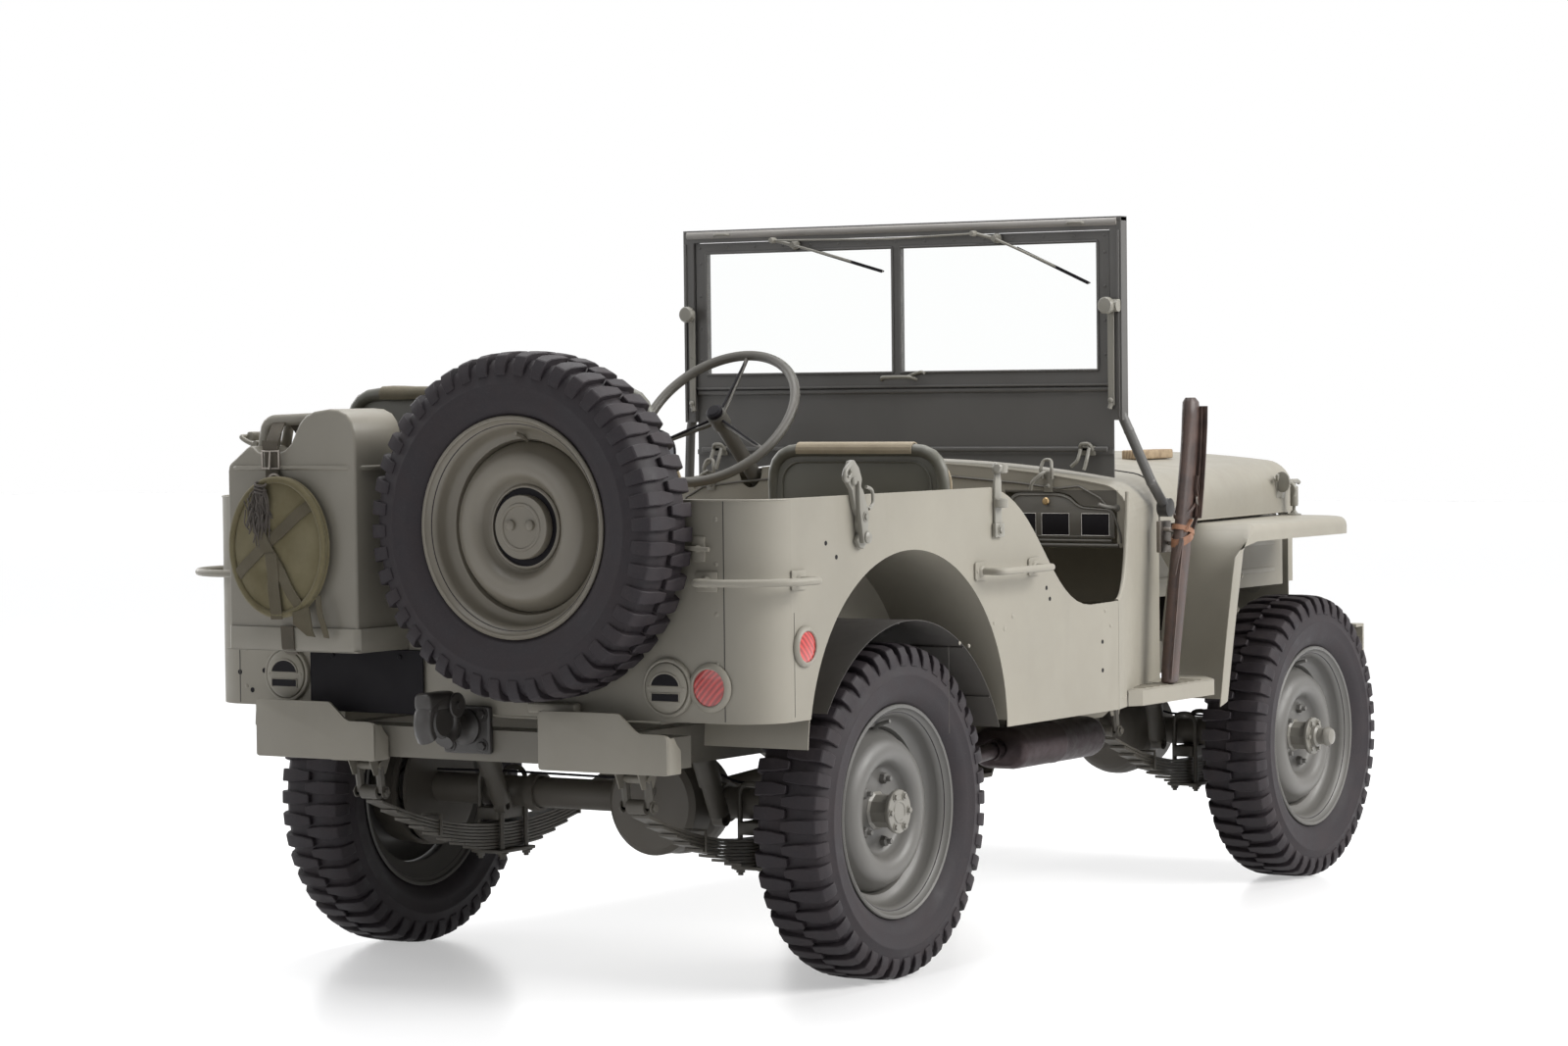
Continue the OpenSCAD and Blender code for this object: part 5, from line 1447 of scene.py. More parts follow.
for z, reach in ((1.232, 0.585), (1.090, 0.575)):
    shield_bits.append(tub_block("panel_bead", (panel_x - 0.008, -reach, z),
                                 (panel_x + 0.001, reach, z + 0.013), 0.0036, 3))
shield_bits.append(tub_block("panel_flange", (panel_x - 0.012, -0.586, 1.246), (panel_x, 0.586, 1.252),
                             0.0015))
for y in (-0.612, 0.612):
    shield_bits.append(tub_block("tube_cap", (SHIELD_X - 0.0155, y - 0.006, SHIELD_TOP - 0.012),
                                 (SHIELD_X + 0.0155, y + 0.006, SHIELD_TOP + 0.000), 0.002))
    shield_bits.append(tub_block("tube_lip", (BACK - 0.004, y - 0.0035 if y > 0 else y - 0.0015, 1.17),
                                 (BACK + 0.001, y + 0.0015 if y > 0 else y + 0.0035, 1.61), 0.001))
top_tube = tub_bar("top_tube", [(BACK + 0.0050, -0.607, SHIELD_TOP - 0.0120),
                                (BACK + 0.0050, 0.607, SHIELD_TOP - 0.0120)], 0.0105, sides=5)
# The top tube gets the lighter copy of the windshield's paint, painted light; the beads get the darkened
# copy, painted shade.
fit(joined("windshield_top_tube", [top_tube]), TOP_LIT_PAINT, "windshield")
fit(joined("windshield_beads", shield_bits), SHIELD_SHADE_PAINT, "windshield")

# The frame takes the darkened windshield enamel, a painted shade of its rear faces.
coat(bpy.data.objects["windshield_frame"], SHIELD_SHADE_PAINT)
coat(bpy.data.objects["frame_rails"], RAIL_PAINT)

# %% Windshield: loops, arms and knobs, clamps, handle
hardware = []
for y in (-0.50, 0.50):
    top = SHIELD_TOP - 0.008
    hardware.append(tub_block("loop_base", (BACK - 0.003, y - 0.032, top - 0.012), (BACK, y + 0.032, top),
                              0.001))
    hardware.append(tub_bar("loop", [(BACK - 0.002, y - 0.022, top - 0.006),
                                     (BACK - 0.012, y - 0.018, top - 0.004),
                                     (BACK - 0.012, y + 0.018, top - 0.004),
                                     (BACK - 0.002, y + 0.022, top - 0.006)], 0.0035, 0.006))
for s in (-1, 1):
    y = s * 0.592
    arm = plate("arm", [(y - 0.008, 1.20), (y + 0.008, 1.20), (y + 0.009, 1.44), (y, 1.452),
                        (y - 0.009, 1.44)], "x", X0 + BACK - 0.006, 0.0035, 0.0008, 1)
    slot = tub_block("slot", (BACK - 0.0066, y - 0.0022, 1.225), (BACK - 0.0055, y + 0.0022, 1.405), 0.0)
    knob = lathe("knob", [(0, 0), (0.008, 0), (0.008, 0.008), (0.0185, 0.011), (0.0200, 0.016),
                          (0.0200, 0.026), (0.0170, 0.030), (0, 0.031)], on_tub(BACK - 0.006, y, 1.434),
                 (-1, 0, 0), steps=22)
    collar = lathe("collar", [(0, -0.012), (0.015, -0.012), (0.015, 0.012), (0, 0.012)],
                   on_tub(BACK - 0.010, y + s * 0.012, 1.434), (0, 1, 0), steps=18)
    foot = tub_bar("foot", [(BACK - 0.004, y, 1.205), (BACK - 0.006, y - s * 0.004, 1.192)], 0.006)
    pivot_bolt = dome("pivot_bolt", on_tub(BACK - 0.0095, y, 1.212), (-1, 0, 0), 0.007, 0.004)
    hardware += [arm, slot, knob, collar, foot, pivot_bolt]
    yc = s * 0.520
    clamp_loop = tub_bar("clamp_loop", [(panel_x - 0.008, yc - 0.016, 1.094),
                                        (panel_x - 0.016, yc - 0.012, 1.110),
                                        (panel_x - 0.018, yc + 0.012, 1.110),
                                        (panel_x - 0.008, yc + 0.016, 1.094)], 0.0046, 0.010)
    clamp_base = tub_block("clamp_base", (panel_x - 0.008, yc - 0.022, 1.082),
                           (panel_x - 0.001, yc + 0.022, 1.104), 0.002)
    clamp_bar = tub_bar("clamp_bar", [(panel_x - 0.014, yc - 0.010, 1.100),
        (panel_x - 0.030, yc - 0.012, 1.072), (panel_x - 0.034, yc - 0.006, 1.048)], 0.0046, 0.008)
    clamp_lever = tub_bar("clamp_lever", [(panel_x - 0.020, yc + 0.010, 1.096),
        (panel_x - 0.030, yc + 0.012, 1.070), (panel_x - 0.030, yc + 0.030, 1.056)], 0.0046, 0.008)
    hardware += [clamp_loop, clamp_base, clamp_bar, clamp_lever]
handle_bar = bar("handle", [on_shield(-0.055, 1.266, 0.0), on_shield(-0.045, 1.272, 0.016),
                            on_shield(0.035, 1.272, 0.016), on_shield(0.045, 1.266, 0.0)], 0.0042, 0.012)
latch = bar("latch", [on_shield(-0.035, 1.275, 0.004), on_shield(-0.075, 1.285, 0.012),
                      on_shield(-0.085, 1.281, 0.014)], 0.0036, 0.01)
hardware += [handle_bar, latch]
fit(joined("windshield_hardware", hardware), BRACKET_PAINT, "windshield")

# %% Wipers
wiper_bits, blades = [], []
for pivot_y, tip_y, tip_z in ((0.285, 0.030, 1.529), (-0.285, -0.537, 1.488)):
    pivot = on_shield(pivot_y, 1.600, 0.004)
    tip = on_shield(tip_y, tip_z, 0.016)
    wiper_bits.append(lathe("wiper_pivot", [(0, 0), (0.012, 0), (0.012, 0.006), (0.007, 0.009),
                                            (0.007, 0.022), (0, 0.023)], pivot, (-1, 0, 0), steps=18))
    lever_end = on_shield(pivot_y + 0.052, 1.612, 0.020)
    wiper_bits.append(bar("wiper_lever", [pivot + Vector((-0.016, 0, 0)), lever_end], 0.0045))
    wiper_bits.append(lathe("wiper_grip", [(0, 0), (0.007, 0), (0.0075, 0.010), (0.006, 0.020),
                                           (0, 0.021)], lever_end, (-1, 0, 0), steps=14))
    wiper_bits.append(bar("wiper_arm", [pivot + Vector((-0.018, 0, 0)),
        pivot.lerp(tip, 0.5) + Vector((-0.010, 0, 0.002)), tip.lerp(pivot, 0.35)], 0.0032, 0.02))
    start = pivot.lerp(tip, 0.22)
    along = (tip - start).normalized()
    across = along.cross(Vector((1, 0, 0))).normalized()
    spine = bar("spine", [start, tip], 0.0030)
    rubber_blade = loft("blade", [
        [p + across * a + Vector((b, 0, 0))
         for a, b in ((0.004, -0.003), (-0.004, -0.003), (-0.0012, 0.009), (0.0012, 0.009))]
        for p in (start, tip)
    ])
    wiper_bits.append(spine)
    blades.append(rubber_blade)
link = bar("wiper_link", [on_shield(0.337, 1.612, 0.030), on_shield(0.0, 1.606, 0.030),
                          on_shield(-0.233, 1.612, 0.030)], 0.0024)
fit(joined("wipers", wiper_bits + [link]), BRACKET_PAINT, "windshield")
fit(joined("wiper_blades", blades), BLACK, "windshield")

# %% [markdown]
# A strip of webbing is riveted along the cowl's edge; it is black, which also paints the shade of the gap
# that the hood leaves there.

# %% Webbing strip under the hood's rear edge
path_points = half_section(0.5900, 0.93, 0.0005)
edge_path = [on_tub(1.3875, y, z) for y, z in path_points]
edge_path += [on_tub(1.3875, -y, z) for y, z in reversed(path_points[:-1])]
fit(bar("cowl_webbing_gap_shade", edge_path, 0.0032), BLACK, "chassis")
print("front done")

# %% [markdown]
# ## Fuel can
# The can is a pressed steel box with generously rounded upright edges. Its top is stepped: a
# low sloping shoulder with the cap, a dip under the carrying bars, and a high rounded hump.

# %% Fuel can: body
CAN_Y, CAN_Z = 0.342, 0.717
can_front, can_back = -0.7320, -0.5740

def can_outline():
    """Outline of the can's broad face, (y, z), with rounded corners."""
    left, right = CAN_Y + 0.1715, CAN_Y - 0.1715
    path = [(right + 0.010, CAN_Z), (left - 0.010, CAN_Z), (left, CAN_Z + 0.010), (left, 1.088),
            (left - 0.003, 1.102), (0.462, 1.137), (0.452, 1.142), (0.444, 1.139), (0.432, 1.128),
            (0.415, 1.124), (0.380, 1.126), (0.358, 1.132), (0.342, 1.146), (0.330, 1.168),
            (0.318, 1.188), (0.302, 1.203), (0.280, 1.212), (0.240, 1.217), (0.214, 1.215),
            (0.193, 1.206), (0.180, 1.190), (0.1735, 1.170), (right, 1.145), (right, CAN_Z + 0.010)]
    return path

can = plate("can", can_outline(), "x", can_front + X0, can_back - can_front, 0.034, 6)
def can_loop(out):
    """The can's section a little larger than it is, with round corners."""
    loop = []
    for cx, cy, first in ((can_back - 0.036, CAN_Y + 0.1355, 0), (can_front + 0.036, CAN_Y + 0.1355, 90),
                          (can_front + 0.036, CAN_Y - 0.1355, 180), (can_back - 0.036, CAN_Y - 0.1355, 270)):
        for k in range(7):
            a = math.radians(first + 15 * k)
            loop.append((cx + (0.036 + out) * math.cos(a), cy + (0.036 + out) * math.sin(a)))
    return loop

seam_band = tub_bar("can_seam", [(x, y, 1.095) for x, y in can_loop(0.0010)], 0.0050, closed=True)
bars3 = []
for x in (-0.690, -0.653, -0.616):
    bars3.append(tub_bar("can_handle", [(x, 0.452, 1.128), (x, 0.440, 1.184), (x, 0.424, 1.194),
                                        (x, 0.330, 1.197), (x, 0.286, 1.199)], 0.0115, 0.022, sides=4))
cap = lathe("can_cap", [(0, 0), (0.028, 0), (0.030, 0.003), (0.030, 0.016), (0.024, 0.022),
                        (0.010, 0.025), (0, 0.025)], on_tub(-0.653, 0.484, 1.118), (0, 0.55, 0.83), steps=28)
neck_ring = lathe("can_neck", [(0, -0.012), (0.033, -0.012), (0.033, 0.002), (0, 0.002)],
                  on_tub(-0.653, 0.484, 1.118), (0, 0.55, 0.83), steps=28)
lever = [
    tub_bar("cap_lever", [(-0.686, 0.472, 1.140), (-0.690, 0.500, 1.152), (-0.690, 0.512, 1.160),
                          (-0.616, 0.512, 1.160),
                          (-0.616, 0.500, 1.152), (-0.620, 0.472, 1.140)], 0.0050, 0.01),
    tub_block("cap_clip", (-0.670, 0.495, 1.150), (-0.636, 0.512, 1.170), 0.004),
    lathe("cap_pin", [(0, -0.040), (0.006, -0.040), (0.006, 0.040), (0, 0.040)],
          on_tub(-0.653, 0.470, 1.146), (1, 0, 0), steps=14),
]
fit(joined("fuel_can", [can, seam_band, cap, neck_ring] + bars3 + lever), CAN_PAINT, "chassis",
    ["jerrycan"])

# %% [markdown]
# ## Folding canvas bucket
# The bucket is folded flat: two round sheets of canvas sewn to a rope rim, with webbing
# strips crossed over the face. Its cloth sags in soft folds, so the face is a dense disc
# pushed about by smooth waves before it gets its thickness.

# %% Canvas bucket
BUCKET = on_tub(-0.7390, 0.358, 0.930)
BUCKET_R = 0.141
BUCKET_W = 0.122

def fold(y, z):
    """How far the cloth stands off at a point, from a few smooth waves."""
    r = math.hypot(y / BUCKET_W, z / BUCKET_R)
    calm = max(0.0, 1 - r ** 4)
    waves = 0.5 * math.sin(34 * y + 21 * z) + 0.35 * math.sin(58 * y - 27 * z + 1.3)
    waves += 0.25 * math.sin(11 * y - 83 * z + 0.6)
    return calm * (0.010 + 0.0050 * waves)

def cloth_disc(name, lift_off, thickness):
    clear()
    bpy.ops.mesh.primitive_grid_add(x_subdivisions=60, y_subdivisions=60, size=2)
    disc = named(name)
    for vertex in disc.data.vertices:
        u, v = vertex.co.x, vertex.co.y
        y = u * math.sqrt(1 - v * v / 2) * BUCKET_W
        z = v * math.sqrt(1 - u * u / 2) * BUCKET_R
        vertex.co = BUCKET + Vector((-lift_off - fold(y, z), y, z))
    modify(disc, "SOLIDIFY", thickness=thickness, offset=1.0)
    return smooth(outward(disc), 60)

disc = cloth_disc("bucket_back", 0.0090, 0.004)
cloth = cloth_disc("bucket_cloth", 0.0175, 0.0016)
rope = bar("bucket_rope", [BUCKET + Vector((-0.020, BUCKET_W * math.cos(a), BUCKET_R * math.sin(a)))
                           for a in (math.tau * i / 72 for i in range(72))], 0.0075, closed=True, sides=3)
rope_back = bar("bucket_rope", [BUCKET + Vector((-0.008, BUCKET_W * math.cos(a), BUCKET_R * math.sin(a)))
    for a in (math.tau * i / 72 for i in range(72))], 0.0065, closed=True, sides=3)
stitches = []
for i in range(72):
    a = math.tau * (i + 0.5) / 72
    knot = BUCKET + Vector((-0.0272, BUCKET_W * math.cos(a), BUCKET_R * math.sin(a)))
    stitches.append(block("stitch", knot - Vector((0.0008, 0.0016, 0.0016)),
                          knot + Vector((0.0008, 0.0016, 0.0016)), 0.0))
fit(joined("canvas_bucket_face", [disc, rope, rope_back] + stitches), BUCKET_CLOTH, "chassis",
    ["canvas_bucket"])
fit(cloth, BUCKET_CLOTH, "chassis")

def ribbon(name, path, width, thick=0.0022, across=None):
    """A webbing strip along a path of points; across is its width direction."""
    path = [Vector(p) for p in path]
    rings = []
    for i, point in enumerate(path):
        along = (path[min(i + 1, len(path) - 1)] - path[max(i - 1, 0)]).normalized()
        side = along.cross(Vector((1, 0, 0))) if across is None else Vector(across)
        side = side.normalized()
        lift_dir = side.cross(along).normalized()
        rings.append([point + side * a * width / 2 + lift_dir * b * thick / 2
                      for a, b in ((-1, -1), (1, -1), (1, 1), (-1, 1))])
    return loft(name, rings)

def over_face(y0, z0, y1, z1, steps=14, off=0.0030):
    """Path over the folded face, from one point of it to another."""
    path = []
    for i in range(steps + 1):
        y, z = y0 + (y1 - y0) * i / steps, z0 + (z1 - z0) * i / steps
        path.append(BUCKET + Vector((-0.0185 - fold(y, z) - off, y, z)))
    return path

strips = [
    ribbon("bucket_strip", over_face(-0.088, 0.088, 0.104, -0.058), 0.024),
    ribbon("bucket_strip", over_face(0.052, 0.060, -0.058, -0.118, off=0.0052), 0.024),
    ribbon("bucket_strip", over_face(0.004, -0.012, 0.000, -0.150, off=0.0072), 0.030),
]
flap = loft("bucket_flap", [
    [BUCKET + Vector(p) for p in ((-0.030, -0.045, -0.134), (-0.030, -0.088, -0.122),
                                  (-0.026, -0.088, -0.122), (-0.026, -0.045, -0.134))],
    [BUCKET + Vector(p) for p in ((-0.036, -0.052, -0.158), (-0.032, -0.098, -0.172),
                                  (-0.028, -0.098, -0.172), (-0.032, -0.052, -0.158))],
    [BUCKET + Vector(p) for p in ((-0.034, -0.086, -0.182), (-0.032, -0.106, -0.184),
                                  (-0.029, -0.106, -0.184), (-0.031, -0.086, -0.182))],
])
tail = ribbon("bucket_tail",
              [BUCKET + Vector(p) for p in ((-0.022, -0.108, -0.100), (-0.030, -0.118, -0.135),
                                            (-0.024, -0.126, -0.170), (-0.016, -0.124, -0.186))], 0.014)
tab = ribbon("bucket_tab",
             [BUCKET + Vector((-0.012, BUCKET_W * 1.02 * math.cos(a), BUCKET_R * 1.02 * math.sin(a)))
              for a in (math.radians(d) for d in (68, 76, 84, 92))], 0.026, across=(1, 0, 0))
fit(joined("bucket_webbing", strips + [flap, tail, tab]), BUCKET_TRIM, "chassis")

# %% Can strap with its buckle, and the tied rope
strap_path = [on_tub(*p)
              for p in ((-0.600, 0.405, 1.150), (-0.640, 0.405, 1.190), (-0.660, 0.402, 1.198),
                        (-0.700, 0.398, 1.188), (-0.722, 0.394, 1.160), (-0.736, 0.390, 1.140),
                        (-0.7385, 0.388, 1.115), (-0.7390, 0.386, 1.085), (-0.742, 0.384, 1.070))]
can_strap = ribbon("can_strap", strap_path, 0.034, 0.0030, across=(0.05, 1, 0))
low_strap = ribbon("can_strap",
                   [on_tub(*p) for p in ((-0.7395, 0.352, 0.765), (-0.7400, 0.350, 0.740),
                                         (-0.7395, 0.349, 0.718), (-0.725, 0.348, 0.706))], 0.034, 0.0030,
                   across=(0.05, 1, 0))
keeper = ribbon("can_strap",
                [on_tub(*p) for p in ((-0.7425, 0.388, 1.152), (-0.7440, 0.387, 1.142),
                                      (-0.7425, 0.386, 1.132))], 0.040, 0.0030, across=(0, 1, 0))
fit(joined("can_straps", [can_strap, low_strap, keeper]), STRAP_CLOTH, "chassis")
buckle_at = on_tub(-0.7440, 0.385, 1.112)
buckle = bar("buckle",
             [buckle_at + Vector(p)
              for p in ((0, -0.022, 0.018), (0, 0.022, 0.018), (0, 0.022, -0.018), (0, -0.022, -0.018))],
             0.0030, closed=True)
tongue = bar("buckle_tongue", [buckle_at + Vector((-0.002, 0.0, 0.018)),
                               buckle_at + Vector((-0.0045, 0.001, -0.020))], 0.0024)
ring = lathe("strap_ring", [(0.0125, -0.0022), (0.0165, -0.0022), (0.0165, 0.0022), (0.0125, 0.0022)],
             on_tub(-0.7480, 0.372, 1.068), (1, 0.2, 0.1), steps=20)
hook_wire = tub_bar("strap_hook", [(-0.744, 0.384, 1.080), (-0.750, 0.382, 1.066), (-0.752, 0.376, 1.054),
                                   (-0.750, 0.368, 1.060)], 0.0042, 0.006)
fit(joined("strap_buckle", [buckle, tongue, ring, hook_wire]), DARK_STEEL, "chassis")

# A frayed bundle of thin cord, many loose loops tied under the buckle
dice = random.Random(44)
cords = []
top = BUCKET + Vector((-0.032, 0.034, 0.122))
for i in range(46):
    spread = dice.uniform(-1, 1)
    length = dice.uniform(0.045, 0.118)
    start = top + Vector((dice.uniform(-0.004, 0.004), dice.uniform(-0.012, 0.012),
                          dice.uniform(-0.010, 0.010)))
    points = [start]
    drift = dice.uniform(-0.012, 0.012)
    for k in range(1, 6):
        t = k / 5
        points.append(start + Vector((
            -0.006 * math.sin(t * 3.0) + dice.uniform(-0.002, 0.002),
            spread * 0.026 * t + drift * math.sin(t * 4) + dice.uniform(-0.003, 0.003),
            -length * t)))
    if i % 3 == 0:
        points += [points[-1] + Vector((-0.003, 0.006, 0.012)), points[-3] + Vector((-0.004, 0.008, 0.004))]
    cords.append(bar("cord", points, 0.0014 if i % 4 else 0.0022, 0.010, sides=1))
for z in (0.010, 0.0, -0.010):
    cords.append(bar("cord_turn",
                     [top + Vector((0.010 * math.cos(a), 0.013 * math.sin(a),
                                    z + 0.004 * math.sin(a + z * 90)))
                      for a in (math.tau * i / 12 for i in range(12))], 0.0024, closed=True,
                     sides=1))
bundle = fit(joined("frayed_cord", cords), CORD, "chassis")
fall = [top + Vector((-0.004 - 0.006 * math.sin(k * 0.35), 0.004 * math.sin(k * 0.9), -0.0125 * k))
        for k in range(11)]
loose_end = fit(bar("loose_cord", fall, 0.0016, 0.010, sides=2), CORD, "chassis")
reach = sum((b - a).length for a, b in zip(fall, fall[1:]))

# %% [markdown]
# ## Scabbard
# A stitched leather scabbard stands empty beside the windshield, on the step. It is two thick
# sheets with a rounded section, wider at the top, where the mouth folds open; tan straps are
# wound and knotted round its middle.

# %% Leather scabbard
def sheath_ring(x, y, z, half_x, half_y, turn=0.0, count=16, pinch=0.0):
    ring = []
    for i in range(count):
        a = math.tau * i / count
        u = half_x * math.copysign(abs(math.cos(a)) ** 0.8, math.cos(a))
        v = half_y * math.copysign(abs(math.sin(a)) ** 0.8, math.sin(a)) * (1 - pinch * math.cos(a))
        ring.append(on_tub(x + u * math.cos(turn) - v * math.sin(turn),
                           y + u * math.sin(turn) + v * math.cos(turn), z))
    return ring

sheath = loft("sheath", [
    sheath_ring(1.2130, -0.705, 0.546, 0.022, 0.0130),
    sheath_ring(1.2135, -0.705, 0.550, 0.0270, 0.0165),
    sheath_ring(1.2230, -0.705, 0.600, 0.0290, 0.0165, pinch=0.2),
    sheath_ring(1.2400, -0.705, 0.680, 0.0310, 0.0170, 0.03, pinch=0.2),
    sheath_ring(1.2580, -0.705, 0.770, 0.0340, 0.0175, 0.05, pinch=0.15),
    sheath_ring(1.2740, -0.705, 0.845, 0.0370, 0.0180, 0.08, pinch=0.1),
    sheath_ring(1.2830, -0.705, 0.885, 0.0340, 0.0165, 0.10),
    sheath_ring(1.2930, -0.705, 0.930, 0.0350, 0.0170, 0.12),
    sheath_ring(1.3060, -0.705, 1.000, 0.0360, 0.0175, 0.14),
    sheath_ring(1.3180, -0.705, 1.070, 0.0330, 0.0180, 0.14, pinch=-0.1),
    sheath_ring(1.3270, -0.705, 1.130, 0.0310, 0.0185, 0.12, pinch=-0.1),
    sheath_ring(1.3330, -0.705, 1.175, 0.0300, 0.0190, 0.10),
    sheath_ring(1.3320, -0.705, 1.205, 0.0270, 0.0170, 0.10),
    sheath_ring(1.3300, -0.705, 1.2155, 0.0170, 0.0100, 0.10),
])
welt = ribbon("welt",
              [on_tub(x - 0.001, y, z)
               for x, y, z in ((1.190, -0.7215, 0.555), (1.199, -0.7225, 0.62), (1.214, -0.7230, 0.70),
                   (1.232, -0.7235, 0.80), (1.250, -0.7240, 0.88))], 0.005, 0.003, across=(1, 0, 0))
mouth = loft("mouth", [
    sheath_ring(1.3560, -0.7100, 1.020, 0.0080, 0.0090),
    sheath_ring(1.3600, -0.7100, 1.060, 0.0120, 0.0120),
    sheath_ring(1.3640, -0.7100, 1.120, 0.0130, 0.0130),
    sheath_ring(1.3660, -0.7100, 1.160, 0.0140, 0.0140),
    sheath_ring(1.3665, -0.7100, 1.1680, 0.0150, 0.0145),
    sheath_ring(1.3665, -0.7100, 1.1680, 0.0115, 0.0110),
    sheath_ring(1.3650, -0.7100, 1.120, 0.0100, 0.0100),
])
fit(joined("leather_scabbard", [sheath, welt, mouth]), LEATHER, "chassis", ["scabbard"])

def band_round(z, low_x, half_x, half_y, tilt, width=0.018, thick=0.003):
    """A strap wound once round the sheath at a height."""
    path = []
    for i in range(25):
        a = math.tau * i / 24
        path.append(on_tub(low_x + half_x * math.cos(a), -0.705 + half_y * math.sin(a),
                           z + tilt * math.cos(a)))
    return ribbon("wound_strap", path, width, thick, across=(0.1, 0, 1))

straps = [
    band_round(0.886, 1.283, 0.0375, 0.0205, 0.014, 0.020),
    band_round(0.903, 1.287, 0.0380, 0.0210, -0.010, 0.012),
    ribbon("strap_end", [on_tub(*p)
                         for p in ((1.262, -0.7235, 0.900), (1.272, -0.7265, 0.915),
                                   (1.288, -0.7265, 0.928))], 0.010, 0.0028),
]
lace = [
    band_round(0.955, 1.297, 0.0385, 0.0210, 0.022, 0.009),
    ribbon("strap_tail", [on_tub(*p)
                          for p in ((1.250, -0.720, 0.884), (1.236, -0.722, 0.860),
                                    (1.220, -0.722, 0.832), (1.210, -0.720, 0.800))], 0.009, 0.0026),
    ribbon("lace", [on_tub(*p)
                    for p in ((1.298, -0.7250, 0.905), (1.316, -0.7265, 0.935), (1.322, -0.7260, 0.970),
                              (1.310, -0.7265, 1.000), (1.318, -0.7265, 1.030))], 0.009, 0.0030),
    ribbon("fold", [on_tub(x, -0.7262, z)
                    for x, z in ((1.318, 0.930), (1.332, 1.000), (1.344, 1.080), (1.352, 1.150),
                                 (1.354, 1.195))], 0.024, 0.0034),
    ribbon("fold_edge", [on_tub(x, -0.7282, z)
                         for x, z in ((1.308, 0.935), (1.321, 1.000), (1.333, 1.080), (1.341, 1.150),
                                      (1.343, 1.195))], 0.004, 0.0030),
]
fit(joined("scabbard_lacing", lace), DARK_LEATHER, "chassis")
fit(joined("scabbard_straps", straps), STRAP, "chassis")
strap_irons = [
    lathe("strap_loop", [(0.0100, -0.002), (0.0135, -0.002), (0.0135, 0.002), (0.0100, 0.002)],
          on_tub(1.322, -0.7270, 0.972), (0.3, -1, 0.1), steps=20),
    tub_bar("bracket_arm", [(1.262, -0.662, 0.905), (1.262, -0.684, 0.905), (1.268, -0.690, 0.900)],
            0.0060, 0.006),
    tub_bar("bracket_arm", [(1.285, -0.655, 0.870), (1.285, -0.684, 0.872), (1.290, -0.690, 0.880)],
            0.0050, 0.006),
    tub_block("bracket_plate", (1.245, -0.668, 0.850), (1.300, -0.655, 0.925), 0.003),
]
fit(joined("scabbard_irons", strap_irons), DARK_STEEL, "chassis")
print("can, bucket and scabbard done")

# %% [markdown]
# ## Seats
# Each front seat is one bent steel tube with a pressed back panel. Their thick canvas pads are
# crowned closed forms. They are blown up a little by the cloth simulation, each point held to
# a small travel, and then smoothed once.

# %% Helper: a stuffed pad
def pad(piece, voxel, travel, rest, material, body, body_nodes=()):
    """rest(point) is true where the pad lies on its frame and keeps still."""
    modify(piece, "REMESH", mode="VOXEL", voxel_size=voxel)
    start = [vertex.co.copy() for vertex in piece.data.vertices]
    scene = bpy.context.scene
    scene.frame_set(1)
    cloth = piece.modifiers.new("pressure", "CLOTH")
    cloth.settings.use_pressure = True
    cloth.settings.uniform_pressure_force = 4
    cloth.settings.effector_weights.gravity = 0
    cloth.point_cache.frame_end = 20
    for frame in range(1, 21):
        scene.frame_set(frame)
    clear()
    piece.select_set(True)
    bpy.context.view_layer.objects.active = piece
    bpy.ops.object.modifier_apply(modifier="pressure")
    scene.frame_set(1)
    for vertex, place in zip(piece.data.vertices, start):
        moved = vertex.co - place
        limit = 0.0 if rest(place) else travel
        if moved.length > limit:
            vertex.co = place + moved * (limit / moved.length)
    modify(piece, "SUBSURF", levels=1, render_levels=1)
    smooth(outward(piece), 180)
    fit(piece, material, body, body_nodes)
    return len(piece.data.polygons)

def round_rect(half, low, high, top_r, low_r=0.03, middle_y=0.0):
    """(y, z) outline with round corners, larger ones at the top."""
    points = []
    for cy, cz, r, first in ((half - top_r, high - top_r, top_r, 0),
                             (-half + top_r, high - top_r, top_r, 90),
                             (-half + low_r, low + low_r, low_r, 180),
                             (half - low_r, low + low_r, low_r, 270)):
        for k in range(7):
            a = math.radians(first + 15 * k)
            points.append((middle_y + cy + r * math.cos(a), cz + r * math.sin(a)))
    return points

# %% Front seats
SEAT_X, SEAT_Y, SEAT_HALF, SEAT_TOP = 0.405, 0.360, 0.220, 1.110

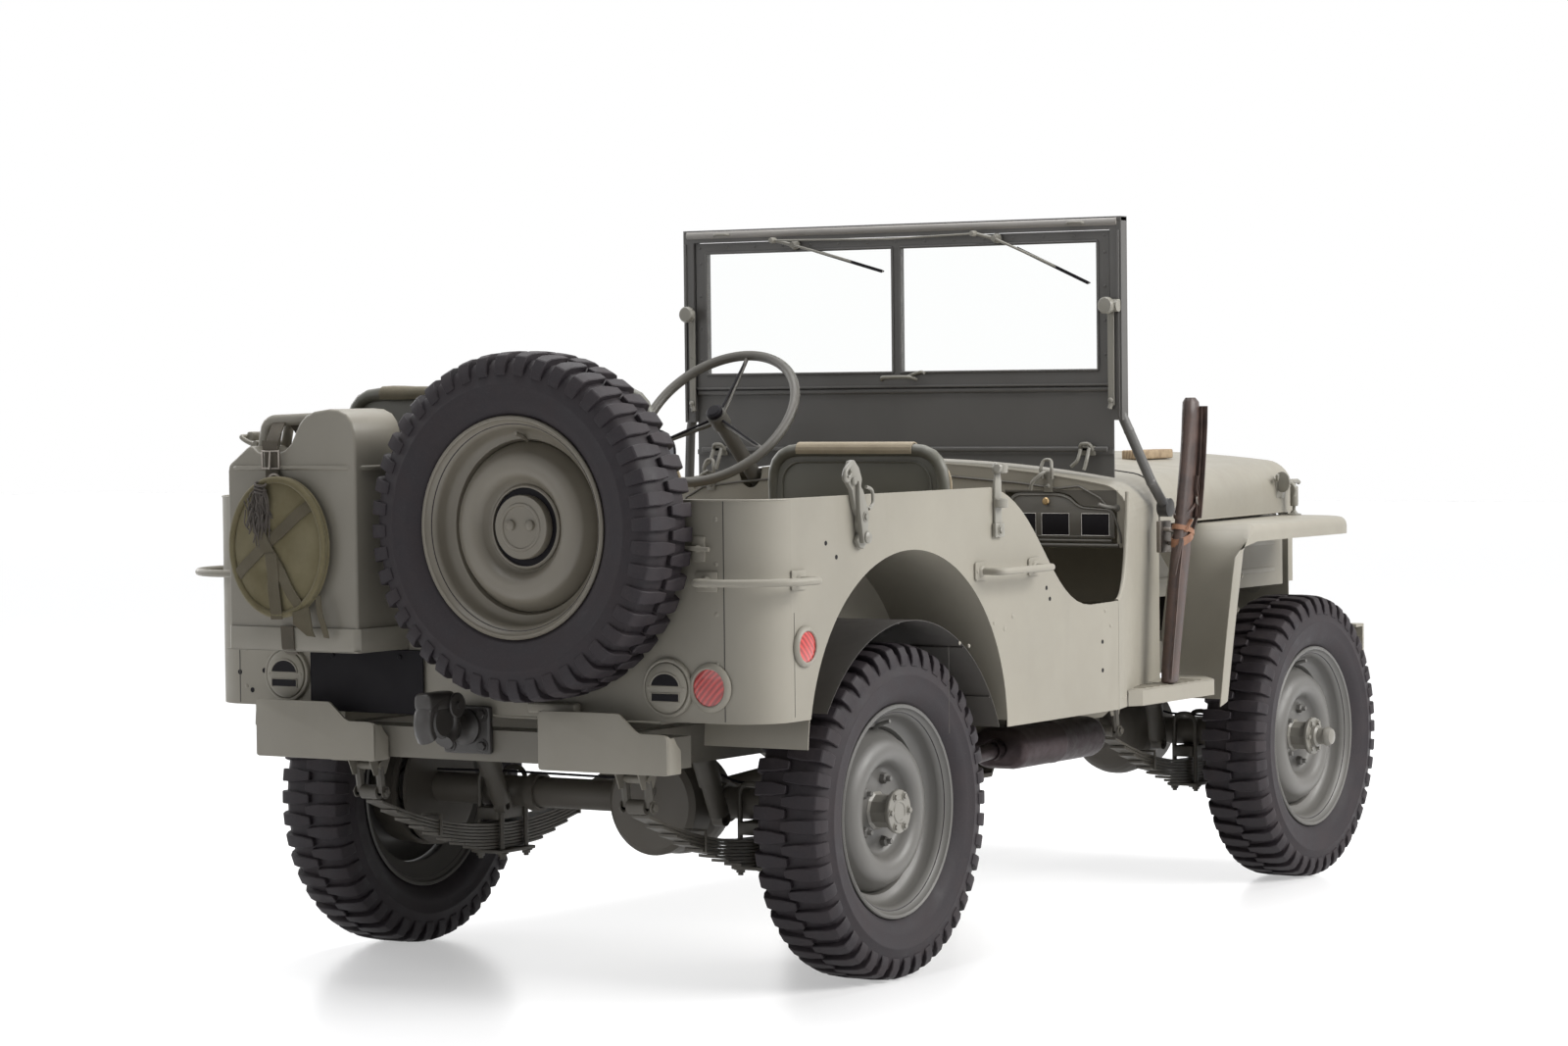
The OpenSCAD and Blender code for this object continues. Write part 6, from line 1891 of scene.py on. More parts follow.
def front_seat(side):
    y0 = side * SEAT_Y
    at = lambda x, y, z: on_tub(SEAT_X + x, y0 + y, z)
    hoop = bar("hoop", [at(0.44, SEAT_HALF, 0.738), at(0.02, SEAT_HALF, 0.738),
                        at(-0.006, SEAT_HALF, 0.80), at(-0.027, SEAT_HALF, SEAT_TOP),
                        at(-0.027, -SEAT_HALF, SEAT_TOP), at(-0.006, -SEAT_HALF, 0.80),
                        at(0.02, -SEAT_HALF, 0.738), at(0.44, -SEAT_HALF, 0.738)], 0.0145, 0.072, sides=4)
    front = bar("front_tube", [at(0.44, SEAT_HALF, 0.738), at(0.44, -SEAT_HALF, 0.738)], 0.0145, sides=4)
    panel = plate("panel", round_rect(SEAT_HALF - 0.002, 0.785, SEAT_TOP - 0.002, 0.062, 0.03, y0), "x",
                  X0 + SEAT_X - 0.030, 0.0022, 0.0009)
    pan = block("pan", at(0.010, -SEAT_HALF, 0.738), at(0.44, SEAT_HALF, 0.7405), 0.001)
    bead = bar("bead", [Vector((X0 + SEAT_X - 0.0305, y, z))
                        for y, z in round_rect(SEAT_HALF - 0.026, 0.805, SEAT_TOP - 0.026, 0.05, 0.02,
                                               y0)], 0.0028, closed=True)
    parts = [hoop, front, panel, pan, bead]
    for y in (SEAT_HALF, -SEAT_HALF):
        parts.append(bar("leg", [at(0.42, y, 0.735), at(0.42, y, 0.545)], 0.0110))
        parts.append(bar("leg", [at(0.06, y, 0.735), at(0.06, y, 0.534)], 0.0110))
        parts.append(lathe("foot", [(0, 0), (0.018, 0), (0.018, 0.003), (0.012, 0.006), (0, 0.006)],
                           at(0.06, y, 0.5226), steps=14))
        parts.append(bar("hinge_foot", [at(0.42, y - 0.015, 0.5395), at(0.42, y + 0.015, 0.5395)], 0.0128))
    return joined("passenger_seat_tubes" if side < 0 else "driver_seat_tubes", parts)

fit(front_seat(1), SEAT_PAINT, "chassis", ["driver_seat"])
fit(front_seat(-1), SEAT_PAINT, "passenger_seat", ["passenger_seat"])

def front_pads(side):
    y0 = side * SEAT_Y
    body, node = ("chassis", "seat_cushions") if side > 0 else ("passenger_seat", "passenger_pad")
    name = "driver" if side > 0 else "passenger"
    seat = tub_block(name + "_seat_pad", (SEAT_X + 0.046, y0 - 0.226, 0.7590),
                     (SEAT_X + 0.430, y0 + 0.226, 0.826), 0.022, 4)
    faces = pad(seat, 0.012, 0.009, lambda p: p.z < 0.766, SEAT_CLOTH, body,
                [node] if side < 0 else [])
    piping = tub_bar(name + "_piping", [(SEAT_X + x, y0 + y, 0.8265)
                                        for x, y in ((0.058, -0.213), (0.418, -0.213), (0.418, 0.213),
                                                     (0.058, 0.213))], 0.0038, 0.03, closed=True)
    back = plate(name + "_back_pad", round_rect(0.216, 0.842, 1.096, 0.060, 0.02, y0), "x",
                 X0 + SEAT_X - 0.006, 0.040, 0.014, 3)
    faces += pad(back, 0.012, 0.007, lambda p: p.x < X0 + SEAT_X + 0.001, SEAT_CLOTH, body)
    trim = bar(name + "_back_piping", [Vector((X0 + SEAT_X + 0.0330, y, z))
        for y, z in round_rect(0.207, 0.852, 1.088, 0.055, 0.02, y0)], 0.0034, closed=True)
    # the pad's cover is turned over the tube's top and laced there
    wrap = []
    for k in range(13):
        y = y0 + 0.150 - 0.300 * k / 12
        wobble = 0.0016 * math.sin(k * 1.9)
        outer = [(0.0185 + wobble * (i == 0)) for i in range(9)]
        arc = [math.radians(-25 + 230 * i / 8) for i in range(9)]
        ring = [on_tub(SEAT_X - 0.0262 + r * math.cos(a), y, SEAT_TOP - 0.0002 + r * math.sin(a))
                for r, a in zip(outer, arc)]
        ring += [on_tub(SEAT_X - 0.0262 + 0.0158 * math.cos(a), y,
                        SEAT_TOP - 0.0002 + 0.0158 * math.sin(a)) for a in reversed(arc)]
        wrap.append(ring)
    roll = loft(name + "_roll", wrap)
    fit(joined(name + "_pad_trim", [piping, trim, roll]), SEAT_CLOTH, body)
    return faces

print("front seat pads have", front_pads(1) + front_pads(-1), "faces")

# %% Rear seat
bench = []
for s in (1, -1):
    bench.append(tub_bar("rail", [(-0.44, s * 0.395, 0.800), (0.0, s * 0.395, 0.800)], 0.0138, sides=4))
    bench.append(tub_bar("leg", [(-0.02, s * 0.395, 0.80), (-0.02, s * 0.395, 0.579)], 0.0118))
    bench.append(tub_bar("leg", [(-0.42, s * 0.395, 0.80), (-0.42, s * 0.395, 0.579)], 0.0118))
    bench.append(tub_bar("riser", [(-0.47, s * 0.395, 0.800), (-0.47, s * 0.425, 0.800),
                                   (-0.47, s * 0.425, 0.969)], 0.0108, 0.012))
    for x in (-0.02, -0.42):
        bench.append(lathe("foot", [(0, 0), (0.022, 0), (0.022, 0.003), (0.014, 0.007), (0, 0.007)],
                           on_tub(x, s * 0.395, 0.5778), steps=14))
bench.append(tub_block("bench_pan", (-0.438, -0.398, 0.8142), (-0.002, 0.398, 0.8178), 0.0015))
fit(joined("rear_bench_frame", bench), SEAT_PAINT, "chassis", ["rear_bench"])
rear_pad = tub_block("bench_pad", (-0.424, -0.399, 0.8190), (-0.006, 0.399, 0.880), 0.020, 4)
pad(rear_pad, 0.014, 0.010, lambda p: p.z < 0.825, SEAT_CLOTH, "chassis", ["seat_cushions"])
fit(tub_bar("bench_piping",
            [(x, y, 0.8785) for x, y in ((-0.412, -0.386), (-0.018, -0.386), (-0.018, 0.386),
                (-0.412, 0.386))], 0.0038, 0.03, closed=True), SEAT_CLOTH, "chassis")

BACK_HALF, BACK_X = 0.386, -0.470
hoop = tub_bar("rear_hoop",
               [(BACK_X, s * BACK_HALF, z)
                for s, z in ((1, 0.953), (1, 1.246), (-1, 1.246), (-1, 0.953))], 0.0135, 0.075, sides=4)
sheet_back = plate("rear_panel", round_rect(0.381, 0.955, 1.241, 0.066, 0.03), "x", X0 + BACK_X + 0.002,
                   0.0035, 0.001)
stubs = [tub_bar("stub", [(BACK_X, s * 0.382, 0.950), (BACK_X, s * 0.405, 0.950)], 0.0088) for s in (1, -1)]
fit(joined("rear_back_frame", [hoop, sheet_back] + stubs), SEAT_PAINT, "rear_seat_back",
    ["rear_seat_back"])
rear_back = plate("rear_back_cushion", round_rect(0.368, 0.967, 1.226, 0.060, 0.02), "x",
                  X0 + BACK_X + 0.0145, 0.036, 0.014, 3)
pad(rear_back, 0.014, 0.007, lambda p: p.x < X0 + BACK_X + 0.020, REAR_CLOTH, "rear_seat_back",
    ["rear_back_pad"])
flap_rings = []
for k in range(21):
    y = 0.300 - 0.600 * k / 20
    arc = [math.radians(-20 + 240 * i / 8) for i in range(9)]
    r = 0.0172 + 0.0012 * math.sin(k * 1.3)
    flap_rings.append([on_tub(BACK_X + r * math.cos(a), y, 1.246 + r * math.sin(a))
                       for a in arc] + [on_tub(BACK_X + 0.0145 * math.cos(a), y,
                                               1.246 + 0.0145 * math.sin(a)) for a in reversed(arc)])
fit(loft("rear_back_roll", flap_rings), REAR_CLOTH, "rear_seat_back")

# %% [markdown]
# ## Dash, wheel and levers
# The dash face is a flat panel with a raised bead round it. The glove compartment's lid is
# one stepped pressing with a brass knob; its three data plates stay bare.

# %% Dash and glove compartment
DASH_X = 1.050
face_x = DASH_X - 0.0008
def dash_z(y):
    """Height of the bead that follows the cowl's shoulders."""
    over = max(0.0, abs(y) - 0.50)
    return crown_z(y) - 0.030 - (0.075 - math.sqrt(max(0.0,
                                                       0.075 ** 2 - min(over, 0.0749) ** 2))) * (over > 0)
bead_path = [on_tub(face_x, y, dash_z(y)) for y in (0.57, 0.55, 0.50, 0.40, 0.2, 0, -0.2, -0.40, -0.50)]
bead_path += [on_tub(face_x, y, z)
    for y, z in ((-0.555, 1.012), (-0.610, 0.985), (-0.648, 0.945), (-0.664, 0.900), (-0.666, 0.880))]
dash_bead = bar("dash_bead", bead_path, 0.0028)
low_roll = tub_bar("dash_roll", [(DASH_X - 0.001, 0.660, 0.874), (DASH_X - 0.001, -0.660, 0.874)], 0.0050)
# The dash parts take the cabin enamel, whose dark colour is painted shade.
fit(joined("dash_beads", [dash_bead, low_roll]), CABIN_SHADE_PAINT, "chassis")

lid_outline = softened([Vector((y, z, 0))
                        for y, z in ((-0.649, 0.892), (-0.649, 0.958), (-0.560, 0.964), (-0.528, 0.990),
                                     (-0.500, 0.9965), (-0.384, 0.9965), (-0.363, 0.975), (-0.363, 0.892),
                                     (-0.500, 0.8885))], 0.016)
lid = plate("lid", [(p.x, p.y) for p in softened(lid_outline, 0.003)][::-1], "x", X0 + DASH_X - 0.0022,
            0.0028, 0.0008)
lid_bead = bar("lid_bead",
               [Vector((X0 + DASH_X - 0.0018, -0.506 + (p.x + 0.506) * 0.955,
                        0.941 + (p.y - 0.941) * 0.90)) for p in lid_outline], 0.0022, closed=True)
lid_hinge = tub_bar("lid_hinge", [(DASH_X - 0.001, -0.370, 0.885), (DASH_X - 0.001, -0.642, 0.885)], 0.0038)
fit(joined("glovebox_cover", [lid, lid_bead, lid_hinge]), CABIN_SHADE_PAINT, "glovebox_lid",
    ["glovebox_lid"])
knob = lathe("glovebox_knob", [(0, -0.001), (0.0055, -0.001), (0.0050, 0.004), (0.0085, 0.006),
                               (0.0090, 0.009), (0.0070, 0.0110), (0, 0.0115)],
             on_tub(DASH_X - 0.0020, -0.472, 0.977), (-1, 0, 0), steps=24)
fit(knob, BRASS, "glovebox_lid")
plates, borders = [], []
for y in (-0.405, -0.494, -0.600):
    plates.append(tub_block("bare_plate", (DASH_X - 0.0036, y - 0.036, 0.898),
                            (DASH_X - 0.0020, y + 0.036, 0.948), 0.0004))
    borders.append(tub_bar("plate_border", [(DASH_X - 0.0037, y + a * 0.0365, 0.923 + b * 0.0255)
        for a, b in ((1, 1), (-1, 1), (-1, -1), (1, -1))], 0.0010, closed=True, sides=2))
fit(joined("bare_data_plates", plates), BLACK, "glovebox_lid")
fit(joined("data_plate_borders", borders), STEEL, "glovebox_lid")
# A filler closes the dash above the lid's stepped edge, and two toggles wait for the clamps.
surround = [(-0.3575, 1.003), (-0.655, 1.003), (-0.655, 0.9600), (-0.562, 0.9665), (-0.530, 0.9925),
            (-0.502, 0.9990), (-0.3575, 0.9990)]
fit(plate("glovebox_surround", surround[::-1], "x", X0 + DASH_X - 0.0004, 0.0018, 0.0), CABIN_SHADE_PAINT, "chassis")
toggles = []
for y in (-0.475, 0.475):
    face = DASH_X - 0.001
    toggles += [
        tub_block("toggle_plate", (face - 0.0030, y - 0.012, 0.998), (face, y + 0.012, 1.046), 0.0012),
        tub_bar("toggle_loop", [(face - 0.006, y - 0.013, 1.030), (face - 0.012, y - 0.015, 1.054),
                                (face - 0.004, y - 0.010, 1.074),
                                (face - 0.004, y + 0.010, 1.074), (face - 0.012, y + 0.015, 1.054),
                                (face - 0.006, y + 0.013, 1.030)], 0.0042, 0.008),
        tub_bar("toggle_hook", [(face - 0.010, y + 0.004, 1.046), (face - 0.020, y + 0.010, 1.040),
            (face - 0.026, y + 0.030, 1.022), (face - 0.022, y + 0.036, 1.004)], 0.0046, 0.010),
        dome("toggle_pin", on_tub(face - 0.003, y, 1.012), (-1, 0, 0), 0.006, 0.004),
    ]
fit(joined("dash_toggles", toggles), BRACKET_PAINT, "chassis")
clip = joined("dash_clip",
              [tub_bar("clip", [(DASH_X - 0.004, -0.655, 0.962), (DASH_X - 0.030, -0.640, 0.966),
                                (DASH_X - 0.044, -0.630, 0.972)], 0.0048, 0.01),
               screw_head("clip_screw", on_tub(DASH_X - 0.0002, -0.655, 0.962),
                          (-1, 0, 0), 0.009)])
fit(clip, CABIN_SHADE_PAINT, "chassis")

# %% [markdown]
# A rolled lip runs down the front edge of each door opening, along the curve that the cowl's
# side is cut to, and catches the light.

# %% Rolled lip of the door openings
def bend(a, b, c, d, t):
    """Point at t on the curve that the cowl's edge follows."""
    return [(1 - t) ** 3 * p + 3 * (1 - t) ** 2 * t * q + 3 * (1 - t) * t * t * r + t ** 3 * w
            for p, q, r, w in zip(a, b, c, d)]

lip_path = []
for k in range(13):
    x, z = bend((1.047, 1.000), (1.035, 0.880), (1.010, 0.757), (0.924, 0.754), k / 12)
    lip_path.append(on_tub(x - 0.001, SIDE_Y - 0.004 - max(0.0, x - 0.923) * 0.290, z))
fit(both("door_lips", [bar("door_lip", lip_path, 0.0050)]), PAINT)

# %% Gauges and switches
dials, faces, ticks = [], [], []
for y, z, r in ((0.160, 0.965, 0.046), (0.045, 0.985, 0.028), (0.045, 0.915, 0.028),
                (-0.030, 0.985, 0.028), (-0.030, 0.915, 0.028)):
    dials.append(lathe("bezel", [(r - 0.004, 0), (r + 0.003, 0), (r + 0.003, 0.003), (r, 0.0060),
                                 (r - 0.004, 0.0045)], on_tub(DASH_X - 0.0002, y, z), (-1, 0, 0), steps=36))
    faces.append(lathe("dial", [(0, 0), (r - 0.0035, 0), (r - 0.0035, 0.0020), (0, 0.0020)],
                       on_tub(DASH_X - 0.0002, y, z), (-1, 0, 0), steps=32))
    for k in range(9):
        a = math.radians(-30 + 30 * k)
        tick = on_tub(DASH_X - 0.0022, y + math.cos(a) * r * 0.72, z + math.sin(a) * r * 0.72)
        ticks.append(bar("tick",
                         [tick, tick + Vector((0, -math.cos(a) * r * 0.10, -math.sin(a) * r * 0.10))],
                         0.0005, sides=1))
    ticks.append(tub_bar("needle",
        [(DASH_X - 0.0024, y, z), (DASH_X - 0.0024, y + r * 0.35, z + r * 0.5)], 0.0006, sides=1))
fit(joined("gauge_bezels", dials), CABIN_SHADE_PAINT, "chassis")
fit(joined("gauge_faces", faces), BLACK, "chassis")
fit(joined("gauge_needles", ticks), PLATE_WHITE, "chassis")
switches = [lathe("switch", [(0, -0.001), (0.012, -0.001), (0.012, 0.004), (0.005, 0.005), (0.005, 0.016),
                             (0.009, 0.018), (0.009, 0.026), (0, 0.027)], on_tub(DASH_X, y, z),
                  (-1, 0, 0), steps=18)
            for y, z in ((0.250, 0.900), (0.310, 0.900), (0.110, 0.900), (0.370, 0.905),
                         (0.560, 0.905))]
brake = tub_bar("hand_brake", [(DASH_X - 0.002, -0.110, 0.905), (DASH_X - 0.050, -0.110, 0.905),
    (DASH_X - 0.060, -0.080, 0.905), (DASH_X - 0.060, -0.140, 0.905)], 0.0065, 0.006)
holder = joined("dash_bracket",
                [tub_bar("bracket", [(DASH_X - 0.001, 0.10, 1.015), (DASH_X - 0.020, 0.10, 1.018),
                                     (DASH_X - 0.020, 0.10, 0.990), (DASH_X - 0.001, 0.10, 0.988)],
                         0.0038, 0.004), screw_head("bracket_screw",
                                                    on_tub(DASH_X, 0.10, 1.026), (-1, 0, 0))])
fit(joined("dash_switches", switches + [brake, holder]), BLACK, "chassis")

# %% Steering wheel, levers and pedals
HUB, PITCH = on_tub(0.910, 0.360, 1.177), math.radians(42)
axis = Vector((-math.cos(PITCH), 0, math.sin(PITCH)))
nut = lathe("wheel_nut", [(0, 0.016), (0.019, 0.016), (0.021, 0.021), (0.021, 0.026), (0.015, 0.031),
                          (0, 0.032)], HUB, axis, steps=28)
collars = []
side = axis.cross(Vector((0, 1, 0)))
for k in range(3):
    a = math.tau * (k / 3 + 0.5)
    out = (side * math.cos(a) + Vector((0, 1, 0)) * math.sin(a))
    collars.append(bar("spoke_twin", [HUB + axis * 0.004 + out * 0.020, HUB + out * 0.196], 0.0034))
fit(joined("wheel_hub_cap", [nut] + collars), BLACK, "steering_wheel")
levers = [
    tub_bar("gear_lever", [(1.010, 0.000, 0.520), (1.000, 0.000, 0.600), (0.930, -0.005, 0.760),
                           (0.880, -0.005, 0.850)], 0.0080, 0.05),
    tub_bar("range_lever", [(0.960, -0.068, 0.520), (0.955, -0.068, 0.600), (0.925, -0.068, 0.700)],
            0.0070, 0.04),
    tub_bar("drive_lever", [(0.960, -0.108, 0.520), (0.955, -0.108, 0.600), (0.925, -0.108, 0.700)],
            0.0070, 0.04),
]
knobs = [lathe("lever_knob", [(0, -0.016), (0.010, -0.014), (0.017, -0.004), (0.017, 0.004),
                              (0.010, 0.013), (0, 0.016)], on_tub(*p), (0, 0, 1), steps=20)
         for p in ((0.877, -0.005, 0.858), (0.922, -0.068, 0.708),
                   (0.922, -0.108, 0.708))]
boots = [lathe("lever_boot", [(0, 0), (r, 0), (r, 0.006), (r * 0.8, 0.010), (r * 0.72, 0.020),
                              (r * 0.55, 0.030), (0.010, 0.042), (0, 0.042)], on_tub(x, y, 0.5226),
               (0, 0, 1), steps=24) for x, y, r in ((1.010, 0.0, 0.050),
                                                    (0.960, -0.088, 0.044))]
fit(joined("lever_rods", levers), DARK_STEEL, "chassis")
fit(joined("lever_knobs", knobs + boots), BLACK, "chassis")
pedals = []
for y in (0.455, 0.300):
    pedals.append(tub_bar("pedal_arm", [(1.235, y, 0.600), (1.190, y, 0.640), (1.150, y, 0.665)], 0.0070,
                          0.02))
    pedals.append(lathe("pedal_pad", [(0, 0), (0.034, 0), (0.036, 0.003), (0.034, 0.008), (0, 0.009)],
                        on_tub(1.152, y, 0.662), (-0.75, 0, 0.65), steps=28))
pedals.append(tub_block("throttle", (1.130, 0.190, 0.540), (1.142, 0.232, 0.640), 0.004))
turned(pedals[-1], Matrix.Translation(on_tub(1.136, 0.21, 0.54)) @ Matrix.Rotation(math.radians(28), 4,
    "Y") @ Matrix.Translation(-on_tub(1.136, 0.21, 0.54)))
fit(joined("pedals", pedals), DARK_STEEL, "chassis")

# %% Side mirror
arm = tub_bar("mirror_arm", [(1.190, 0.6585, 0.905), (1.188, 0.690, 0.925), (1.180, 0.714, 0.980),
                             (1.1760, 0.7215, 1.050)], 0.0055, 0.03)
shell = lathe("mirror_shell", [(0, 0.0), (0.046, 0.0), (0.0565, 0.004), (0.058, 0.0095), (0.0560, 0.0118),
    (0.0535, 0.0105), (0.0525, 0.0085), (0, 0.0085)], on_tub(1.1808, 0.722, 1.090), (-1, 0, 0), steps=40)
pivot = lathe("mirror_pivot", [(0, -0.0004), (0.010, 0), (0.009, 0.006), (0, 0.007)],
              on_tub(1.1815, 0.722, 1.046), (1, 0, 0), steps=16)
fit(joined("mirror_body", [arm, shell, pivot]), BLACK, "chassis", ["side_mirror"])
fit(lathe("mirror_glass", [(0, 0), (0.0528, 0), (0.0528, 0.0012), (0, 0.0022)],
          on_tub(1.1718, 0.722, 1.090), (-1, 0, 0), steps=36), MIRROR_FACE, "chassis")
print("cabin done")

# %% [markdown]
# ## Springs and axles
# Each spring is a pack of thin leaves, each shorter than the one above, with rolled eyes,
# shackles, clips and a pair of U-bolts over a plate at the axle.

# %% Springs
BASE = middle("tyre_front_left").x - X0

SPRING_Y, LEAVES, LEAF_HALF, LEAF_RISE, LEAF_PITCH = 0.348, 8, 0.462, 0.090, 0.0072

def leaf_pack(x0):
    """Leaves, eyes, shackles, clips and U-bolts of one spring over the axle at x0."""
    parts = []
    for i in range(LEAVES):
        half = LEAF_HALF * (1 - 0.105 * i)
        z0 = AXLE_Z - 0.070 - LEAF_PITCH * i
        stations = [half * (2 * k / 12 - 1) for k in range(13)]
        top = [(x, z0 + LEAF_RISE * (x / LEAF_HALF) ** 2) for x in stations]
        outline = top + [(x, z - 0.0062) for x, z in reversed(top)]
        parts.append(plate("leaf", lift(outline, X0 + x0), "y", SPRING_Y + 0.022, 0.044, 0.0008, 1))
    for s in (-1, 1):
        eye = on_tub(x0 + s * 0.470, SPRING_Y, AXLE_Z + 0.038)
        parts.append(lathe("eye", [(0.008, -0.022), (0.0155, -0.022), (0.0155, 0.022), (0.008, 0.022)],
                           eye, (0, 1, 0), steps=20))
        parts.append(bar("eye_leaf", [eye + Vector((-s * 0.004, 0, -0.014)),
                                      on_tub(x0 + s * 0.440, SPRING_Y, AXLE_Z + 0.012)], 0.0040, sides=1))
        for y in (-0.028, 0.028):
            link = [eye + Vector((0, y, 0)), eye + Vector((s * 0.008, y, 0.055))]
            parts.append(bar("shackle", link, 0.0095, sides=2))
            parts.append(hex_bolt("shackle_nut", eye + Vector((0, y + 0.009 * (1 if y > 0 else -1), 0)),
                                  (0, 1 if y > 0 else -1, 0), 0.009, 0.008))
        parts.append(tub_bar("clip", [(x0 + s * 0.26, 0.323, AXLE_Z - 0.076),
                                      (x0 + s * 0.26, 0.323, AXLE_Z - 0.030),
                                      (x0 + s * 0.26, 0.373, AXLE_Z - 0.030),
                                      (x0 + s * 0.26, 0.373, AXLE_Z - 0.076)], 0.0035))
    for x in (-0.045, 0.045):
        parts.append(tub_bar("u_bolt", [(x0 + x, 0.318, AXLE_Z - 0.150), (x0 + x, 0.318, AXLE_Z + 0.048),
            (x0 + x, 0.378, AXLE_Z + 0.048), (x0 + x, 0.378, AXLE_Z - 0.150)], 0.0060, 0.028))
        for y in (0.318, 0.378):
            parts.append(hex_bolt("u_nut", on_tub(x0 + x, y, AXLE_Z - 0.136), (0, 0, -1), 0.0095, 0.009))
    parts.append(tub_block("u_plate", (x0 - 0.065, 0.306, AXLE_Z - 0.136),
                           (x0 + 0.065, 0.390, AXLE_Z - 0.128), 0.002))
    parts.append(tub_block("perch", (x0 - 0.060, 0.320, AXLE_Z - 0.062),
                           (x0 + 0.060, 0.376, AXLE_Z - 0.034), 0.004))
    return parts

def damper(low, high):
    axis = (high - low).normalized()
    reach = (high - low).length
    tube = lathe("damper", [(0, 0.01), (0.020, 0.01), (0.022, 0.014), (0.022, reach * 0.52),
                            (0.026, reach * 0.53), (0.026, reach - 0.012), (0.022, reach - 0.006),
                            (0, reach - 0.004)], low, axis, steps=24)
    ends = [lathe("damper_eye", [(0.008, -0.014), (0.017, -0.014), (0.017, 0.014), (0.008, 0.014)], p,
                  (0, 1, 0), steps=18) for p in (low, high)]
    return [tube] + ends

spring_bits = leaf_pack(0.0) + leaf_pack(BASE)
spring_bits += damper(on_tub(-0.078, 0.290, 0.330), on_tub(-0.150, 0.290, 0.480))
spring_bits += damper(on_tub(BASE - 0.078, 0.290, 0.330), on_tub(BASE - 0.130, 0.290, 0.520))
fit(both("springs_leaved", [joined("spring_set", spring_bits)]), SPRING_STEEL, "chassis",
    ["springs"])

# %% Axles: covers, bolts and backing plates
axle_bits = []
for x0, s, face in ((0.0, -1, -0.112), (BASE, 1, 0.112)):
    centre = on_tub(x0, -0.130, AXLE_Z)
    for k in range(10):
        a = math.tau * k / 10
        at = centre + Vector((s * 0.100, 0.100 * math.cos(a), 0.100 * math.sin(a)))
        axle_bits.append(hex_bolt("cover_bolt", at, (s, 0, 0), 0.0065, 0.005))
    axle_bits.append(lathe("fill_plug", [(0, 0), (0.016, 0), (0.016, 0.006), (0.009, 0.007),
        (0.009, 0.012), (0, 0.012)], centre + Vector((s * 0.108, 0, 0.030)), (s, 0, 0.1), steps=8))
    for side in (-1, 1):
        axle_bits.append(lathe("tube_collar", [(0.036, -0.012), (0.043, -0.012), (0.043, 0.012),
            (0.036, 0.012)], on_tub(x0, side * 0.250, AXLE_Z), (0, 1, 0), steps=28))
fit(joined("axle_fittings", axle_bits), CHASSIS, "chassis")
hoses = [tub_bar("brake_pipe", [(x, y, z) for x, y, z in path], 0.0028, 0.02) for path in (
    ((-0.040, 0.500, 0.400), (-0.042, 0.300, 0.404), (-0.044, 0.000, 0.402), (-0.040, -0.120, 0.470),
     (-0.030, -0.300, 0.404), (-0.030, -0.500, 0.400)),
    ((BASE - 0.045, 0.440, 0.400), (BASE - 0.048, 0.250, 0.404), (BASE - 0.046, 0.000, 0.404),
     (BASE - 0.060, -0.130, 0.474), (BASE - 0.048, -0.300, 0.404), (BASE - 0.045, -0.440, 0.400)),
)]
fit(joined("brake_pipes", hoses), BLACK, "chassis")

# %% Muffler and pipe
MUFFLER_Y, MUFFLER_Z, MUFFLER_R, MUFFLER_SPREAD = -0.455, 0.412, 0.048, 0.028
muffler_outline = []
for degrees in range(5, 365, 10):
    a = math.radians(degrees)
    middle_y = MUFFLER_SPREAD if math.cos(a) > 0 else -MUFFLER_SPREAD
    muffler_outline.append((math.cos(a) * MUFFLER_R + middle_y, math.sin(a) * MUFFLER_R))
sections = []
for x, scale in ((0.830, 0.82), (0.838, 0.96), (0.850, 1.0), (1.020, 1.0), (1.024, 1.02), (1.030, 1.02),
                 (1.034, 1.0), (1.208, 1.0), (1.220, 0.96), (1.230, 0.80)):
    sections.append([on_tub(x, MUFFLER_Y + y * scale, MUFFLER_Z + z * scale) for y, z in muffler_outline])
muffler = loft("muffler", sections)
pipes = [
    tub_bar("tail_pipe", [(0.835, -0.455, 0.412), (0.770, -0.455, 0.408), (0.665, -0.455, 0.400)], 0.0195,
            0.03, sides=5),
    tub_bar("front_pipe", [(1.225, -0.455, 0.405), (1.290, -0.430, 0.402), (1.555, -0.252, 0.396)],
            0.0195, 0.05, sides=5),
    lathe("pipe_clamp", [(0.0195, -0.012), (0.0245, -0.012), (0.0245, 0.012), (0.0195, 0.012)],
          on_tub(0.812, -0.455, 0.411), (1, 0, 0), steps=24),
]
hanger = [tub_bar("hanger", [(x, -0.455, 0.458), (x, -0.455, 0.500)], 0.0060) for x in (0.880, 1.180)]
fit(joined("exhaust_muffler", [muffler] + pipes + hanger), RUSTY, "chassis", ["exhaust"])

# %% [markdown]
# Below the body hang a spring bracket, the skid plate and the gearbox with its bolts.

# %% Under the body
def bracket(x, y, low, high):
    """Spring hanger: two cheeks narrowing downwards, a pin through them."""
    parts = []
    for dy in (-0.030, 0.027):
        cheek = [(x - 0.052, high), (x + 0.052, high), (x + 0.020, low), (x - 0.020, low)]
        parts.append(plate("cheek", lift(cheek, X0), "y", y + dy + 0.003, 0.003, 0.0008, 1))
    parts.append(lathe("pin", [(0, -0.036), (0.009, -0.036), (0.009, 0.036), (0, 0.036)],
                       on_tub(x, y, low + 0.020), (0, 1, 0), steps=14))
    return parts

hangers = []
for x, high in ((BASE - 0.478, 0.505), (BASE + 0.478, 0.560), (-0.478, 0.500), (0.478, 0.505)):
    hangers += bracket(x, SPRING_Y, AXLE_Z + 0.076, high)
fit(both("spring_hangers", [joined("hanger_set", hangers)]), RAIL_PAINT, "chassis")

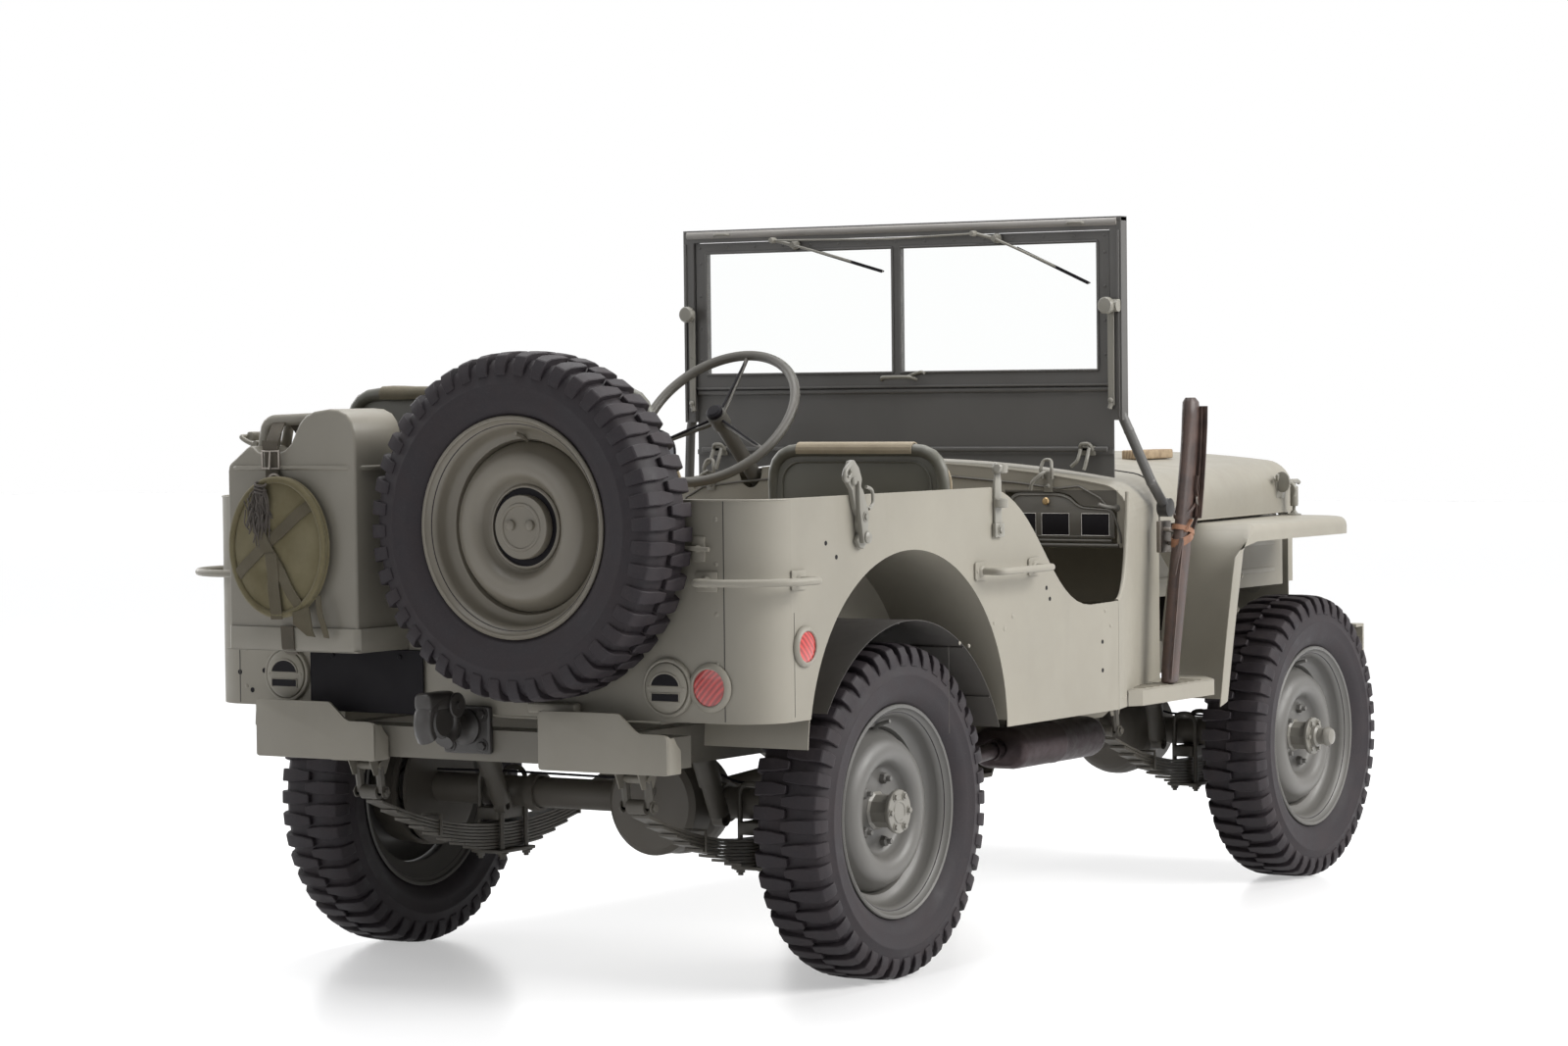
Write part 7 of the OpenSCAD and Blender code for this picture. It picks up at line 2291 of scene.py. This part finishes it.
gear_bits = [lathe("gearbox_flange", [(0.060, -0.006), (0.088, -0.006), (0.088, 0.006), (0.060, 0.006)],
                   on_tub(1.186, -0.020, 0.440), (1, 0, 0), steps=36)]
for k in range(8):
    a = math.tau * (k + 0.5) / 8
    gear_bits.append(hex_bolt("flange_bolt", on_tub(1.180, -0.020 + 0.078 * math.cos(a),
                                                    0.440 + 0.078 * math.sin(a)), (-1, 0, 0), 0.006, 0.005))
for x, y, z, d in ((0.880, -0.130, 0.400, -1), (1.180, -0.140, 0.400, 1)):
    gear_bits.append(lathe("yoke", [(0, 0), (0.042, 0), (0.042, 0.012), (0.030, 0.020), (0.030, 0.040),
                                    (0, 0.040)], on_tub(x - d * 0.004, y, z), (d, 0, 0), steps=24))
for x, z in ((0.130, AXLE_Z), (BASE - 0.120, AXLE_Z)):
    gear_bits.append(lathe("pinion_yoke", [(0, -0.022), (0.040, -0.022), (0.046, -0.010), (0.046, 0.010),
        (0.040, 0.022), (0, 0.022)], on_tub(x, -0.130, z), (1, 0, 0), steps=24))
for x in (0.86, 0.95, 1.04, 1.13, 1.22):
    gear_bits.append(hex_bolt("skid_bolt", on_tub(x, -0.185, 0.3005), (0, 0, -1), 0.008, 0.005))
    gear_bits.append(hex_bolt("skid_bolt", on_tub(x, 0.185, 0.3005), (0, 0, -1), 0.008, 0.005))
fit(joined("driveline_fittings", gear_bits), CHASSIS, "chassis")

# %% [markdown]
# ## Front end
# The grille is one pressed sheet with nine upright slots, each with a folded rim. Round
# headlamps sit behind its two big holes, with small marker lamps below.

# %% Grille and lamps
GRILLE_X = 2.330
front_bits = []
for i in range(-4, 5):
    y = i * 0.060
    outline = [on_tub(GRILLE_X + 0.0035, y + dy, z)
               for dy, z in ((0.0192, 0.672), (0.0192, 0.988), (-0.0192, 0.988), (-0.0192, 0.672))]
    front_bits.append(bar("slot_rim", outline, 0.0020, 0.008, closed=True, sides=2))
for s in (-1, 1):
    front_bits.append(lathe("lamp_ring", [(0.086, 0), (0.092, 0), (0.092, 0.004), (0.086, 0.006)],
                            on_tub(GRILLE_X + 0.003, s * 0.375, 0.860), (1, 0, 0), steps=44))
for y in (-0.44, -0.30, -0.15, 0.0, 0.15, 0.30, 0.44):
    front_bits.append(hex_bolt("grille_bolt", on_tub(GRILLE_X + 0.003, y, 0.615), (1, 0, 0), 0.007, 0.005))
crest = [(0.415 - 0.083 * k / 2, crown_z(0.415 - 0.083 * k / 2) - 0.0095) for k in range(21)]
front_bits.append(plate("grille_crest", [(0.415, 1.029)] + crest + [(-0.415, 1.029)], "x",
                        X0 + GRILLE_X - 0.0005, 0.0040, 0.0008))
cross = tub_bar("rim_top", [(GRILLE_X + 0.002, y, min(1.0325, crown_z(y) - 0.032))
                            for y in (-0.40, -0.2, 0, 0.2, 0.40)], 0.0030)
fit(joined("grille_rims", front_bits + [cross]), PAINT, "chassis")
radiator = [tub_block("core", (GRILLE_X - 0.060, -0.285, 0.640), (GRILLE_X - 0.020, 0.285, 1.000), 0.003)]
for i in range(19):
    y = -0.27 + 0.030 * i
    radiator.append(tub_block("fin", (GRILLE_X - 0.020, y - 0.0015, 0.650),
                              (GRILLE_X - 0.012, y + 0.0015, 0.990), 0.0))
fit(joined("radiator_core", radiator), BLACK, "chassis")

def headlamp(s):
    at = on_tub(GRILLE_X - 0.004, s * 0.375, 0.860)
    bowl = lathe("bowl", [(0, -0.104), (0.030, -0.102), (0.055, -0.090), (0.074, -0.060), (0.082, -0.020),
                          (0.0835, 0.000), (0.0835, 0.0015), (0.078, 0.0018), (0.0775, -0.012),
                          (0.050, -0.050), (0, -0.066)], at, (1, 0, 0), steps=44)
    return bowl

def headlamp_glass(s):
    at = on_tub(GRILLE_X - 0.006, s * 0.375, 0.860)
    return lathe("lens", [(0, -0.004), (0.0770, -0.006), (0.0770, -0.001), (0.060, 0.0035),
                          (0.030, 0.0058), (0, 0.0062)], at, (1, 0, 0), steps=44)

fit(joined("headlamp_bowls", [headlamp(1), headlamp(-1)]), STEEL, "chassis", ["headlamps"])
fit(joined("headlamp_lenses", [headlamp_glass(1), headlamp_glass(-1)]), LENS, "chassis")
markers = [lathe("marker", [(0, -0.004), (0.026, -0.004), (0.026, 0.004), (0.022, 0.012), (0.012, 0.018),
    (0, 0.019)], on_tub(GRILLE_X + 0.003, s * 0.375, 0.722), (1, 0, 0), steps=28) for s in (-1, 1)]
fit(joined("marker_lamps", markers), BRACKET_PAINT, "chassis")

# %% Front bumper: bolts and gussets
bumper_bits = []
for s in (-1, 1):
    for z in (0.535, 0.580):
        bumper_bits.append(dome("bumper_bolt", on_tub(2.640, s * 0.348, z), (1, 0, 0), 0.011, 0.0))
    bumper_bits.append(plate("gusset",
                             lift([(2.594, s * 0.400), (2.594, s * 0.300), (2.470, s * 0.340),
                                   (2.470, s * 0.356)][::s], X0), "z", 0.596, 0.004))
fit(joined("bumper_gussets", bumper_bits), RAIL_PAINT, "chassis")
print("underbody and front done")
